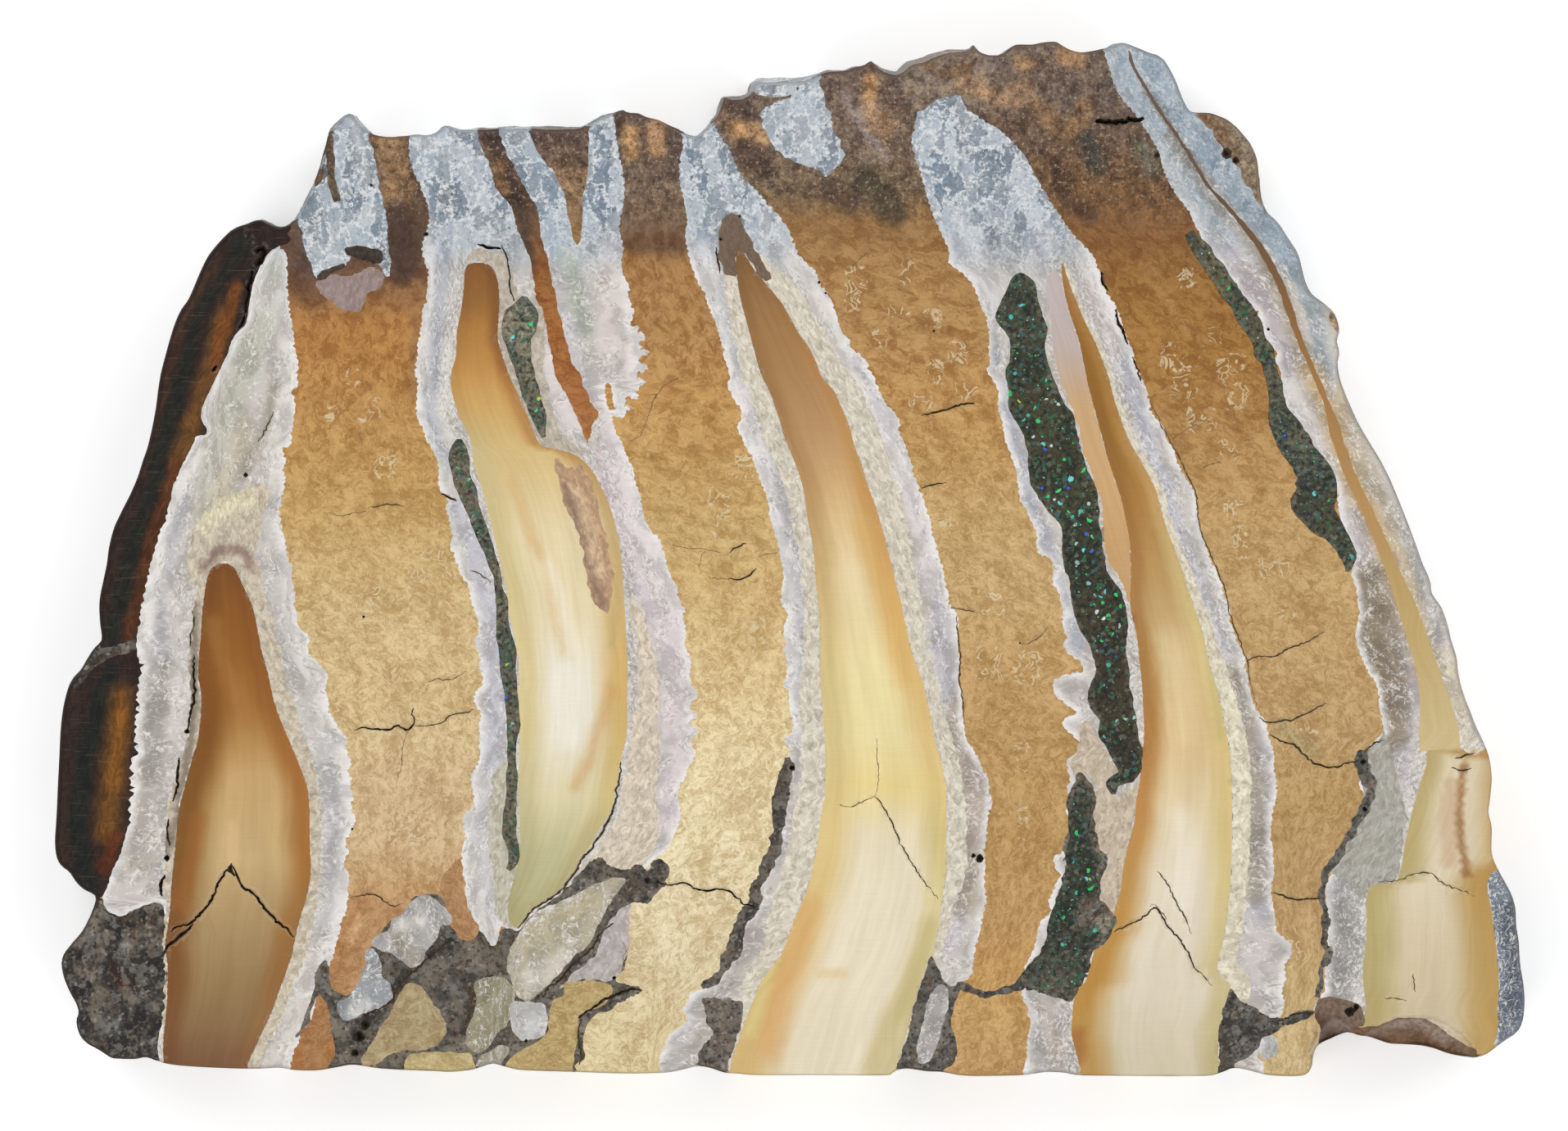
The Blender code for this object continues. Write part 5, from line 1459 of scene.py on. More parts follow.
CEM_C = [(70, (98, 80, 68)), (130, (112, 92, 78)), (200, (120, 100, 80)), (240, (114, 94, 70)),
         (272, (150, 112, 66)), (330, (170, 128, 76)), (400, (176, 134, 80)),
         (480, (186, 142, 82)), (560, (192, 152, 92)), (640, (198, 164, 108)),
         (720, (198, 164, 110)), (800, (194, 156, 100)), (880, (188, 150, 94)),
         (960, (188, 150, 92)), (1040, (186, 148, 90)), (1120, (188, 148, 92)),
         (1180, (192, 148, 88)), (1240, (195, 155, 95)), (1300, (190, 150, 95))]
CEM_D = [(50, (112, 94, 80)), (120, (104, 86, 74)), (180, (104, 80, 60)), (230, (112, 80, 50)),
         (280, (134, 92, 50)), (340, (150, 106, 50)), (420, (162, 116, 54)),
         (500, (170, 126, 70)), (600, (188, 150, 94)), (680, (194, 158, 104)),
         (760, (192, 156, 102)), (840, (192, 156, 104)), (900, (190, 156, 104)),
         (980, (184, 148, 94)), (1060, (184, 150, 98)), (1120, (190, 156, 104)),
         (1200, (194, 164, 112)), (1290, (202, 176, 126))]
STRIP_RAMP = [(165, (85, 62, 55)), (200, (110, 80, 55)), (240, (80, 58, 42)), (280, (120, 85, 55)),
              (330, (142, 90, 44)), (400, (160, 100, 45)), (480, (165, 105, 55)),
              (530, (165, 110, 60))]
WEDGE_RAMP = [(160, (95, 75, 65)), (200, (105, 82, 66)), (214, (140, 110, 80)),
              (250, (142, 112, 78)), (300, (145, 110, 65))]

# rows of y, core, left edge and its width, right edge and its width
DENTINE_1 = [(690, (132, 82, 34), (120, 72, 28), 14, (122, 74, 30), 14),
             (750, (142, 88, 32), (128, 78, 28), 18, (136, 82, 32), 16),
             (800, (148, 93, 32), (134, 82, 28), 22, (142, 88, 34), 18),
             (860, (166, 114, 50), (132, 80, 28), 30, (154, 98, 42), 22),
             (900, (184, 138, 78), (130, 80, 30), 32, (162, 106, 48), 22),
             (950, (202, 166, 112), (130, 84, 32), 34, (166, 110, 50), 24),
             (1050, (202, 172, 122), (124, 84, 34), 32, (166, 112, 52), 24),
             (1100, (182, 152, 106), (128, 84, 38), 28, (158, 112, 58), 24),
             (1200, (152, 124, 82), (126, 82, 40), 26, (150, 106, 58), 24),
             (1250, (142, 112, 74), (126, 84, 48), 20, (148, 108, 66), 18),
             (1300, (126, 88, 58), (116, 74, 44), 18, (132, 90, 58), 18)]
DENTINE_2 = [(325, (140, 92, 46), (132, 86, 42), 10, (124, 78, 38), 10),
             (370, (154, 106, 52), (144, 98, 48), 12, (132, 86, 42), 10),
             (400, (178, 126, 62), (168, 118, 58), 12, (140, 90, 44), 10),
             (450, (196, 144, 78), (188, 138, 74), 14, (160, 106, 54), 12),
             (480, (206, 162, 94), (198, 154, 88), 16, (182, 130, 72), 14),
             (550, (218, 190, 130), (208, 188, 136), 22, (192, 144, 86), 16),
             (650, (230, 212, 170), (212, 194, 142), 20, (206, 174, 124), 16),
             (750, (236, 220, 180), (216, 198, 146), 22, (212, 178, 118), 26),
             (820, (238, 230, 210), (224, 206, 152), 26, (216, 180, 114), 30),
             (900, (238, 230, 210), (218, 202, 150), 26, (214, 182, 116), 26),
             (970, (226, 214, 174), (202, 190, 146), 22, (212, 192, 132), 24),
             (1040, (196, 190, 146), (184, 176, 132), 18, (190, 178, 130), 20),
             (1100, (184, 178, 134), (172, 164, 120), 14, (178, 166, 120), 14)]
DENTINE_3 = [(305, (134, 96, 58), (124, 88, 52), 8, (124, 88, 52), 8),
             (380, (158, 118, 72), (148, 108, 64), 10, (156, 114, 66), 10),
             (450, (172, 130, 84), (158, 116, 72), 14, (178, 130, 78), 12),
             (525, (188, 146, 100), (172, 130, 84), 16, (192, 146, 88), 14),
             (600, (216, 180, 128), (188, 148, 98), 20, (202, 154, 92), 18),
             (700, (236, 214, 168), (206, 176, 122), 22, (212, 166, 100), 26),
             (800, (240, 223, 168), (216, 194, 134), 26, (224, 186, 120), 28),
             (900, (238, 222, 166), (218, 200, 142), 28, (228, 198, 134), 26),
             (960, (236, 214, 146), (218, 194, 132), 28, (226, 200, 134), 24),
             (1020, (234, 221, 188), (224, 198, 136), 34, (214, 194, 132), 26),
             (1100, (234, 222, 194), (224, 196, 134), 36, (218, 204, 150), 22),
             (1200, (236, 223, 196), (214, 180, 118), 46, (214, 200, 152), 24),
             (1300, (234, 221, 193), (214, 182, 120), 48, (208, 194, 148), 24)]
DENTINE_4 = [(330, (160, 114, 54), (152, 108, 52), 8, (168, 122, 68), 8),
             (400, (154, 108, 42), (148, 102, 40), 10, (168, 122, 62), 9),
             (500, (152, 108, 42), (146, 102, 42), 12, (172, 126, 66), 11),
             (600, (172, 126, 62), (158, 112, 54), 14, (198, 158, 98), 13),
             (700, (188, 150, 92), (172, 126, 72), 16, (206, 180, 122), 16),
             (800, (214, 186, 136), (172, 126, 66), 18, (222, 198, 138), 18),
             (900, (222, 192, 140), (178, 128, 68), 20, (222, 196, 134), 20),
             (980, (228, 208, 168), (188, 136, 74), 22, (220, 196, 136), 22),
             (1080, (230, 218, 194), (192, 146, 80), 26, (216, 196, 138), 22),
             (1200, (224, 212, 188), (188, 140, 66), 38, (208, 194, 146), 22),
             (1300, (216, 204, 176), (186, 146, 82), 36, (192, 178, 130), 22)]
DENTINE_5 = [(900, (218, 204, 170), (190, 168, 116), 18, (188, 150, 88), 26),
             (960, (224, 210, 178), (190, 170, 118), 20, (184, 138, 76), 34),
             (1060, (222, 208, 178), (186, 168, 114), 26, (186, 146, 82), 34),
             (1150, (216, 200, 168), (186, 170, 116), 34, (188, 154, 92), 38),
             (1240, (210, 194, 162), (184, 166, 112), 34, (190, 156, 94), 38)]


def dentine(xy, rows, left, right):
    y = xy[:, 1]
    core, lc, rc = (ramp(y, [(r[0], r[k]) for r in rows]) for k in (1, 2, 4))
    lw, rw = (np.interp(y, [r[0] for r in rows], [r[k] for r in rows]) for k in (3, 5))
    wob = wander(xy * [1.0, 0.25], 14, 301, 2)
    dl = xy[:, 0] - x_at(left, y) + 2.5 * wob
    dr = x_at(right, y) - xy[:, 0] + 2.5 * wob
    out = blend(core, (0, 0, 0), np.zeros(len(xy)))
    out = out + (lc - out) * (1 - smooth(dl, lw * 0.35, lw * 1.7))[:, None]
    out = out + (rc - out) * (1 - smooth(dr, rw * 0.35, rw * 1.7))[:, None]
    wide = np.maximum(x_at(right, y) - x_at(left, y), 8)
    across = dl / wide
    streak = wander(np.stack([across * 90, y * 0.10], 1), 9, 302, 3)
    return out * (1 + 0.035 * streak)[:, None]


guide_lines = [arr(P1_LEFT), (arr(D1_LEFT), arr(D1_RIGHT)), arr(P1_RIGHT), arr(P2_LEFT),
               (arr(D2_LEFT), arr(D2_RIGHT)), arr(V_RIGHT), arr(P3_LEFT),
               (arr(D3_LEFT), arr(D3_RIGHT)), arr(P3_RIGHT), arr(P4_LEFT),
               (arr(D4_LEFT), arr(D4_RIGHT)), arr(P4_RIGHT), arr(P5_LEFT)]


def guide_at(k, y):
    g = guide_lines[k]
    return (x_at(g[0], y) + x_at(g[1], y)) / 2 if isinstance(g, tuple) else x_at(g, y)


GUIDE_U = [float(guide_at(k, np.array([700.0]))[0]) for k in range(len(guide_lines))]
for k in range(1, len(GUIDE_U)):
    GUIDE_U[k] = max(GUIDE_U[k], GUIDE_U[k - 1] + 20)


def flow_u(xy):
    """Position across the plates, straightened so that every plate runs along v."""
    y = xy[:, 1]
    g = [guide_at(k, y) for k in range(len(guide_lines))]
    for k in range(1, len(g)):
        g[k] = np.maximum(g[k], g[k - 1] + 6)
    u = GUIDE_U[0] + (xy[:, 0] - g[0])
    for k in range(len(g) - 1):
        here = xy[:, 0] >= g[k]
        t = (xy[:, 0] - g[k]) / (g[k + 1] - g[k])
        u = np.where(here, GUIDE_U[k] + t * (GUIDE_U[k + 1] - GUIDE_U[k]), u)
    return np.where(xy[:, 0] >= g[-1], GUIDE_U[-1] + xy[:, 0] - g[-1], u)


def cementum(xy):
    y = xy[:, 1]
    split_ab = (x_at(arr(P2_LEFT), y) + x_at(arr(V_RIGHT), y)) / 2
    split_bc = (x_at(arr(P3_LEFT), y) + x_at(arr(P3_RIGHT), y)) / 2
    split_cd = (x_at(arr(P4_LEFT), y) + x_at(arr(P4_RIGHT), y)) / 2
    out = ramp(y, CEM_A)
    for split, table in ((split_ab, CEM_B), (split_bc, CEM_C), (split_cd, CEM_D)):
        f = smooth(xy[:, 0] - split, -12, 12)[:, None]
        out = out * (1 - f) + ramp(y, table) * f
    return out


outer_tree = tree_of(np.vstack([p[:, :2] for p in (p1_left, p1_right, p2_left, v_right, p3_left,
                                                   p3_right, p4_left, p4_right, p5_left)]
                               + [arr(P2_FOOT)[:, :2]]))
inner_tree = tree_of(np.vstack([p[:, :2] for p in (d1_left, d1_right, d2_left, d2_right, d3_left,
                                                   d3_right, d4_left, d4_right, d5_left, d5_right)]))

FLAT = {  # areas of one colour
    "matrix_left": (41, 38, 35), "cap_ridge": (214, 212, 202),
    "cap_white": (214, 216, 216), "cap_brown": (92, 74, 58), "crown4": (128, 110, 94),
    "crust5": (138, 120, 98), "crust6": (164, 140, 112), "cap": (150, 165, 175), "cap_shadow": (68, 60, 54),
    "cap_shadow2": (78, 68, 60), "crystals": (150, 130, 125), "patch": (176, 182, 188),
    "patch_rim": (200, 197, 195), "slate": (104, 118, 136), "grit_low": (98, 92, 82),
    "tongue_a": (180, 136, 90), "tongue_b": (166, 120, 74), "tongue_c": (176, 134, 90),
    "frag_a": (152, 157, 162), "frag_b": (175, 172, 170), "frag_c": (172, 152, 112),
    "frag_d": (150, 145, 118), "frag_e": (190, 170, 118), "frag_e2": (165, 160, 140),
    "frag_f": (182, 174, 152), "frag_g": (200, 200, 198), "frag_h": (187, 162, 108),
    "frag_i": (180, 172, 168), "grit_top": (78, 72, 68), "grit_3l": (84, 77, 70),
    "grit_3m": (118, 108, 98), "grit_3r": (96, 92, 86), "frag_3r": (172, 168, 165),
    "grit_c": (84, 80, 72), "grit_4": (62, 62, 52), "grit_4m": (84, 80, 68),
    "frag_4": (182, 178, 175), "grit_5": (74, 72, 68), "frag_5": (180, 180, 176),
    "grit_p5": (92, 90, 84), "broken_a": (118, 98, 82), "broken_b": (118, 88, 62),
    "rim": (46, 35, 32), "tip3": (110, 90, 72), "wedge2": (185, 150, 115),
    "l1": (198, 186, 165), "l2": (186, 176, 160), "l2v": (212, 198, 178),
    "l2l": (190, 184, 166), "l3": (212, 203, 186), "l4": (216, 206, 184),
    "l4c": (150, 132, 118), "l4b": (196, 180, 158), "l5": (170, 166, 156),
}
FILL_TONE = (40, 42, 30)


def tint(name, kind, xy, warp):
    n = len(xy)
    y = xy[:, 1]
    if name in FLAT:
        return np.tile(arr(FLAT[name]), (n, 1))
    if name in ("cementum", "outside"):
        return cementum(warp)
    if name == "strip":
        return ramp(warp[:, 1], STRIP_RAMP)
    if name == "wedge":
        return ramp(warp[:, 1], WEDGE_RAMP)
    if name in ("d1", "d2", "d3", "d4", "d5"):
        table, left, right = {"d1": (DENTINE_1, D1_LEFT, D1_RIGHT),
                              "d2": (DENTINE_2, D2_LEFT, D2_RIGHT),
                              "d3": (DENTINE_3, D3_LEFT, D3_RIGHT),
                              "d4": (DENTINE_4, D4_LEFT, D4_RIGHT),
                              "d5": (DENTINE_5, D5_LEFT, D5_RIGHT)}[name]
        return dentine(xy, table, arr(left), arr(right))
    if name == "strip4":
        return ramp(y, [(336, (196, 182, 180)), (420, (194, 178, 172)), (500, (206, 168, 122)),
                        (600, (208, 168, 118)), (735, (200, 158, 108))])
    if name == "sliver":
        return ramp(y, [(60, (108, 90, 74)), (250, (104, 82, 62)), (330, (122, 90, 58)),
                        (450, (160, 116, 68)), (600, (184, 142, 88)), (750, (194, 166, 110)),
                        (915, (210, 190, 142))])
    # cracks: a pale local tone, blended darker the deeper the crack
    if kind == "crack":
        down = CRACKS[int(name[6:])][2]
        local = blend(cementum(xy), (170, 150, 120), np.full(n, 0.3))
        return blend(local, (54, 43, 34), np.full(n, min(0.96, 0.34 + down * 1.35)))
    if kind == "hole":
        return ramp(y, [(300, (72, 62, 54)), (420, (46, 38, 32))])
    if kind == "fill":
        return np.tile(arr(FILL_TONE), (n, 1))
    top = 1 - smooth(y, 250, 360)
    base = np.tile(arr((204, 199, 194)), (n, 1))
    return blend(base, (158, 170, 180), top * 0.85)
# ------------------------------------------------------------------ strokes of colour
# which kinds, colour, half width, softness, strength, points
CE, EN, LI, DE, RI, MA, BR = "cementum", "enamel", "lining", "dentine", "rim", "matrix", "broken"
STROKES = [
    # dark rim: blackish core line, amber inside it
    (RI, (34, 36, 32), 9, 5, 0.95, [(297, 292), (282, 322), (262, 350), (242, 381), (233, 408),
                                    (228, 440), (218, 475), (208, 512), (198, 544), (192, 572),
                                    (183, 608), (171, 640), (161, 670), (154, 697), (149, 727),
                                    (141, 756), (136, 780)]),
    (RI, (118, 80, 38), 9, 11, 0.85, [(278, 382), (268, 405), (264, 428), (256, 452), (246, 485),
                                     (236, 515), (226, 545), (218, 566)]),
    (RI, (118, 70, 30), 6, 5, 0.85, [(288, 352), (280, 378), (272, 404), (268, 432), (262, 455)]),
    (RI, (92, 52, 26), 8, 6, 0.75, [(216, 572), (206, 600), (196, 630), (186, 660), (178, 690),
                                    (172, 720), (164, 750), (158, 775)]),
    (RI, (104, 62, 34), 5, 4, 0.6, [(214, 560), (206, 590), (198, 615)]),
    (RI, (70, 46, 34), 6, 6, 0.55, [(262, 330), (240, 365), (222, 405), (210, 440), (198, 480),
                                    (188, 515), (178, 548), (168, 580)]),
    (RI, (78, 55, 40), 3, 3, 0.5, [(268, 312), (246, 345), (226, 385), (208, 420)]),
    (RI, (30, 34, 31), 10, 6, 0.95, [(136, 822), (122, 858), (112, 895), (104, 932), (99, 969),
                                     (94, 1006), (99, 1043), (109, 1080)]),
    (RI, (122, 80, 32), 11, 15, 0.85, [(148, 850), (146, 885), (142, 920), (138, 955),
                                      (134, 990), (130, 1015)]),
    (RI, (148, 96, 34), 4, 9, 0.7, [(147, 872), (145, 895), (142, 930), (139, 955)]),
    (RI, (98, 50, 22), 8, 6, 0.8, [(141, 1022), (134, 1045), (126, 1062)]),
    (RI, (52, 40, 34), 8, 6, 0.5, [(88, 850), (80, 900), (74, 960), (72, 1010), (80, 1060)]),
    # tooth plate one
    (EN, (206, 208, 200), 13, 8, 0.75, [(334, 322), (336, 350), (330, 380), (318, 410),
                                        (306, 440), (300, 470)]),
    (EN, (190, 190, 176), 15, 9, 0.85, [(316, 400), (306, 430), (296, 460), (286, 490),
                                        (274, 520), (270, 545)]),
    (EN, (198, 196, 182), 14, 8, 0.75, [(268, 540), (262, 570), (256, 600), (242, 620)]),
    (EN, (226, 224, 216), 7, 5, 0.85, [(344, 420), (350, 450), (348, 480), (340, 520),
                                       (330, 560), (326, 600)]),
    (EN, (205, 192, 160), 9, 7, 0.55, [(300, 520), (292, 560), (276, 590), (262, 620),
                                       (248, 640)]),
    (EN, (150, 142, 126), 5, 5, 0.6, [(336, 470), (328, 500), (320, 530), (308, 556),
                                      (300, 580)]),
    (EN, (236, 233, 230), 7, 5, 0.85, [(246, 556), (226, 590), (212, 625), (200, 660),
                                       (190, 700), (180, 745), (176, 790)]),
    (EN, (190, 190, 196), 7, 5, 0.8, [(228, 610), (216, 645), (206, 690), (198, 735),
                                      (194, 780), (190, 830), (186, 880), (180, 930)]),
    (EN, (236, 233, 232), 6, 5, 0.8, [(172, 800), (168, 850), (166, 900), (162, 950),
                                      (158, 1000), (150, 1050)]),
    (EN, (186, 187, 194), 8, 6, 0.75, [(206, 800), (200, 850), (196, 900), (188, 950),
                                       (180, 1000), (172, 1040)]),
    (EN, (232, 228, 226), 6, 5, 0.8, [(196, 700), (206, 740), (216, 790), (214, 830),
                                      (208, 880), (200, 930), (192, 980), (186, 1030)]),
    (EN, (228, 224, 220), 9, 6, 0.75, [(340, 640), (348, 690), (352, 740), (366, 790),
                                       (384, 830), (396, 880), (408, 920), (414, 960)]),
    (EN, (200, 196, 192), 7, 6, 0.7, [(326, 620), (330, 660), (334, 700), (342, 750),
                                      (352, 800), (366, 850), (378, 890)]),
    (EN, (188, 188, 190), 9, 6, 0.75, [(398, 900), (404, 950), (408, 1000), (404, 1050),
                                       (400, 1090), (392, 1130)]),
    (EN, (232, 229, 228), 6, 5, 0.8, [(424, 950), (422, 1000), (418, 1050), (416, 1100),
                                      (404, 1140), (394, 1180), (384, 1210)]),
    (EN, (222, 216, 208), 8, 6, 0.7, [(384, 1090), (380, 1140), (370, 1190), (360, 1230),
                                      (350, 1270), (340, 1300)]),
    # plate two
    (EN, (164, 176, 186), 10, 6, 0.85, [(512, 180), (520, 210), (530, 240), (540, 270),
                                        (540, 300)]),
    (EN, (224, 222, 218), 8, 6, 0.85, [(505, 188), (520, 176), (545, 190)]),
    (EN, (206, 208, 210), 12, 7, 0.85, [(570, 196), (580, 225), (590, 250), (596, 280)]),
    (EN, (120, 122, 100), 4, 4, 0.7, [(546, 225), (552, 245), (558, 262)]),
    (EN, (222, 220, 216), 8, 6, 0.8, [(530, 300), (530, 340), (526, 380), (520, 420),
                                      (520, 460)]),
    (EN, (178, 182, 192), 8, 5, 0.85, [(548, 250), (542, 290), (540, 330), (538, 370),
                                       (534, 400), (532, 430), (530, 470)]),
    (EN, (222, 220, 214), 7, 6, 0.8, [(552, 420), (548, 460), (544, 500), (552, 530)]),
    (EN, (190, 194, 202), 8, 5, 0.85, [(520, 480), (528, 510), (536, 540), (546, 570)]),
    (EN, (196, 197, 206), 11, 5, 0.92, [(560, 620), (572, 650), (582, 680), (590, 710),
                                        (598, 740), (602, 780), (606, 820), (606, 860),
                                        (604, 900), (600, 940)]),
    (EN, (228, 226, 226), 7, 5, 0.8, [(586, 900), (578, 950), (580, 1000), (584, 1050),
                                      (590, 1090), (604, 1130)]),
    (EN, (206, 204, 206), 9, 6, 0.75, [(600, 950), (590, 990), (592, 1040), (602, 1080),
                                       (610, 1120)]),
    (EN, (150, 170, 185), 10, 7, 0.8, [(660, 200), (672, 240), (678, 280), (684, 310)]),
    (EN, (176, 186, 170), 10, 7, 0.75, [(690, 310), (700, 340), (706, 370), (712, 400)]),
    (EN, (170, 182, 192), 9, 6, 0.85, [(742, 180), (736, 215), (730, 250), (724, 280)]),
    (EN, (222, 212, 210), 12, 7, 0.85, [(744, 300), (746, 340), (744, 380), (742, 420),
                                        (740, 450), (732, 480)]),
    (EN, (238, 230, 228), 7, 5, 0.85, [(764, 340), (768, 380), (772, 420), (774, 460)]),
    (EN, (198, 196, 200), 8, 6, 0.8, [(676, 340), (688, 380), (698, 420), (708, 460),
                                      (718, 490)]),
    (EN, (226, 218, 218), 8, 6, 0.85, [(664, 420), (676, 460), (688, 500), (706, 520)]),
    (EN, (232, 224, 226), 8, 5, 0.85, [(742, 520), (752, 560), (766, 600), (776, 640),
                                       (796, 680), (812, 720), (828, 760)]),
    (EN, (218, 204, 210), 9, 6, 0.85, [(736, 560), (748, 600), (760, 640), (772, 680),
                                       (784, 720), (800, 760), (816, 800)]),
    (EN, (222, 210, 214), 14, 8, 0.85, [(816, 760), (822, 800), (826, 850), (826, 900),
                                        (820, 950), (812, 1000)]),
    (EN, (206, 200, 196), 10, 7, 0.8, [(796, 850), (800, 900), (798, 950), (786, 1000),
                                       (772, 1040)]),
    # plate three
    (EN, (168, 182, 192), 11, 7, 0.85, [(848, 180), (852, 220), (856, 260), (862, 290)]),
    (EN, (212, 214, 216), 9, 6, 0.85, [(860, 180), (874, 200), (880, 240), (870, 270)]),
    (EN, (224, 222, 222), 8, 6, 0.85, [(858, 300), (870, 350), (882, 400), (896, 450)]),
    (EN, (186, 188, 196), 8, 6, 0.8, [(880, 350), (894, 400), (908, 440), (920, 490),
                                      (934, 540), (946, 590)]),
    (EN, (232, 228, 228), 7, 5, 0.88, [(902, 460), (914, 510), (930, 560), (944, 610),
                                       (956, 660), (960, 710)]),
    (EN, (190, 188, 196), 8, 6, 0.8, [(958, 600), (970, 650), (978, 700), (980, 750),
                                      (984, 800)]),
    (EN, (228, 226, 226), 6, 5, 0.8, [(962, 720), (966, 770), (970, 820), (972, 860)]),
    (EN, (176, 176, 182), 8, 6, 0.8, [(984, 800), (988, 850), (990, 900), (984, 950)]),
    (EN, (228, 224, 218), 8, 6, 0.85, [(930, 260), (946, 290), (966, 320), (990, 360),
                                       (1006, 390)]),
    (EN, (230, 226, 222), 9, 6, 0.85, [(1016, 410), (1038, 440), (1058, 480), (1074, 520),
                                       (1092, 560), (1104, 600)]),
    (EN, (198, 194, 200), 8, 5, 0.8, [(1046, 440), (1064, 470), (1080, 510), (1094, 540)]),
    (EN, (228, 222, 224), 8, 6, 0.85, [(1112, 600), (1122, 640), (1130, 680), (1136, 720)]),
    (EN, (206, 198, 188), 9, 6, 0.8, [(1086, 600), (1102, 650), (1114, 700), (1122, 760)]),
    (EN, (192, 190, 198), 10, 6, 0.85, [(1146, 740), (1150, 780), (1154, 820), (1160, 860)]),
    (EN, (222, 212, 218), 10, 6, 0.85, [(1176, 900), (1184, 940), (1188, 980), (1190, 1030)]),
    (EN, (196, 190, 196), 8, 6, 0.8, [(1168, 900), (1170, 950), (1174, 1000), (1176, 1060),
                                      (1172, 1110), (1162, 1160)]),
    (EN, (185, 182, 184), 12, 7, 0.8, [(842, 1205), (838, 1230), (826, 1260)]),
    (EN, (186, 180, 172), 10, 7, 0.8, [(924, 1110), (912, 1150), (898, 1190), (880, 1220),
                                       (850, 1280)]),
    # plate four
    (EN, (208, 212, 216), 12, 8, 0.85, [(1130, 160), (1150, 170), (1170, 190), (1180, 220)]),
    (EN, (150, 168, 185), 8, 5, 0.85, [(1140, 200), (1138, 220), (1144, 235)]),
    (EN, (120, 138, 155), 7, 5, 0.8, [(1164, 198), (1166, 210)]),
    (EN, (150, 158, 162), 10, 7, 0.7, [(1200, 190), (1214, 220), (1222, 250), (1232, 280)]),
    (EN, (108, 118, 128), 6, 5, 0.75, [(1208, 268), (1216, 282), (1212, 292)]),
    (EN, (216, 216, 216), 9, 6, 0.85, [(1160, 250), (1176, 280), (1190, 310), (1200, 340),
                                       (1210, 370)]),
    (EN, (165, 176, 188), 7, 5, 0.8, [(1184, 350), (1196, 380), (1206, 410), (1216, 440)]),
    (EN, (222, 222, 222), 9, 6, 0.85, [(1240, 210), (1254, 240), (1268, 270), (1282, 300)]),
    (EN, (196, 194, 198), 8, 5, 0.85, [(1260, 290), (1270, 320), (1280, 350)]),
    (EN, (186, 190, 202), 7, 5, 0.9, [(1226, 470), (1232, 510), (1244, 550), (1252, 590),
                                      (1262, 630)]),
    (EN, (184, 188, 202), 9, 5, 0.9, [(1268, 640), (1280, 680), (1292, 720), (1304, 760),
                                      (1314, 790)]),
    (EN, (196, 190, 188), 9, 6, 0.85, [(1310, 830), (1320, 860), (1310, 900)]),
    (EN, (206, 198, 196), 8, 6, 0.85, [(1312, 300), (1328, 340), (1344, 380), (1360, 420)]),
    (EN, (232, 229, 230), 6, 5, 0.85, [(1326, 320), (1346, 360), (1364, 400), (1380, 450),
                                       (1394, 500)]),
    (EN, (188, 190, 202), 8, 5, 0.88, [(1372, 440), (1388, 490), (1402, 540), (1420, 590),
                                       (1436, 640)]),
    (EN, (198, 196, 204), 10, 6, 0.9, [(1444, 660), (1460, 710), (1476, 760), (1492, 810),
                                       (1506, 860), (1520, 900)]),
    (EN, (190, 188, 198), 12, 6, 0.9, [(1536, 900), (1540, 950), (1540, 1000), (1538, 1060),
                                       (1532, 1120)]),
    (EN, (206, 200, 200), 14, 8, 0.85, [(1524, 1130), (1534, 1170), (1524, 1210)]),
    (EN, (190, 180, 170), 10, 8, 0.8, [(1270, 1230), (1284, 1260), (1296, 1300)]),
    # plate five
    (EN, (150, 165, 176), 10, 7, 0.9, [(1366, 70), (1380, 100), (1398, 130), (1414, 160),
                                       (1440, 200), (1470, 240)]),
    (EN, (186, 186, 184), 8, 6, 0.75, [(1420, 190), (1440, 230), (1462, 262), (1480, 290)]),
    (EN, (92, 72, 54), 4, 4, 0.7, [(1398, 104), (1420, 140), (1446, 176), (1478, 222),
                                   (1510, 258)]),
    (EN, (140, 158, 172), 12, 7, 0.9, [(1400, 70), (1420, 110), (1446, 150), (1476, 190),
                                       (1506, 230), (1534, 262), (1560, 296), (1580, 330)]),
    (EN, (160, 172, 180), 9, 6, 0.85, [(1590, 350), (1606, 390), (1612, 430), (1622, 470)]),
    (EN, (188, 180, 184), 10, 7, 0.85, [(1500, 310), (1520, 340), (1545, 378), (1562, 420),
                                        (1574, 460)]),
    (EN, (222, 216, 214), 8, 6, 0.85, [(1572, 470), (1584, 500), (1600, 530), (1612, 560)]),
    (EN, (170, 172, 178), 8, 6, 0.8, [(1626, 480), (1646, 520), (1664, 560), (1684, 600),
                                      (1704, 640), (1722, 690), (1740, 740), (1752, 780)]),
    (EN, (150, 132, 108), 8, 7, 0.6, [(1430, 166), (1474, 234), (1520, 286), (1554, 338),
                                      (1574, 390), (1592, 440)]),
    (EN, (196, 162, 112), 11, 11, 0.75, [(1600, 450), (1620, 500), (1640, 555), (1664, 615),
                                         (1688, 670), (1710, 730), (1730, 790), (1742, 850)]),
    (EN, (150, 140, 122), 12, 10, 0.7, [(1668, 740), (1684, 800), (1692, 860)]),
    (EN, (204, 184, 146), 8, 9, 0.6, [(1640, 470), (1640, 500), (1664, 560), (1690, 620),
                                      (1714, 690), (1734, 750), (1754, 820), (1768, 880)]),
    (EN, (214, 204, 180), 9, 7, 0.8, [(1768, 800), (1780, 850), (1790, 900), (1800, 930)]),
    (EN, (180, 172, 172), 14, 9, 0.85, [(1650, 640), (1670, 700), (1690, 760), (1704, 820),
                                        (1712, 870)]),
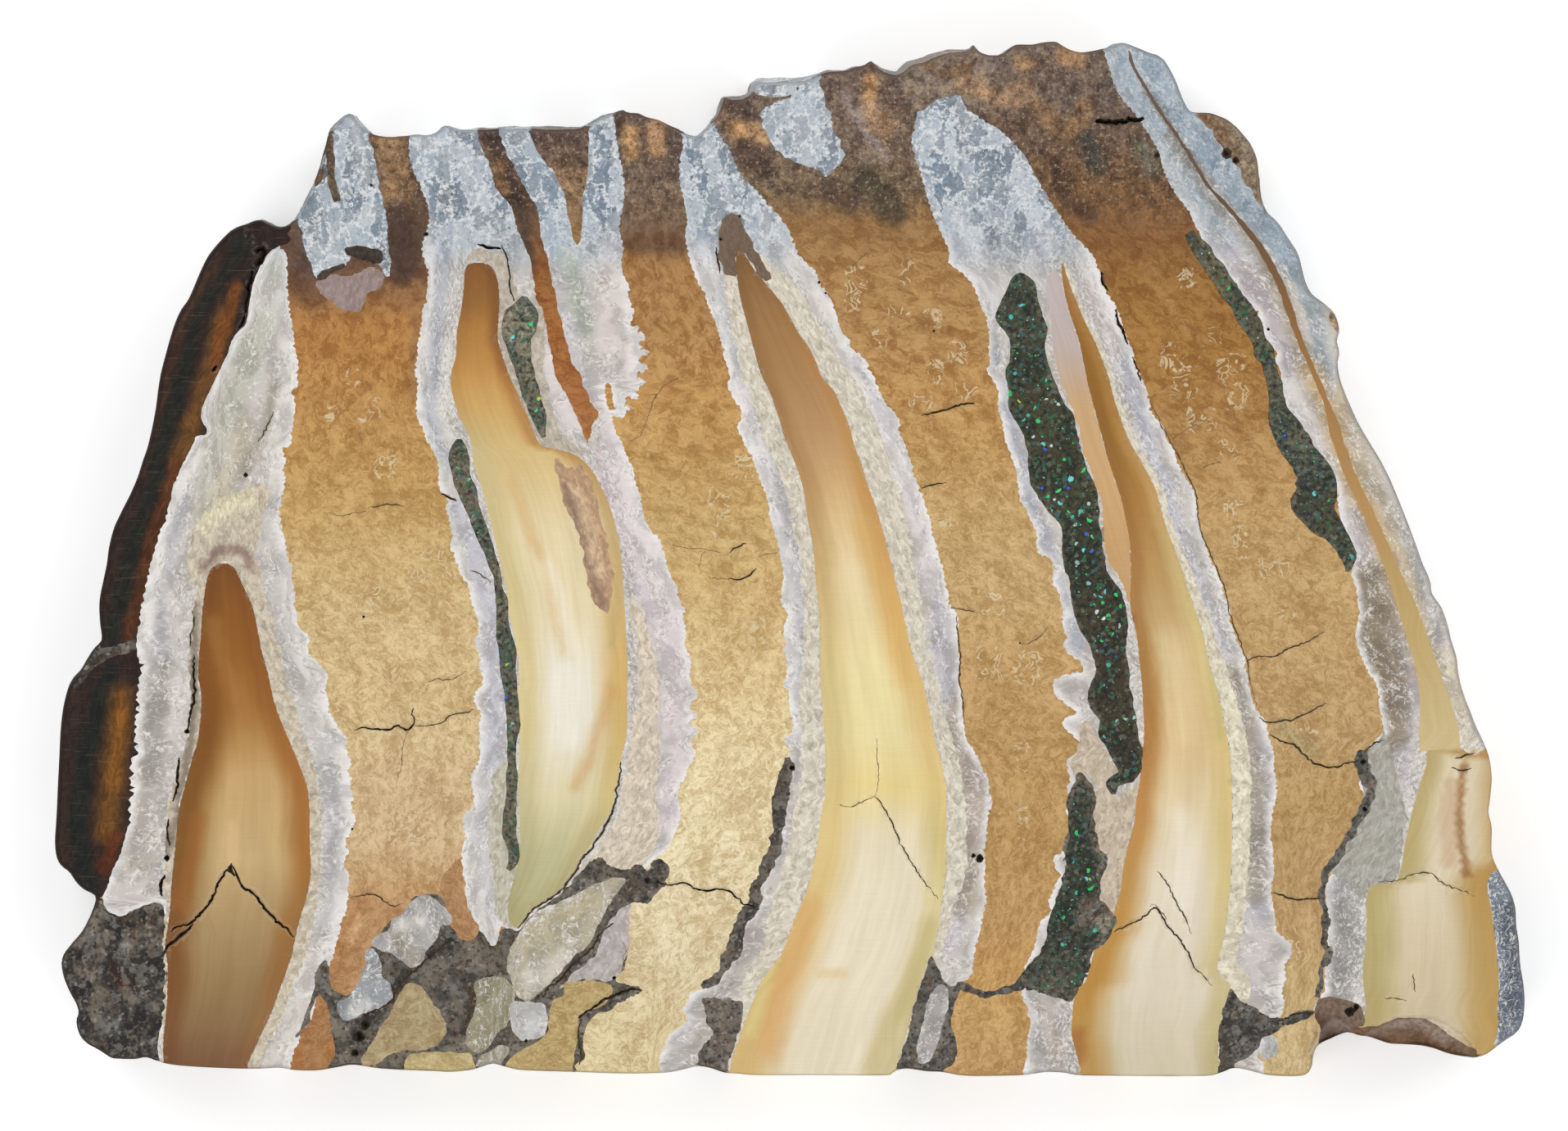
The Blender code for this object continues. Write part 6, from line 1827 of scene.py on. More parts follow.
    (EN, (150, 146, 140), 9, 6, 0.75, [(1640, 690), (1652, 730), (1664, 770), (1674, 800)]),
    (EN, (198, 192, 196), 14, 9, 0.8, [(1700, 780), (1720, 840), (1720, 900), (1700, 960)]),
    (EN, (168, 160, 150), 10, 7, 0.75, [(1690, 900), (1682, 960), (1680, 1010), (1668, 1050)]),
    (EN, (166, 166, 176), 10, 6, 0.85, [(1634, 1064), (1630, 1090)]),
    (EN, (152, 150, 148), 14, 8, 0.85, [(1644, 1080), (1644, 1130), (1640, 1180),
                                        (1636, 1215)]),
    (EN, (175, 115, 55), 8, 6, 0.9, [(1806, 925), (1804, 960), (1806, 1000), (1806, 1045)]),
    (EN, (62, 76, 96), 9, 7, 0.75, [(1840, 1110), (1846, 1150), (1848, 1200), (1842, 1240)]),
    (DE, (150, 98, 55), 4, 3, 0.75, [(1786, 935), (1782, 975), (1784, 1015), (1786, 1050),
                                     (1790, 1068)]),
    (DE, (206, 176, 142), 9, 6, 0.7, [(1770, 960), (1768, 1000), (1768, 1050)]),
    # dentine marks
    (DE, (214, 172, 112), 3, 7, 0.55, [(625, 584), (640, 630), (650, 658), (662, 682), (670, 715),
                                      (677, 747), (689, 793)]),
    (DE, (206, 160, 98), 5, 11, 0.6, [(746, 841), (733, 883), (721, 925), (704, 959)]),
    (DE, (246, 240, 226), 12, 9, 0.6, [(690, 820), (694, 860), (696, 900)]),
    (DE, (190, 168, 112), 4, 5, 0.55, [(706, 566), (728, 598), (746, 648), (757, 697),
                                      (748, 786)]),
    (DE, (248, 240, 222), 8, 8, 0.5, [(668, 690), (684, 740), (696, 790)]),
    (DE, (216, 166, 104), 12, 17, 0.62, [(987, 1108), (968, 1169), (948, 1236), (938, 1280)]),
    (DE, (222, 206, 140), 7, 9, 0.6, [(952, 1140), (934, 1200), (916, 1260)]),
    (DE, (198, 182, 126), 9, 12, 0.65, [(1133, 1132), (1120, 1175), (1103, 1221), (1081, 1256),
                                      (1064, 1305)]),
    (DE, (228, 200, 150), 5, 5, 0.6, [(1002, 1189), (1029, 1189)]),
    (DE, (140, 88, 50), 3, 4, 0.7, [(1380, 756), (1384, 800), (1388, 860), (1392, 920)]),
    (DE, (240, 222, 176), 8, 20, 0.45, [(1424, 780), (1436, 820), (1446, 900)]),
    (DE, (246, 238, 222), 10, 22, 0.5, [(1440, 1000), (1446, 1040), (1440, 1100)]),
    (DE, (196, 182, 120), 5, 5, 0.6, [(1451, 707), (1463, 751), (1482, 830), (1490, 900)]),
    (DE, (222, 178, 104), 7, 15, 0.5, [(1048, 640), (1070, 700), (1092, 770), (1104, 830)]),
    (DE, (160, 100, 48), 8, 6, 0.6, [(1316, 1262), (1314, 1290)]),
    (DE, (225, 190, 140), 7, 8, 0.6, [(284, 1010), (284, 1050)]),
    (DE, (160, 98, 45), 10, 9, 0.55, [(240, 1000), (232, 1050), (222, 1100)]),
    (DE, (168, 118, 64), 8, 8, 0.5, [(262, 760), (270, 800), (290, 850), (300, 880)]),
    # linings
    (LI, (226, 216, 184), 10, 7, 0.8, [(250, 640), (275, 620), (300, 610)]),
    (LI, (138, 112, 102), 6, 4, 0.8, [(252, 690), (262, 676), (280, 670), (298, 677),
                                      (306, 690)]),
    (LI, (112, 100, 86), 5, 4, 0.7, [(236, 740), (236, 800), (236, 860), (230, 920),
                                     (218, 980), (206, 1040)]),
    (LI, (96, 92, 80), 5, 4, 0.7, [(556, 520), (570, 545), (590, 600), (604, 650)]),
    (LI, (214, 186, 150), 8, 6, 0.7, [(700, 600), (720, 650), (730, 700)]),
    (LI, (120, 96, 84), 4, 4, 0.6, [(690, 590), (706, 640), (722, 700), (736, 740)]),
    (LI, (224, 208, 184), 6, 5, 0.7, [(1066, 480), (1086, 540), (1104, 600), (1120, 680)]),
    (LI, (120, 112, 100), 6, 5, 0.7, [(960, 900), (962, 950), (952, 1000), (944, 1050)]),
    (LI, (226, 218, 190), 6, 5, 0.7, [(1500, 840), (1508, 900), (1512, 980), (1510, 1060)]),
    # crown and other marks in the cementum
    (CE, (96, 76, 66), 16, 10, 0.85, [(372, 250), (384, 300), (372, 330)]),
    (CE, (90, 70, 50), 5, 4, 0.85, [(403, 175), (404, 215), (413, 250)]),
    (CE, (105, 100, 80), 6, 5, 0.8, [(414, 215), (416, 250)]),
    (CE, (150, 115, 80), 18, 8, 0.85, [(478, 172), (480, 210), (482, 245)]),
    (CE, (72, 52, 40), 16, 9, 0.85, [(486, 262), (490, 300), (492, 330)]),
    (CE, (105, 70, 46), 12, 9, 0.7, [(360, 342), (380, 362)]),
    (CE, (150, 108, 64), 6, 6, 0.7, [(506, 350), (508, 420), (504, 480)]),
    (CE, (120, 105, 100), 8, 6, 0.8, [(611, 305), (611, 345)]),
    (CE, (64, 48, 40), 10, 8, 0.75, [(606, 170), (612, 200), (618, 230)]),
    (CE, (152, 112, 72), 6, 5, 0.8, [(610, 205), (612, 230)]),
    (CE, (60, 48, 38), 6, 6, 0.7, [(632, 240), (640, 280), (646, 320)]),
    (CE, (88, 68, 60), 14, 9, 0.8, [(770, 150), (800, 165), (826, 180)]),
    (CE, (192, 148, 98), 9, 6, 0.8, [(770, 160), (771, 185)]),
    (CE, (190, 146, 98), 10, 6, 0.8, [(800, 158), (802, 180)]),
    (CE, (110, 74, 46), 5, 5, 0.75, [(770, 292), (800, 290), (840, 296)]),
    (CE, (130, 98, 72), 14, 9, 0.7, [(886, 130), (900, 160)]),
    (CE, (80, 60, 52), 10, 7, 0.8, [(895, 130), (918, 140)]),
    (CE, (185, 142, 95), 11, 7, 0.8, [(902, 160), (930, 165)]),
    (CE, (75, 55, 45), 14, 9, 0.8, [(908, 185), (930, 205)]),
    (CE, (200, 150, 95), 8, 6, 0.85, [(1062, 100), (1064, 115)]),
    (CE, (180, 145, 110), 12, 9, 0.75, [(1060, 135), (1080, 155)]),
    (CE, (150, 135, 130), 5, 4, 0.75, [(1035, 120), (1060, 165), (1085, 195)]),
    (CE, (72, 62, 44), 15, 10, 0.8, [(1055, 215), (1075, 240), (1090, 258)]),
    (CE, (70, 50, 38), 12, 9, 0.7, [(1010, 230), (1040, 245)]),
    (CE, (62, 58, 50), 10, 8, 0.8, [(1326, 170), (1340, 200)]),
    (CE, (185, 140, 95), 9, 6, 0.8, [(1298, 68), (1314, 72)]),
    (CE, (182, 138, 92), 7, 5, 0.75, [(1245, 78), (1256, 78)]),
    (CE, (170, 132, 96), 12, 9, 0.7, [(1180, 100), (1220, 120), (1250, 110)]),
    (CE, (100, 100, 85), 9, 7, 0.7, [(1394, 180), (1406, 205)]),
    (CE, (140, 104, 68), 10, 8, 0.7, [(1270, 130), (1300, 160), (1330, 130)]),
    (CE, (70, 48, 36), 9, 8, 0.7, [(1288, 200), (1300, 240), (1330, 262)]),
    (CE, (120, 90, 62), 6, 5, 0.7, [(1120, 70), (1150, 90), (1180, 80)]),
    (CE, (165, 122, 70), 6, 6, 0.6, [(1400, 320), (1430, 380), (1470, 420)]),
    (CE, (168, 152, 104), 8, 7, 0.6, [(1565, 888), (1600, 915)]),
    (CE, (122, 88, 60), 12, 9, 0.7, [(1448, 130), (1480, 160), (1500, 190)]),
    (CE, (176, 122, 74), 6, 8, 0.5, [(405, 1230), (400, 1190), (420, 1150), (440, 1110)]),
    (CE, (215, 180, 130), 5, 4, 0.7, [(440, 1120), (428, 1150)]),
    # lumps of the crown on the cap, matrix nodules
    (EN, (105, 125, 140), 7, 5, 0.85, [(446, 196), (446, 210)]),
    (EN, (214, 214, 205), 8, 5, 0.9, [(400, 295), (412, 278), (430, 270), (460, 258)]),
    (EN, (160, 165, 160), 12, 8, 0.8, [(382, 240), (388, 285)]),
    (EN, (204, 204, 194), 9, 6, 0.85, [(388, 310), (412, 312)]),
    (EN, (96, 80, 66), 7, 6, 0.8, [(402, 160), (398, 190), (400, 220)]),
    (EN, (222, 220, 216), 6, 4, 0.9, [(430, 150), (440, 180), (446, 230)]),
    (MA, (180, 178, 172), 6, 4, 0.85, [(146, 1098)]),
    (MA, (186, 184, 178), 7, 4, 0.85, [(152, 1158)]),
    (MA, (116, 126, 136), 9, 7, 0.8, [(134, 1230), (138, 1252)]),
    (MA, (124, 116, 104), 12, 8, 0.8, [(90, 1150), (112, 1128)]),
    (MA, (38, 30, 26), 14, 9, 0.9, [(90, 1175), (105, 1205), (130, 1225)]),
    (MA, (75, 38, 18), 9, 7, 0.85, [(142, 1186), (150, 1200)]),
    (MA, (60, 58, 54), 12, 9, 0.6, [(110, 1250), (150, 1280)]),
    (MA, (46, 41, 38), 9, 12, 0.75, [(553, 1147), (526, 1168), (502, 1188), (484, 1208),
                                     (466, 1230), (436, 1250)]),
    (MA, (56, 50, 45), 6, 8, 0.6, [(577, 1200), (573, 1236), (562, 1270)]),
    (EN, (206, 206, 204), 8, 5, 0.9, [(432, 1235), (446, 1228)]),
    (EN, (226, 222, 216), 6, 4, 0.9, [(490, 1127), (514, 1126)]),
    (EN, (156, 150, 136), 10, 7, 0.8, [(486, 1150), (506, 1168)]),
    (EN, (212, 206, 196), 12, 8, 0.85, [(650, 1196), (672, 1184), (690, 1172)]),
    (EN, (158, 150, 134), 16, 14, 0.5, [(198, 820), (190, 880), (184, 940), (176, 1000),
                                        (170, 1050)]),
    (EN, (156, 138, 114), 17, 13, 0.55, [(1172, 870), (1178, 920), (1182, 980), (1180, 1040),
                                         (1172, 1100)]),
    (EN, (146, 134, 108), 20, 14, 0.6, [(1498, 830), (1512, 890), (1522, 950), (1526, 1010),
                                        (1526, 1080)]),
    (EN, (122, 106, 78), 22, 14, 0.6, [(1668, 710), (1684, 770), (1694, 840), (1696, 890)]),
    (EN, (186, 176, 146), 12, 8, 0.8, [(646, 1150), (680, 1128), (720, 1100)]),
    (BR, (95, 60, 45), 8, 6, 0.85, [(1612, 1248), (1622, 1272)]),
    (BR, (150, 135, 125), 5, 4, 0.8, [(1700, 1252), (1735, 1250), (1770, 1272)]),
    (BR, (100, 72, 55), 18, 12, 0.7, [(1680, 1290), (1720, 1310), (1760, 1310)]),
]


def apply_strokes(rgb, xy, kind, warp):
    for kinds, colour, half, soft, strength, points in STROKES:
        line = arr(points)
        reach = half + soft + 14
        low, high = line.min(0) - reach, line.max(0) + reach
        near = ((xy > low) & (xy < high)).all(1) & (kind == KINDS.index(kinds))
        if not near.any():
            continue
        p = warp[near]
        if len(line) == 1:
            d = np.hypot(*(p - line[0]).T)
        else:
            d, _ = to_line(p, even(spline(line, 5, False), 8, False))
        f = strength * (1 - smooth(d, half - soft * 0.6, half + soft))
        rgb[near] = blend(rgb[near], colour, f)
    return rgb


# ------------------------------------------------------------------ attributes
# boxes where the cementum shows pale hooked flecks, and round brown spots with their size
FLECKS = [(425, 453, 437, 471), (400, 499, 411, 511), (437, 719, 462, 742), (518, 676, 556, 702),
          (440, 488, 462, 512), (460, 560, 482, 580), (496, 690, 512, 716), (470, 810, 500, 836),
          (478, 1000, 520, 1030), (400, 860, 420, 880),
          (869, 601, 888, 633), (874, 640, 896, 660), (918, 756, 933, 806), (859, 801, 879, 820),
          (896, 560, 916, 580), (824, 840, 850, 866), (880, 896, 900, 930), (846, 1120, 870, 1150),
          (782, 1180, 800, 1200), (890, 980, 912, 1010),
          (1034, 331, 1054, 376), (1100, 324, 1114, 346), (1130, 382, 1146, 398),
          (1066, 405, 1081, 423), (1135, 443, 1150, 465), (1111, 480, 1138, 499),
          (1088, 380, 1106, 394), (1160, 420, 1178, 440), (1170, 470, 1190, 486),
          (1194, 722, 1224, 749), (1194, 793, 1221, 830), (1239, 798, 1268, 833),
          (1244, 907, 1252, 940), (1245, 981, 1252, 1023), (1150, 620, 1162, 640),
          (1478, 400, 1487, 418), (1434, 435, 1460, 482), (1488, 443, 1502, 467),
          (1453, 500, 1480, 524), (1493, 434, 1518, 455), (1495, 612, 1515, 626),
          (1506, 643, 1520, 679), (1540, 685, 1571, 708), (1591, 886, 1606, 904),
          (1420, 420, 1436, 446), (1500, 470, 1520, 500), (1440, 330, 1460, 350),
          (1490, 540, 1510, 560), (1556, 740, 1580, 752), (1574, 1150, 1590, 1180)]
EYES = [(769, 413, 7), (772, 455, 7), (850, 549, 8), (859, 472, 6), (924, 710, 4), (800, 390, 5),
        (836, 500, 5), (796, 560, 5), (1142, 517, 5), (1150, 544, 6), (1498, 509, 5),
        (1100, 340, 6), (1060, 350, 5), (1160, 400, 5), (1128, 400, 8), (1224, 700, 5),
        (1180, 560, 6), (1210, 600, 5), (450, 470, 6), (440, 530, 5), (500, 620, 4),
        (890, 760, 4), (1470, 470, 5), (1510, 520, 5), (1540, 600, 5), (1020, 300, 6),
        (1046, 400, 5), (1250, 1060, 6), (1210, 860, 5)]


def linear(rgb):
    """Scene-linear values of display tones given as 0 to 255."""
    c = np.clip(np.asarray(rgb, float) / 255, 0, 1)
    return np.where(c <= 0.04045, c / 12.92, ((c + 0.055) / 1.055) ** 2.4)


rim_tree = tree_of(outline)


def attributes(tri, tri_area, see, zone):
    """Colour, flow and amounts for every corner, with crisp borders between areas."""
    corner = tri.ravel()
    key = corner.astype(np.int64) * 1000 + np.repeat(tri_area, 3)
    one, back_to = np.unique(key, return_inverse=True)
    v, a = one // 1000, (one % 1000).astype(int)
    xy, zn = see[v], zone[v]
    kind = area_kind[a]
    warp = xy + np.stack([wander(xy, 16, 401, 2), wander(xy, 16, 402, 2)], 1) * 3.5
    wide = xy + np.stack([wander(xy, 40, 403, 2), wander(xy, 40, 404, 2)], 1) * 12
    rgb = np.zeros((len(one), 3))
    for k in np.unique(a):
        m = a == k
        rgb[m] = tint(areas[k][0], areas[k][1], xy[m], wide[m])
    rgb = apply_strokes(rgb, xy, kind, warp)
    d_out = np.array([outer_tree.find((x, y, 0.0))[2] for x, y in xy])
    d_in = np.array([inner_tree.find((x, y, 0.0))[2] for x, y in xy])
    en = kind == KINDS.index("enamel")
    ce = kind == KINDS.index("cementum")
    outline_d = np.array([loop_tree.find((x, y, 0.0))[2] for x, y in xy])
    y = xy[:, 1]
    rgb = np.where((en & (y > 320))[:, None], rgb * (0.975, 0.962, 0.945), rgb)
    # white toothed border of the enamel
    f = (1 - smooth(d_out + 2.5 * wander(xy, 13, 410, 2), 2.0, 8.5)) * 0.8 * en
    rgb = blend(rgb, (232, 228, 224), f * smooth(y, 170, 330) + f * 0.3)
    wall = zn == 1
    rgb = np.where(wall[:, None], rgb * (0.86 + 0.10 * wander(xy, 18, 420, 2))[:, None], rgb)
    back_ = zn == 2
    rgb = np.where(back_[:, None], rgb * 0.92 + 14, rgb)
    names = np.array([n[0] for n in areas])
    crusty = np.isin(names[a], ("crown4", "crust5", "crust6", "cap_brown"))
    crust = np.where(ce, 1 - smooth(y + 14 * wander(xy, 50, 411, 2), 225, 300), 0.0)
    crust = np.where(en, 1 - smooth(y + 20 * wander(xy, 60, 412, 2), 250, 350), crust)
    crust = np.where(crusty | np.isin(a, CAP_AREAS), 1.0, crust)
    crust = np.where(names[a] == "p5", crust * 0.35, crust)
    fleck, eye_ = np.zeros(len(xy)), np.zeros(len(xy))
    for x0, y0, x1, y1 in FLECKS:
        d = np.maximum(np.maximum(x0 - warp[:, 0], warp[:, 0] - x1),
                       np.maximum(y0 - warp[:, 1], warp[:, 1] - y1))
        fleck = np.maximum(fleck, 1 - smooth(d, -2, 7))
    for x, y0, size in EYES:
        d = np.hypot(warp[:, 0] - x, warp[:, 1] - y0)
        eye_ = np.maximum(eye_, 1 - smooth(d, size * 0.3, size * 1.7))
    flow = np.stack([flow_u(xy) / 100, y / 100, np.minimum(d_out, 60) / 10], 1)
    grid = np.column_stack([xy / 100, np.zeros(len(xy))])
    around = np.array([rim_tree.find((x, y_, 0.0))[1] for x, y_ in xy[wall]])
    up = pos[v][wall][:, 2] / STEP
    flow[wall, 0], flow[wall, 1] = run[around] / 100, 20 + up / 100
    grid[wall, 0], grid[wall, 1] = run[around] / 100, 40 + up / 100
    amount = np.stack([crust, np.clip(outline_d / 40, 0, 1), np.clip(d_in / 40, 0, 1),
                       (zn == 0) * 1.0], 1)
    extra = np.stack([fleck * ce, eye_ * ce, wall * 1.0, np.ones(len(xy))], 1)
    return (np.column_stack([linear(rgb), np.ones(len(rgb))])[back_to], flow[back_to],
            amount[back_to], extra[back_to], grid[back_to])
col, flow, amount, extra, grid = attributes(tri, tri_area, see, zone)
print("attributes", len(col))


# ------------------------------------------------------------------ shader helpers
class Sheet:
    """A small writer of shader nodes."""

    def __init__(self, name):
        self.material = bpy.data.materials.new(name)
        self.material.use_nodes = True
        self.tree = self.material.node_tree
        self.tree.nodes.clear()

    def put(self, socket, value):
        if isinstance(value, bpy.types.NodeSocket):
            self.tree.links.new(value, socket)
        elif value is not None:
            socket.default_value = value

    def add(self, kind, inputs, **props):
        node = self.tree.nodes.new(kind)
        for key, value in props.items():
            setattr(node, key, value)
        for key, value in inputs.items():
            self.put(node.inputs[key], value)
        return node

    def read(self, name, part="Color"):
        return self.add("ShaderNodeAttribute", {}, attribute_name=name,
                        attribute_type="GEOMETRY").outputs[part]

    def math(self, op, a, b=0.0, c=0.0, clamp=False):
        return self.add("ShaderNodeMath", {0: a, 1: b, 2: c}, operation=op,
                        use_clamp=clamp).outputs[0]

    def split(self, v):
        return self.add("ShaderNodeSeparateXYZ", {0: v}).outputs

    def rgb(self, v):
        return self.add("ShaderNodeSeparateColor", {0: v}).outputs

    def join(self, x, y, z=0.0):
        return self.add("ShaderNodeCombineXYZ", {0: x, 1: y, 2: z}).outputs[0]

    def vmath(self, op, a, b):
        return self.add("ShaderNodeVectorMath", {0: a, 1: b}, operation=op).outputs[0]

    def stretch(self, v, size, turn=0.0, shift=(0, 0, 0)):
        return self.add("ShaderNodeMapping", {"Vector": v, "Scale": size, "Location": shift,
                                              "Rotation": (0, 0, turn)}).outputs[0]

    def noise(self, v, scale, detail=2.0, rough=0.5, bend=0.0, part=0):
        return self.add("ShaderNodeTexNoise", {"Vector": v, "Scale": scale, "Detail": detail,
                                               "Roughness": rough, "Distortion": bend},
                        noise_dimensions="2D").outputs[part]

    def cells(self, v, scale, part="Distance", feature="F1", loose=1.0):
        return self.add("ShaderNodeTexVoronoi", {"Vector": v, "Scale": scale,
                                                 "Randomness": loose},
                        voronoi_dimensions="2D", feature=feature).outputs[part]

    def fit(self, v, a, b, c=0.0, d=1.0, curve="SMOOTHSTEP"):
        return self.add("ShaderNodeMapRange", {0: v, 1: a, 2: b, 3: c, 4: d},
                        interpolation_type=curve).outputs[0]

    def mix(self, f, a, b, mode="MIX"):
        node = self.add("ShaderNodeMix", {}, data_type="RGBA", blend_type=mode)
        for key, value in ((0, f), (6, a), (7, b)):
            self.put(node.inputs[key], value)
        return node.outputs[2]

    def tone(self, c):
        return (*[float(x) for x in linear(arr(c))], 1.0)

    def finish(self, colour, rough, height=None, swell=0.01, strength=1.0, gloss=0.5,
               coat=0.0):
        inputs = {"Base Color": colour, "Roughness": rough, "Specular IOR Level": gloss,
                  "Coat Weight": coat, "Coat Roughness": 0.12}
        if height is not None:
            inputs["Normal"] = self.add("ShaderNodeBump", {
                "Height": height, "Distance": swell * 1e-3,
                "Strength": strength}).outputs[0]
        shader = self.add("ShaderNodeBsdfPrincipled", inputs)
        self.add("ShaderNodeOutputMaterial", {0: shader.outputs[0]})
        return self.material


def base(s):
    col_, flow_, amt = s.read("col"), s.read("flow", "Vector"), s.read("amount")
    parts = s.rgb(amt)
    front_ = s.read("amount", "Alpha")
    return col_, flow_, parts[0], parts[1], parts[2], front_


def worn(s, front_, low, high):
    return s.fit(front_, 0.0, 1.0, high, low, "LINEAR")


def make_cementum():
    s = Sheet("cementum")
    c, flow_, crust, rim_d, _, front_ = base(s)
    marks = s.rgb(s.read("extra"))
    bend = s.vmath("SUBTRACT", s.noise(flow_, 5.0, 3, 0.55, 0, 1), (0.5, 0.5, 0.5))
    p = s.vmath("ADD", flow_, s.vmath("MULTIPLY", bend, (0.22, 0.22, 0.0)))
    big = s.noise(s.stretch(p, (1.5, 1.0, 1)), 1.7, 3, 0.55, 0.2)
    curl = s.noise(s.stretch(p, (1.0, 1.2, 1)), 8.5, 5, 0.70, 0.25)
    fine = s.noise(s.stretch(p, (1.1, 1.5, 1), 0.3), 26.0, 4, 0.72, 0.2)
    v = s.math("ADD", s.math("MULTIPLY", curl, 0.42), s.math("MULTIPLY", fine, 0.36))
    v = s.math("ADD", v, s.math("MULTIPLY", big, 0.22))
    dark = s.mix(1.0, c, (0.74, 0.66, 0.56, 1), "MULTIPLY")
    pale = s.mix(1.0, c, (1.20, 1.27, 1.42, 1), "MULTIPLY")
    out = s.mix(s.fit(v, 0.39, 0.61), dark, pale)
    grid_ = s.read("grid", "Vector")
    high_up = s.fit(s.split(flow_)[1], 7.6, 4.6)
    high_up = s.math("MULTIPLY", high_up, s.math("SUBTRACT", 1.0, crust))
    blotch = s.noise(s.stretch(p, (1.1, 1.3, 1), 0.1, (9, 2, 0)), 4.2, 3, 0.6, 0.3)
    out = s.mix(s.math("MULTIPLY", s.fit(blotch, 0.52, 0.64), s.math("MULTIPLY", high_up, 0.7)),
                out, s.mix(1.0, c, (0.66, 0.52, 0.36, 1), "MULTIPLY"))
    out = s.mix(s.math("MULTIPLY", s.fit(blotch, 0.45, 0.34), s.math("MULTIPLY", high_up, 0.5)),
                out, s.mix(1.0, c, (1.22, 1.34, 1.5, 1), "MULTIPLY"))
    wisp = s.math("ABSOLUTE", s.math("SUBTRACT", s.noise(s.stretch(p, (0.9, 1.5, 1), 0.15,
                                                                  (5, 1, 0)), 9.0, 3, 0.6,
                                                         0.9), 0.5))
    light_line = s.math("MULTIPLY", s.math("ADD", 0.22, s.math("MULTIPLY", high_up, 0.25)),
                        s.math("SUBTRACT", 1.0, crust))
    out = s.mix(s.math("MULTIPLY", s.fit(wisp, 0.022, 0.0), light_line), out,
                s.mix(1.0, c, (1.5, 1.62, 1.95, 1), "MULTIPLY"))
    crumb = s.noise(s.stretch(grid_, (1.0, 1.0, 1), 0, (7, 3, 0)), 6.5, 5, 0.78)
    crumb_2 = s.noise(s.stretch(grid_, (1.0, 1.0, 1), 0, (1, 6, 0)), 19.0, 4, 0.75)
    tan = s.mix(1.0, c, (1.70, 1.72, 1.60, 1), "MULTIPLY")
    out = s.mix(s.math("MULTIPLY", s.fit(crumb, 0.545, 0.60), s.math("MULTIPLY", crust, 0.85)),
                out, tan)
    out = s.mix(s.math("MULTIPLY", s.fit(crumb_2, 0.58, 0.64), s.math("MULTIPLY", crust, 0.6)),
                out, s.tone((176, 160, 140)))
    deepest = s.mix(1.0, c, (0.40, 0.36, 0.34, 1), "MULTIPLY")
    out = s.mix(s.math("MULTIPLY", s.fit(crumb, 0.46, 0.38), s.math("MULTIPLY", crust, 0.85)),
                out, deepest)
    out = s.mix(s.math("MULTIPLY", s.fit(crumb_2, 0.40, 0.34), s.math("MULTIPLY", crust, 0.75)),
                out, s.tone((48, 38, 32)))
    hook = s.noise(s.stretch(grid_, (1.0, 1.0, 1), 0.2, (5, 1, 0)), 6.2, 3, 0.55, 0.9)
    hook = s.math("ABSOLUTE", s.math("SUBTRACT", hook, 0.5))
    part = s.noise(s.stretch(grid_, (1.0, 1.0, 1), 0, (2, 8, 0)), 6.0, 2, 0.5)
    hook = s.math("MULTIPLY", s.fit(hook, 0.048, 0.020), s.fit(part, 0.42, 0.47))
    hook = s.math("MULTIPLY", hook, s.fit(marks[0], 0.15, 0.6))
    shade = s.math("MULTIPLY", marks[0], s.fit(part, 0.35, 0.6, 0.0, 0.6))
    out = s.mix(shade, out, s.mix(1.0, c, (0.72, 0.62, 0.50, 1), "MULTIPLY"))
    out = s.mix(s.math("MULTIPLY", hook, 0.62), out, s.tone((232, 213, 174)))
    out = s.mix(s.math("MULTIPLY", marks[1], 0.55), out, s.mix(1.0, c, (0.50, 0.38, 0.26, 1),
                                                               "MULTIPLY"))
    # painted shade: a thin dark fringe just inside the rounded edge of the polished face
    out = s.mix(s.fit(s.math("ADD", rim_d, s.math("MULTIPLY", fine, 0.10)), 0.0, 0.09, 0.30,
                      0.0), out, s.tone((88, 66, 48)))
    return s.finish(out, s.fit(v, 0.3, 0.7, 0.34, 0.48), v, 0.03,
                    worn(s, front_, 0.15, 1.0), 0.35)


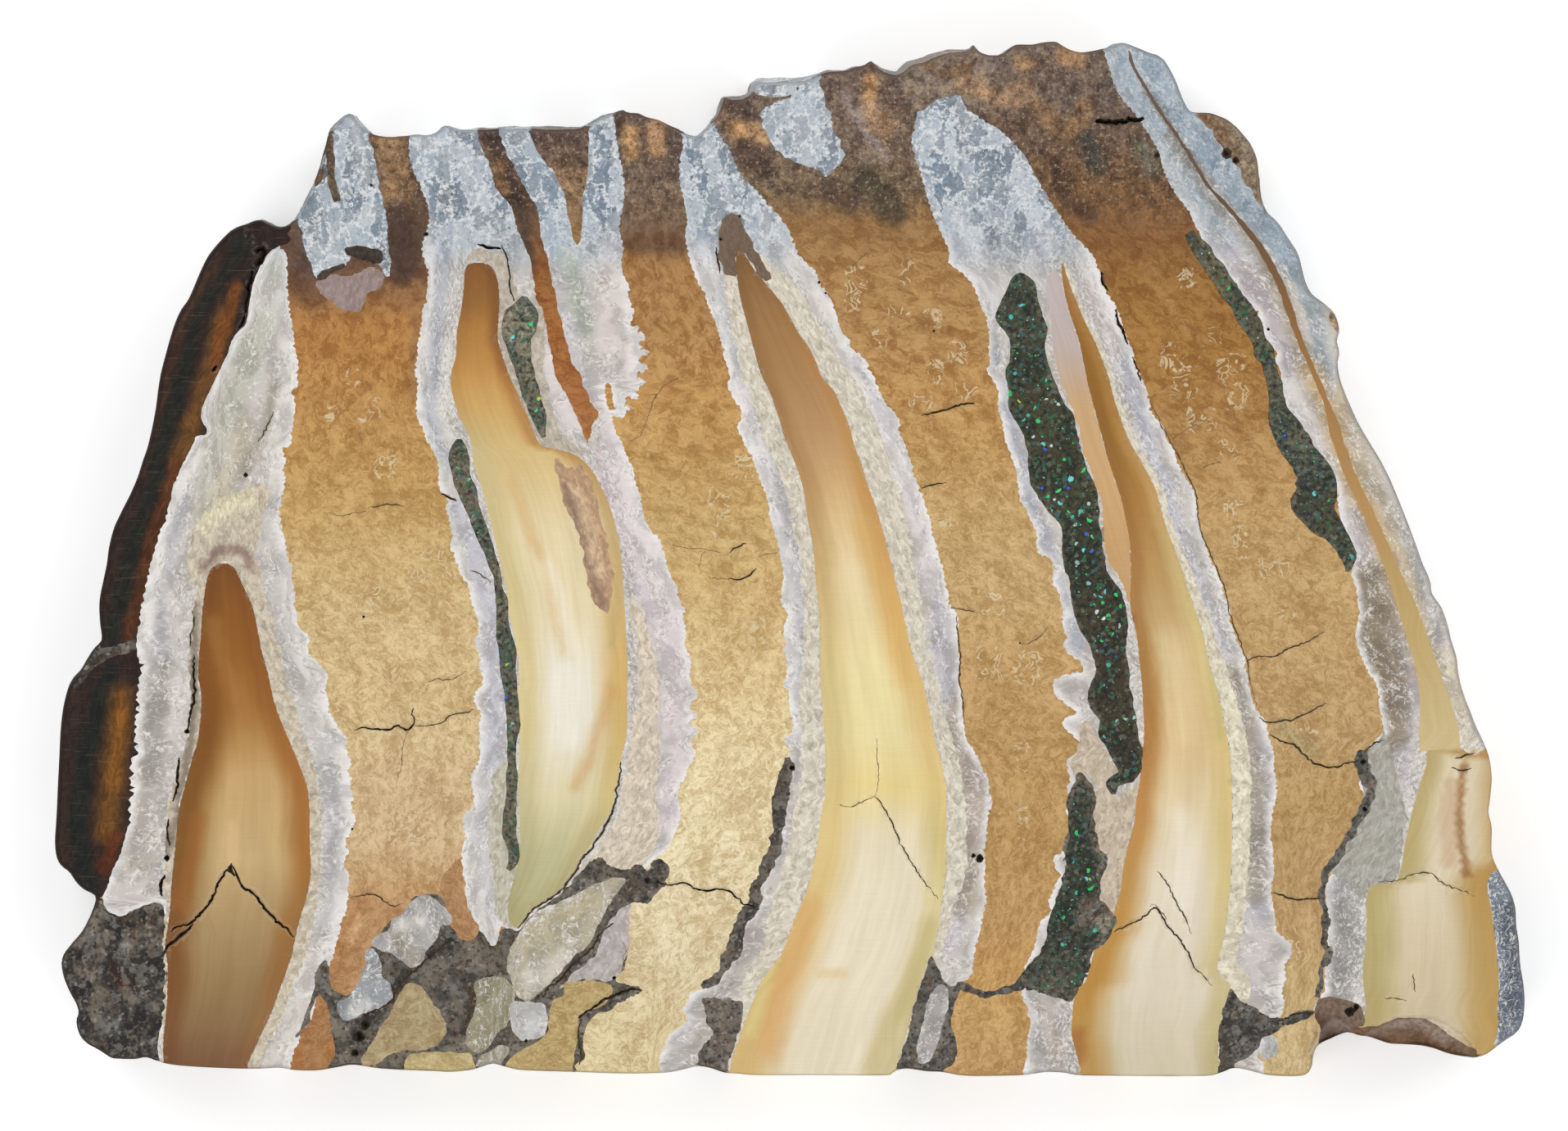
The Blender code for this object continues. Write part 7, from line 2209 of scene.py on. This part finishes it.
def make_enamel():
    s = Sheet("enamel")
    c, flow_, crust, rim_d, d_in, front_ = base(s)
    u, v, w = s.split(flow_)
    bend = s.vmath("SUBTRACT", s.noise(flow_, 6.0, 3, 0.55, 0, 1), (0.5, 0.5, 0.5))
    p = s.vmath("ADD", flow_, s.vmath("MULTIPLY", bend, (0.16, 0.16, 0.0)))
    soft = s.noise(s.stretch(p, (1.7, 0.8, 1), 0.2), 2.8, 3, 0.5, 0.2)
    out = s.mix(s.fit(soft, 0.38, 0.60), s.mix(1.0, c, (0.80, 0.80, 0.81, 1), "MULTIPLY"),
                s.mix(1.0, c, (1.08, 1.08, 1.09, 1), "MULTIPLY"))
    crumb = s.noise(s.stretch(p, (1.5, 0.9, 1), 0.4), 17.0, 5, 0.74, 0.2)
    grainy = s.fit(s.noise(s.stretch(flow_, (1.5, 0.9, 1), 0, (6, 2, 0)), 3.6, 3, 0.55), 0.47,
                   0.60)
    grainy = s.math("MAXIMUM", grainy, s.fit(d_in, 0.75, 0.25))
    out = s.mix(s.math("MULTIPLY", s.fit(crumb, 0.50, 0.62), s.math("MULTIPLY", grainy, 0.72)),
                out, s.tone((242, 238, 232)))
    out = s.mix(s.math("MULTIPLY", s.fit(crumb, 0.46, 0.36), s.math("MULTIPLY", grainy, 0.60)),
                out, s.tone((146, 137, 126)))
    vein = s.math("ABSOLUTE", s.math("SUBTRACT", s.noise(s.stretch(p, (1.3, 2.0, 1), 0.6), 4.2,
                                                        3, 0.6, 0.3), 0.5))
    out = s.mix(s.math("MULTIPLY", s.fit(vein, 0.020, 0.0), 0.55), out, s.tone((240, 237, 233)))
    fibre = s.noise(s.join(s.math("MULTIPLY", v, 26.0), s.math("MULTIPLY", w, 0.9)), 1.0, 2,
                    0.6, 0.4)
    near = s.fit(w, 0.0, 1.4, 0.26, 0.03)
    out = s.mix(s.math("MULTIPLY", s.fit(fibre, 0.52, 0.70), near), out,
                s.tone((176, 172, 172)))
    grid_ = s.read("grid", "Vector")
    push = s.vmath("SUBTRACT", s.noise(grid_, 6.0, 4, 0.65, 0, 1), (0.5, 0.5, 0.5))
    push = s.vmath("MULTIPLY", push, (0.42, 0.42, 0.0))
    cut = s.stretch(s.vmath("ADD", grid_, push), (1.35, 0.62, 1), 0.4)
    facet = s.rgb(s.cells(cut, 4.4, "Color"))
    seam = s.cells(cut, 4.4, "Distance", "DISTANCE_TO_EDGE")
    grit = s.noise(grid_, 17.0, 5, 0.78)
    slate = s.mix(s.fit(facet[0], 0.15, 0.85), s.tone((94, 112, 130)), s.tone((184, 194, 203)))
    slate = s.mix(s.fit(facet[1], 0.80, 0.95, 0.0, 0.6), slate, s.tone((92, 94, 96)))
    out = s.mix(s.math("MULTIPLY", crust, 0.64), out, slate)
    vein_2 = s.math("MULTIPLY", s.fit(seam, 0.20, 0.02), s.fit(grit, 0.40, 0.56))
    out = s.mix(s.math("MULTIPLY", s.math("MULTIPLY", vein_2, crust), 0.9), out,
                s.tone((228, 230, 230)))
    out = s.mix(s.math("MULTIPLY", s.fit(grit, 0.42, 0.34), s.math("MULTIPLY", crust, 0.55)),
                out, s.tone((84, 84, 84)))
    out = s.mix(s.math("MULTIPLY", s.fit(grit, 0.58, 0.68), s.math("MULTIPLY", crust, 0.5)),
                out, s.tone((232, 233, 232)))
    # painted shade: a thin dark fringe just inside the rounded edge of the polished face
    out = s.mix(s.fit(rim_d, 0.0, 0.08, 0.30, 0.0), out, s.tone((120, 112, 104)))
    return s.finish(out, worn(s, front_, 0.26, 0.55), crumb, 0.03,
                    worn(s, front_, 0.18, 1.0), 0.4)


def make_lining():
    s = Sheet("lining")
    c, flow_, crust, rim_d, d_in, front_ = base(s)
    p = s.vmath("ADD", flow_, s.vmath("MULTIPLY", s.noise(flow_, 9.0, 2, 0.5, 0, 1),
                                      (0.10, 0.10, 0.0)))
    cell = s.rgb(s.cells(s.stretch(p, (1.3, 0.8, 1), 0.4), 13.0, "Color"))
    out = s.mix(s.fit(cell[0], 0.1, 0.9, 0.0, 1.0, "LINEAR"),
                s.mix(1.0, c, (0.86, 0.85, 0.83, 1), "MULTIPLY"),
                s.mix(1.0, c, (1.08, 1.08, 1.08, 1), "MULTIPLY"))
    grain = s.noise(s.stretch(p, (1.7, 0.8, 1), 0.25), 12.0, 5, 0.68, 0.3)
    out = s.mix(s.fit(grain, 0.50, 0.64, 0.0, 0.9), out,
                s.mix(1.0, c, (1.30, 1.31, 1.33, 1), "MULTIPLY"))
    out = s.mix(s.fit(grain, 0.45, 0.34, 0.0, 0.42), out, s.tone((132, 118, 102)))
    return s.finish(out, worn(s, front_, 0.45, 0.7), grain, 0.05,
                    worn(s, front_, 0.5, 1.0), 0.4)


def make_dentine():
    s = Sheet("dentine")
    c, flow_, crust, rim_d, d_in, front_ = base(s)
    mm = s.vmath("MULTIPLY", s.read("grid", "Vector"), (3.404, -3.404, 1.0))
    scratch = s.noise(s.stretch(mm, (0.5, 26.0, 1), 0.45), 1.0, 3, 0.6, 0.0)
    growth = s.noise(s.stretch(flow_, (16.0, 0.7, 1)), 1.0, 3, 0.55, 0.5)
    v = s.math("ADD", s.math("MULTIPLY", scratch, 0.35), s.math("MULTIPLY", growth, 0.65))
    out = s.mix(s.fit(v, 0.3, 0.7), s.mix(1.0, c, (0.955, 0.94, 0.90, 1), "MULTIPLY"),
                s.mix(1.0, c, (1.04, 1.045, 1.06, 1), "MULTIPLY"))
    return s.finish(out, worn(s, front_, 0.24, 0.5), scratch, 0.004,
                    worn(s, front_, 0.15, 0.8), 0.45)


def make_rim():
    s = Sheet("dark_rim")
    c, flow_, crust, rim_d, d_in, front_ = base(s)
    mm = s.vmath("MULTIPLY", s.read("grid", "Vector"), (3.404, -3.404, 1.0))
    scratch = s.noise(s.stretch(mm, (0.7, 22.0, 1), 0.1), 1.0, 3, 0.6)
    mottle = s.noise(s.stretch(flow_, (3.0, 1.2, 1)), 5.0, 4, 0.65, 0.8)
    out = s.mix(s.fit(mottle, 0.35, 0.68), s.mix(1.0, c, (0.72, 0.70, 0.68, 1), "MULTIPLY"),
                s.mix(1.0, c, (1.35, 1.25, 1.12, 1), "MULTIPLY"))
    out = s.mix(s.fit(scratch, 0.62, 0.74, 0.0, 0.16), out, s.tone((170, 140, 110)))
    # painted shade: a thin near-black fringe just inside the rounded edge of the polished face
    out = s.mix(s.fit(rim_d, 0.0, 0.12, 0.6, 0.0), out, s.tone((34, 24, 20)))
    return s.finish(out, worn(s, front_, 0.22, 0.5), scratch, 0.004,
                    worn(s, front_, 0.15, 1.0), 0.3)


def make_matrix():
    s = Sheet("grit")
    c, flow_, crust, rim_d, d_in, front_ = base(s)
    p = s.read("grid", "Vector")
    cell = s.rgb(s.cells(p, 30.0, "Color"))
    cloud = s.noise(p, 4.5, 3, 0.6)
    grain = s.noise(p, 14.0, 5, 0.8)
    out = s.mix(s.fit(cloud, 0.42, 0.58), s.mix(1.0, c, (0.56, 0.55, 0.54, 1), "MULTIPLY"),
                s.mix(1.0, c, (1.12, 1.10, 1.06, 1), "MULTIPLY"))
    push = s.vmath("SUBTRACT", s.noise(p, 12.0, 3, 0.6, 0, 1), (0.5, 0.5, 0.5))
    push = s.vmath("MULTIPLY", push, (0.12, 0.12, 0.0))
    lump = s.rgb(s.cells(s.vmath("ADD", p, push), 9.0, "Color"))
    out = s.mix(s.fit(lump[0], 0.70, 0.80, 0.0, 0.45), out, s.tone((132, 126, 118)))
    out = s.mix(s.fit(lump[1], 0.76, 0.86, 0.0, 0.42), out, s.tone((100, 80, 57)))
    out = s.mix(s.fit(grain, 0.52, 0.70, 0.0, 0.50), out, s.tone((140, 134, 125)))
    mud = s.noise(s.stretch(p, (1, 1, 1), 0, (4, 4, 0)), 3.0, 3, 0.6)
    out = s.mix(s.fit(mud, 0.50, 0.66, 0.0, 0.45), out, s.tone((140, 128, 112)))
    out = s.mix(s.fit(grain, 0.46, 0.36, 0.0, 0.80), out, s.tone((32, 29, 26)))
    out = s.mix(s.fit(cell[0], 0.92, 0.98, 0.0, 0.35), out, s.tone((176, 172, 164)))
    out = s.mix(s.fit(cell[1], 0.88, 0.96, 0.0, 0.7), out, s.tone((34, 30, 27)))
    return s.finish(out, worn(s, front_, 0.6, 0.85), grain, 0.06,
                    worn(s, front_, 0.6, 1.0), 0.3)


def make_plain(name, rough, gloss):
    s = Sheet(name)
    c, flow_, crust, rim_d, d_in, front_ = base(s)
    grain = s.noise(flow_, 16.0, 3, 0.65, 0.3)
    out = s.mix(s.fit(grain, 0.35, 0.65), s.mix(1.0, c, (0.72, 0.70, 0.68, 1), "MULTIPLY"),
                s.mix(1.0, c, (1.25, 1.24, 1.22, 1), "MULTIPLY"))
    return s.finish(out, rough, grain, 0.03, 0.6, gloss)


MATERIALS = [make_cementum(), make_enamel(), make_lining(), make_dentine(), make_rim(),
             # finish of the cracks, which are darker than the tissue round them
             make_matrix(), make_plain("dark_cracks", 0.85, 0.15),
             # finish of the dark pits, also worn by the cap_shadow areas, which are painted shadow
             make_plain("dark_pits_and_painted_shadow", 0.85, 0.15), None, make_plain("broken_dentine", 0.55, 0.35)]


# ------------------------------------------------------------------ the tooth
def mesh_of(name, pos, tri, slot_of, materials, data, uv=None, sharp=None):
    me = bpy.data.meshes.new(name)
    me.vertices.add(len(pos))
    me.vertices.foreach_set("co", np.ascontiguousarray(pos, np.float32).ravel())
    me.loops.add(len(tri) * 3)
    me.loops.foreach_set("vertex_index", np.ascontiguousarray(tri, np.int32).ravel())
    me.polygons.add(len(tri))
    me.polygons.foreach_set("loop_start", np.arange(0, len(tri) * 3, 3, dtype=np.int32))
    for m in materials:
        me.materials.append(m)
    me.polygons.foreach_set("material_index", slot_of.astype(np.int32))
    me.update(calc_edges=True)
    if uv is not None:
        layer = me.uv_layers.new(name="OFBake")
        layer.uv.foreach_set("vector", uv.astype(np.float32).ravel())
    for key, kind, values in data:
        layer = me.attributes.new(key, kind, "CORNER")
        field = "vector" if kind == "FLOAT_VECTOR" else "color"
        layer.data.foreach_set(field, values.astype(np.float32).ravel())
    me.polygons.foreach_set("use_smooth", np.ones(len(tri), bool))
    if sharp is not None:
        ends = np.empty(len(me.edges) * 2, np.int32)
        me.edges.foreach_get("vertices", ends)
        ends = ends.reshape(-1, 2)
        layer = me.attributes.new("sharp_edge", "BOOLEAN", "EDGE")
        layer.data.foreach_set("value", sharp[ends[:, 0]] & sharp[ends[:, 1]])
    obj = bpy.data.objects.new(name, me)
    bpy.context.scene.collection.objects.link(obj)
    return obj


n_front, n_back = len(tri_parts[0]), len(tri_parts[1])
n_ring = len(outline)
uv = np.zeros((len(tri), 3, 2))
is_front = np.arange(len(tri)) < n_front
is_back = (np.arange(len(tri)) >= n_front) & (np.arange(len(tri)) < n_front + n_back)
xy_c = see[tri]
uv[is_front] = np.stack([(xy_c[is_front, :, 0] - 50) / 1830,
                         0.003 + (1330 - xy_c[is_front, :, 1]) / 1830], 2)
uv[is_back] = np.stack([0.002 + (xy_c[is_back, :, 0] - 50) / 1830 * 0.4,
                        0.714 + (1330 - xy_c[is_back, :, 1]) / 1830 * 0.4], 2)


def unroll(first, ring_rows, folds, low_v, tall):
    """UV of the triangles between rings, folded into rows of the picture."""
    n = len(ring_rows[0])
    place = {}
    at = pos[ring_rows[0]]
    step = np.hypot(*(np.roll(at, -1, 0) - at)[:, :2].T)
    run_ = np.concatenate([[0], np.cumsum(step)])
    for k, ring_ in enumerate(ring_rows):
        for i, v_ in enumerate(ring_):
            place[int(v_)] = (i, k)
    per = int(math.ceil(n / folds))
    longest = max(run_[min((f + 1) * per, n)] - run_[f * per] for f in range(folds))
    last = len(ring_rows) - 1
    for k in range(last):
        for half in range(2):
            for i in range(n):
                t_ = first + (k * 2 + half) * n + i
                f = i // per
                for c_ in range(3):
                    j, row = place[int(tri[t_, c_])]
                    r_ = run_[i] if j == i else run_[i + 1]
                    uv[t_, c_] = (0.415 + 0.58 * (r_ - run_[f * per]) / longest,
                                  low_v + tall * (f + 0.04 + 0.92 * row / last) / folds)
    return first + last * 2 * n


spot = unroll(n_front + n_back, rows, 3, 0.716, 0.20)
for k in range(len(holes)):
    spot = unroll(spot, [new_row[f_rings[k + 1]], row_b[b_rings[k + 1]]], 1,
                  0.922 + 0.015 * k, 0.012)
print("uv", spot, len(tri), uv.min(), uv.max())

sharp = np.zeros(len(pos), bool)
for k in range(len(holes)):
    sharp[new_row[f_rings[k + 1]]] = True
    sharp[row_b[b_rings[k + 1]]] = True
sharp[row_b[b_rings[0]]] = True
tooth = mesh_of("tooth", pos, tri, area_kind[tri_area],
                [m if m else MATERIALS[0] for m in MATERIALS],
                [("col", "FLOAT_COLOR", col), ("flow", "FLOAT_VECTOR", flow),
                 ("amount", "FLOAT_COLOR", amount), ("extra", "FLOAT_COLOR", extra),
                 ("grid", "FLOAT_VECTOR", grid)],
                uv.reshape(-1, 2), sharp)
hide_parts("tooth_slice")
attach(tooth, "root")

# ------------------------------------------------------------------ resin fills with glitter
resin_sheet = Sheet("dark_resin")
at = resin_sheet.add("ShaderNodeTexCoord", {}).outputs["Object"]
grid = resin_sheet.vmath("MULTIPLY", at, (294.0, 294.0, 294.0))
cell = resin_sheet.rgb(resin_sheet.cells(grid, 24.0, "Color"))
grain = resin_sheet.noise(grid, 16.0, 3, 0.65, 0.3)
cloud = resin_sheet.noise(grid, 2.4, 2, 0.5, 0.3)
tone = resin_sheet.tone
own = resin_sheet.read("col")
body = resin_sheet.mix(resin_sheet.fit(cloud, 0.40, 0.60),
                       resin_sheet.mix(1.0, own, (0.62, 0.74, 0.66, 1), "MULTIPLY"),
                       resin_sheet.mix(1.0, own, (1.30, 1.16, 0.96, 1), "MULTIPLY"))
body = resin_sheet.mix(resin_sheet.fit(grain, 0.52, 0.68, 0.0, 0.7), body,
                       resin_sheet.mix(1.0, own, (2.6, 2.5, 2.1, 1), "MULTIPLY"))
body = resin_sheet.mix(resin_sheet.fit(grain, 0.46, 0.36, 0.0, 0.8), body, tone((16, 18, 13)))
body = resin_sheet.mix(resin_sheet.fit(cell[0], 0.93, 0.97, 0.0, 0.5), body,
                       tone((120, 122, 104)))
# green and teal specks: glitter in the resin, tinted as its sparkle, so partly painted glint
body = resin_sheet.mix(resin_sheet.fit(cell[1], 0.94, 0.97, 0.0, 0.7), body, tone((38, 104, 72)))
body = resin_sheet.mix(resin_sheet.fit(cell[2], 0.96, 0.98, 0.0, 0.7), body, tone((62, 100, 108)))
resin = resin_sheet.finish(body, 0.35, grain, 0.02, 0.6, 0.35, 0.35)

# flake finish: the glitter's own colour with the brightness of its glint painted into that colour
glint_flake_sheet = Sheet("glitter")
flake = glint_flake_sheet.finish(glint_flake_sheet.read("col"), 0.25, None, 0, 0, 0.6)

# flake colours: real coloured glitter made as bright as its glints, so partly painted glint; WHITE is
# painted sparkle
GREEN, TEAL, CYAN, BLUE = (48, 214, 110), (70, 188, 170), (110, 214, 222), (60, 96, 220)
YELLOW, PALE, WHITE = (176, 220, 60), (168, 206, 196), (226, 232, 226)
GLINT_FLAKES = [  # x, y, half size, colour
    (1248, 375, 5, CYAN), (1234, 387, 3, TEAL), (1239, 456, 3, TEAL), (1234, 480, 4.5, GREEN),
    (1245, 489, 4, YELLOW), (1261, 497, 4, GREEN), (1255, 507, 3, TEAL), (1249, 512, 3, TEAL),
    (1267, 514, 3.5, GREEN), (1276, 464, 3, TEAL), (1277, 489, 3, WHITE), (1292, 494, 3, WHITE),
    (1261, 533, 3, WHITE), (1273, 543, 3.5, CYAN), (1276, 549, 3, BLUE), (1283, 544, 2.5, WHITE),
    (1299, 561, 3, GREEN), (1320, 573, 5, GREEN), (1307, 585, 3.5, CYAN), (1291, 597, 5.5, GREEN),
    (1272, 596, 2.5, BLUE), (1304, 596, 2.5, BLUE), (1279, 606, 3, GREEN), (1294, 614, 4, CYAN),
    (1287, 610, 2.5, WHITE), (1329, 615, 3, WHITE), (1305, 624, 3.5, GREEN), (1319, 624, 3, TEAL),
    (1309, 631, 3, TEAL), (1330, 634, 5, GREEN), (1312, 640, 3.5, PALE), (1326, 652, 3, BLUE),
    (1333, 657, 3, GREEN), (1314, 664, 3.5, PALE), (1323, 672, 3.5, CYAN), (1332, 672, 4, BLUE),
    (1315, 687, 3, PALE), (1329, 712, 3, PALE), (1350, 722, 3.5, CYAN), (1337, 726, 3, TEAL),
    (1344, 728, 3, TEAL), (1346, 736, 3, GREEN), (1368, 740, 3, GREEN), (1362, 726, 3, GREEN),
    (1340, 748, 3.5, WHITE), (1353, 752, 3.5, GREEN), (1347, 755, 2.5, WHITE),
    (1365, 764, 4, PALE), (1357, 774, 3, GREEN), (1345, 782, 3, GREEN), (1353, 812, 3, TEAL),
    (1349, 899, 3, TEAL), (1362, 879, 3, PALE), (1374, 877, 3, PALE), (1384, 876, 3, PALE),
    (1368, 965, 4, CYAN), (1315, 1017, 4, GREEN), (1318, 1021, 2.5, BLUE), (1309, 1052, 3, TEAL),
    (1328, 1063, 3.5, GREEN), (1326, 1073, 3, CYAN), (1331, 1073, 3, YELLOW),
    (1331, 1084, 4, GREEN), (1315, 1090, 3, TEAL), (1309, 1100, 3, TEAL), (1298, 1120, 3, GREEN),
    (1336, 1136, 3, TEAL), (1297, 1153, 3, TEAL), (1498, 351, 5, GREEN), (1569, 532, 3, BLUE),
    (1605, 603, 3.5, CYAN), (1649, 680, 4, TEAL), (557, 575, 4.5, GREEN), (573, 586, 3, PALE),
    (561, 612, 3.5, TEAL), (579, 631, 3.5, TEAL), (621, 813, 4.5, YELLOW), (617, 851, 3, BLUE),
    (626, 884, 3, PALE), (625, 411, 4, CYAN), (648, 396, 3.5, GREEN), (654, 500, 3, GREEN),
    (658, 487, 3, YELLOW)]


def hexagon(x, y, z, half, turn, tilt_x, tilt_y, long_=1.0):
    """A thin six-sided flake, as 12 points and 20 triangles."""
    a = turn + np.arange(6) * math.pi / 3
    px, py = half * long_ * np.cos(a), half * np.sin(a)
    px, py = px * math.cos(turn) - py * math.sin(turn), px * math.sin(turn) + py * math.cos(turn)
    lift = (px * tilt_x + py * tilt_y)
    lift = lift - lift.max()
    top_ = np.stack([x + px, y + py, z + lift * STEP], 1)
    low_ = top_ - [0, 0, 0.25 * STEP]
    p = np.vstack([top_, low_])
    t = [(0, i + 1, i) for i in range(1, 5)] + [(6, 6 + i, 7 + i) for i in range(1, 5)]
    for i in range(6):
        j = (i + 1) % 6
        t += [(i, j, 6 + j), (i, 6 + j, 6 + i)]
    return p, np.array(t)


fill_pieces = [("fill_centre", "resin_fill_centre", 300), ("fill_lower", "resin_fill_lower", 110),
               ("fill_right", "resin_fill_right", 70),
               ("fill_left_long", "resin_fill_left_long", 24),
               ("fill_left_short", "resin_fill_left_short", 8)]


def fill_tone(name, xy, loop):
    """Tone of the resin: olive black, with grey crumbs towards its walls and thin ends."""
    near = tree_of(np.vstack([loop, (loop + np.roll(loop, -1, 0)) / 2]))
    d = np.array([near.find((x, y, 0.0))[2] for x, y in xy])
    y = xy[:, 1] + 10 * wander(xy, 30, 77, 2)
    if name == "fill_centre":
        out = ramp(y, [(330, (66, 68, 60)), (400, (50, 54, 43)), (480, (52, 53, 38)),
                       (700, (48, 49, 36)), (800, (54, 47, 34)), (940, (48, 45, 36))])
    elif name == "fill_lower":
        out = ramp(y, [(950, (60, 62, 54)), (1040, (42, 47, 37)), (1110, (44, 47, 39)),
                       (1150, (58, 58, 51)), (1210, (76, 74, 68))])
        grey = 1 - smooth(np.hypot(xy[:, 0] - 1348, xy[:, 1] - 1126), 8, 22)
        out = blend(out, (118, 114, 106), grey)
    elif name == "fill_right":
        out = ramp(y, [(284, (84, 80, 66)), (420, (72, 72, 60)), (500, (72, 74, 64)),
                       (560, (78, 80, 72)), (610, (54, 56, 44)), (700, (74, 74, 64))])
    elif name == "fill_left_long":
        out = np.tile(arr((86, 84, 74)), (len(xy), 1))
    else:
        out = ramp(y, [(360, (112, 108, 98)), (420, (116, 114, 102)), (470, (88, 88, 76)),
                       (530, (98, 94, 84))])
    return blend(out, (98, 95, 86), (1 - smooth(d + 2 * wander(xy, 8, 78, 2), 0.5, 6)) * 0.5)
f_area = 0.5 * np.abs(np.cross(f_xy[f_tri[:, 1]] - f_xy[f_tri[:, 0]],
                               f_xy[f_tri[:, 2]] - f_xy[f_tri[:, 0]]))
for k, (name, node, small) in enumerate(fill_pieces):
    r = np.random.default_rng(1200 + k)
    mine = f_tri[f_owner == k + 1]
    used_k = np.unique(mine)
    ring_k = f_rings[k + 1]
    row_k = np.full(len(f_xy), -1)
    row_k[used_k] = np.arange(len(used_k))
    xy = f_xy[used_k].copy()
    loop = f_xy[ring_k]
    n = left_normals(loop, True)
    if winding(loop[:1] + n[:1] * 1.5, loop)[0]:
        n = -n
    xy[row_k[ring_k]] -= n * 0.3
    z_top = TOP - 1e-3 * (0.030 + 0.016 * wander(xy, 9, 1300 + k, 2) + 0.012 * wander(xy, 30, 7))
    z_top = np.minimum(z_top, TOP - 0.008e-3)
    top_pos = to_world(xy, z_top)
    low_pos = to_world(xy, np.full(len(xy), 0.03e-3))
    p = np.vstack([top_pos, low_pos])
    t_top = row_k[mine]
    t_low = t_top[:, ::-1] + len(xy)
    ring_t = row_k[ring_k]
    side_t = strips(ring_t, ring_t + len(xy))
    body_t = np.vstack([t_top, t_low, side_t])
    if not consistent(body_t):
        body_t = np.vstack([t_top, t_low, side_t[:, ::-1]])
    a, b, c = p[body_t[:, 0]], p[body_t[:, 1]], p[body_t[:, 2]]
    if np.einsum("ij,ij->i", a, np.cross(b, c)).sum() < 0:
        body_t = body_t[:, ::-1]
    print(name, "closed", consistent(body_t), len(body_t))
    points_, tris_, tones = [p], [body_t], [fill_tone(name, np.vstack([xy, xy]), loop)[body_t.ravel()]]
    slots = [np.zeros(len(body_t))]
    start = len(p)
    spots = [s_ for s_ in GLINT_FLAKES if winding(arr([s_[:2]]), loop)[0]]
    weight = f_area[f_owner == k + 1]
    pick = r.choice(len(mine), small, p=weight / weight.sum())
    corners = f_xy[mine[pick]]
    w = r.dirichlet((1, 1, 1), small)
    where = np.einsum("ij,ijk->ik", w, corners)
    keep_off = tree_of(loop)
    # scattered flakes: the bright tints are glitter painted as bright as its glints, the dull ones are its
    # own colour
    tints = [GREEN, TEAL, PALE, CYAN, BLUE, (96, 120, 104), (126, 136, 124), (38, 128, 84),
             (60, 110, 96), (132, 134, 112)]
    odds = np.array([0.09, 0.08, 0.05, 0.04, 0.02, 0.20, 0.15, 0.15, 0.16, 0.06])
    for x, y in where:
        if keep_off.find((x, y, 0.0))[2] < 3.2:
            continue
        spots.append((x, y, r.uniform(0.6, 1.45), tints[r.choice(len(tints), p=odds / odds.sum())]))
    for x, y, half, tone_ in spots:
        size = half * r.uniform(0.75, 1.0)
        fp, ft = hexagon((x - MID_X), (MID_Y - y), 0.0, size, r.uniform(0, 6.3),
                         r.uniform(-0.25, 0.25), r.uniform(-0.25, 0.25), r.uniform(0.8, 1.3))
        fp[:, :2] *= STEP
        fp[:, 2] += TOP - 0.004e-3
        points_.append(fp)
        tris_.append(ft + start)
        start += 12
        tones.append(np.tile(arr(tone_) * r.uniform(0.85, 1.0), (len(ft) * 3, 1)))
        slots.append(np.ones(len(ft)))
    all_t, all_p = np.vstack(tris_), np.vstack(points_)
    tones = np.vstack(tones)
    shade_ = np.column_stack([linear(tones), np.ones(len(tones))])
    edge_k = np.zeros(len(all_p), bool)
    edge_k[ring_t] = True
    edge_k[ring_t + len(xy)] = True
    edge_k[len(p):] = True
    piece = mesh_of("glitter_" + name, all_p, all_t, np.concatenate(slots), [resin, flake],
                    [("col", "FLOAT_COLOR", shade_)], None, edge_k)
    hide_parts(node)
    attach(piece, "root")

# ------------------------------------------------------------------ room, light and camera
scene = bpy.context.scene
scene.view_settings.view_transform = "Standard"
world = bpy.data.worlds.new("studio")
scene.world = world
world.use_nodes = True
world.node_tree.nodes["Background"].inputs[0].default_value = (0.97, 0.985, 1.0, 1)
world.node_tree.nodes["Background"].inputs[1].default_value = 0.36

floor_mesh = bpy.data.meshes.new("floor")
floor_mesh.from_pydata([(-0.6, -0.6, 0), (0.6, -0.6, 0), (0.6, 0.6, 0), (-0.6, 0.6, 0)], [],
                       [(0, 1, 2, 3)])
floor = bpy.data.objects.new("floor", floor_mesh)
scene.collection.objects.link(floor)
paper = Sheet("paper")
glow = paper.add("ShaderNodeBsdfPrincipled", {
    "Base Color": (0.93, 0.93, 0.93, 1), "Roughness": 0.9, "Specular IOR Level": 0.1,
    "Emission Color": (1.0, 1.0, 1.0, 1), "Emission Strength": 0.36})
paper.add("ShaderNodeOutputMaterial", {0: glow.outputs[0]})
floor_mesh.materials.append(paper.material)

for turn, strength in ((130, 0.80), (40, 0.62), (220, 0.62), (310, 0.56)):
    lamp = bpy.data.lights.new(f"soft_{turn}", "AREA")
    lamp.shape = "SQUARE"
    lamp.size = 0.34
    lamp.energy = strength
    spot_ = bpy.data.objects.new(f"soft_{turn}", lamp)
    a = math.radians(turn)
    spot_.location = (0.36 * math.cos(a), 0.36 * math.sin(a), 0.36)
    way = Vector((0, 0, 0)) - Vector(spot_.location)
    spot_.rotation_euler = way.to_track_quat("-Z", "Y").to_euler()
    scene.collection.objects.link(spot_)

eye = bpy.data.cameras.new("eye")
eye.lens = 250
eye.sensor_width = 36
eye.clip_start = 0.01
camera = bpy.data.objects.new("eye", eye)
camera.location = (-0.2553e-3, -0.340e-3, 0.4589)
scene.collection.objects.link(camera)
scene.camera = camera
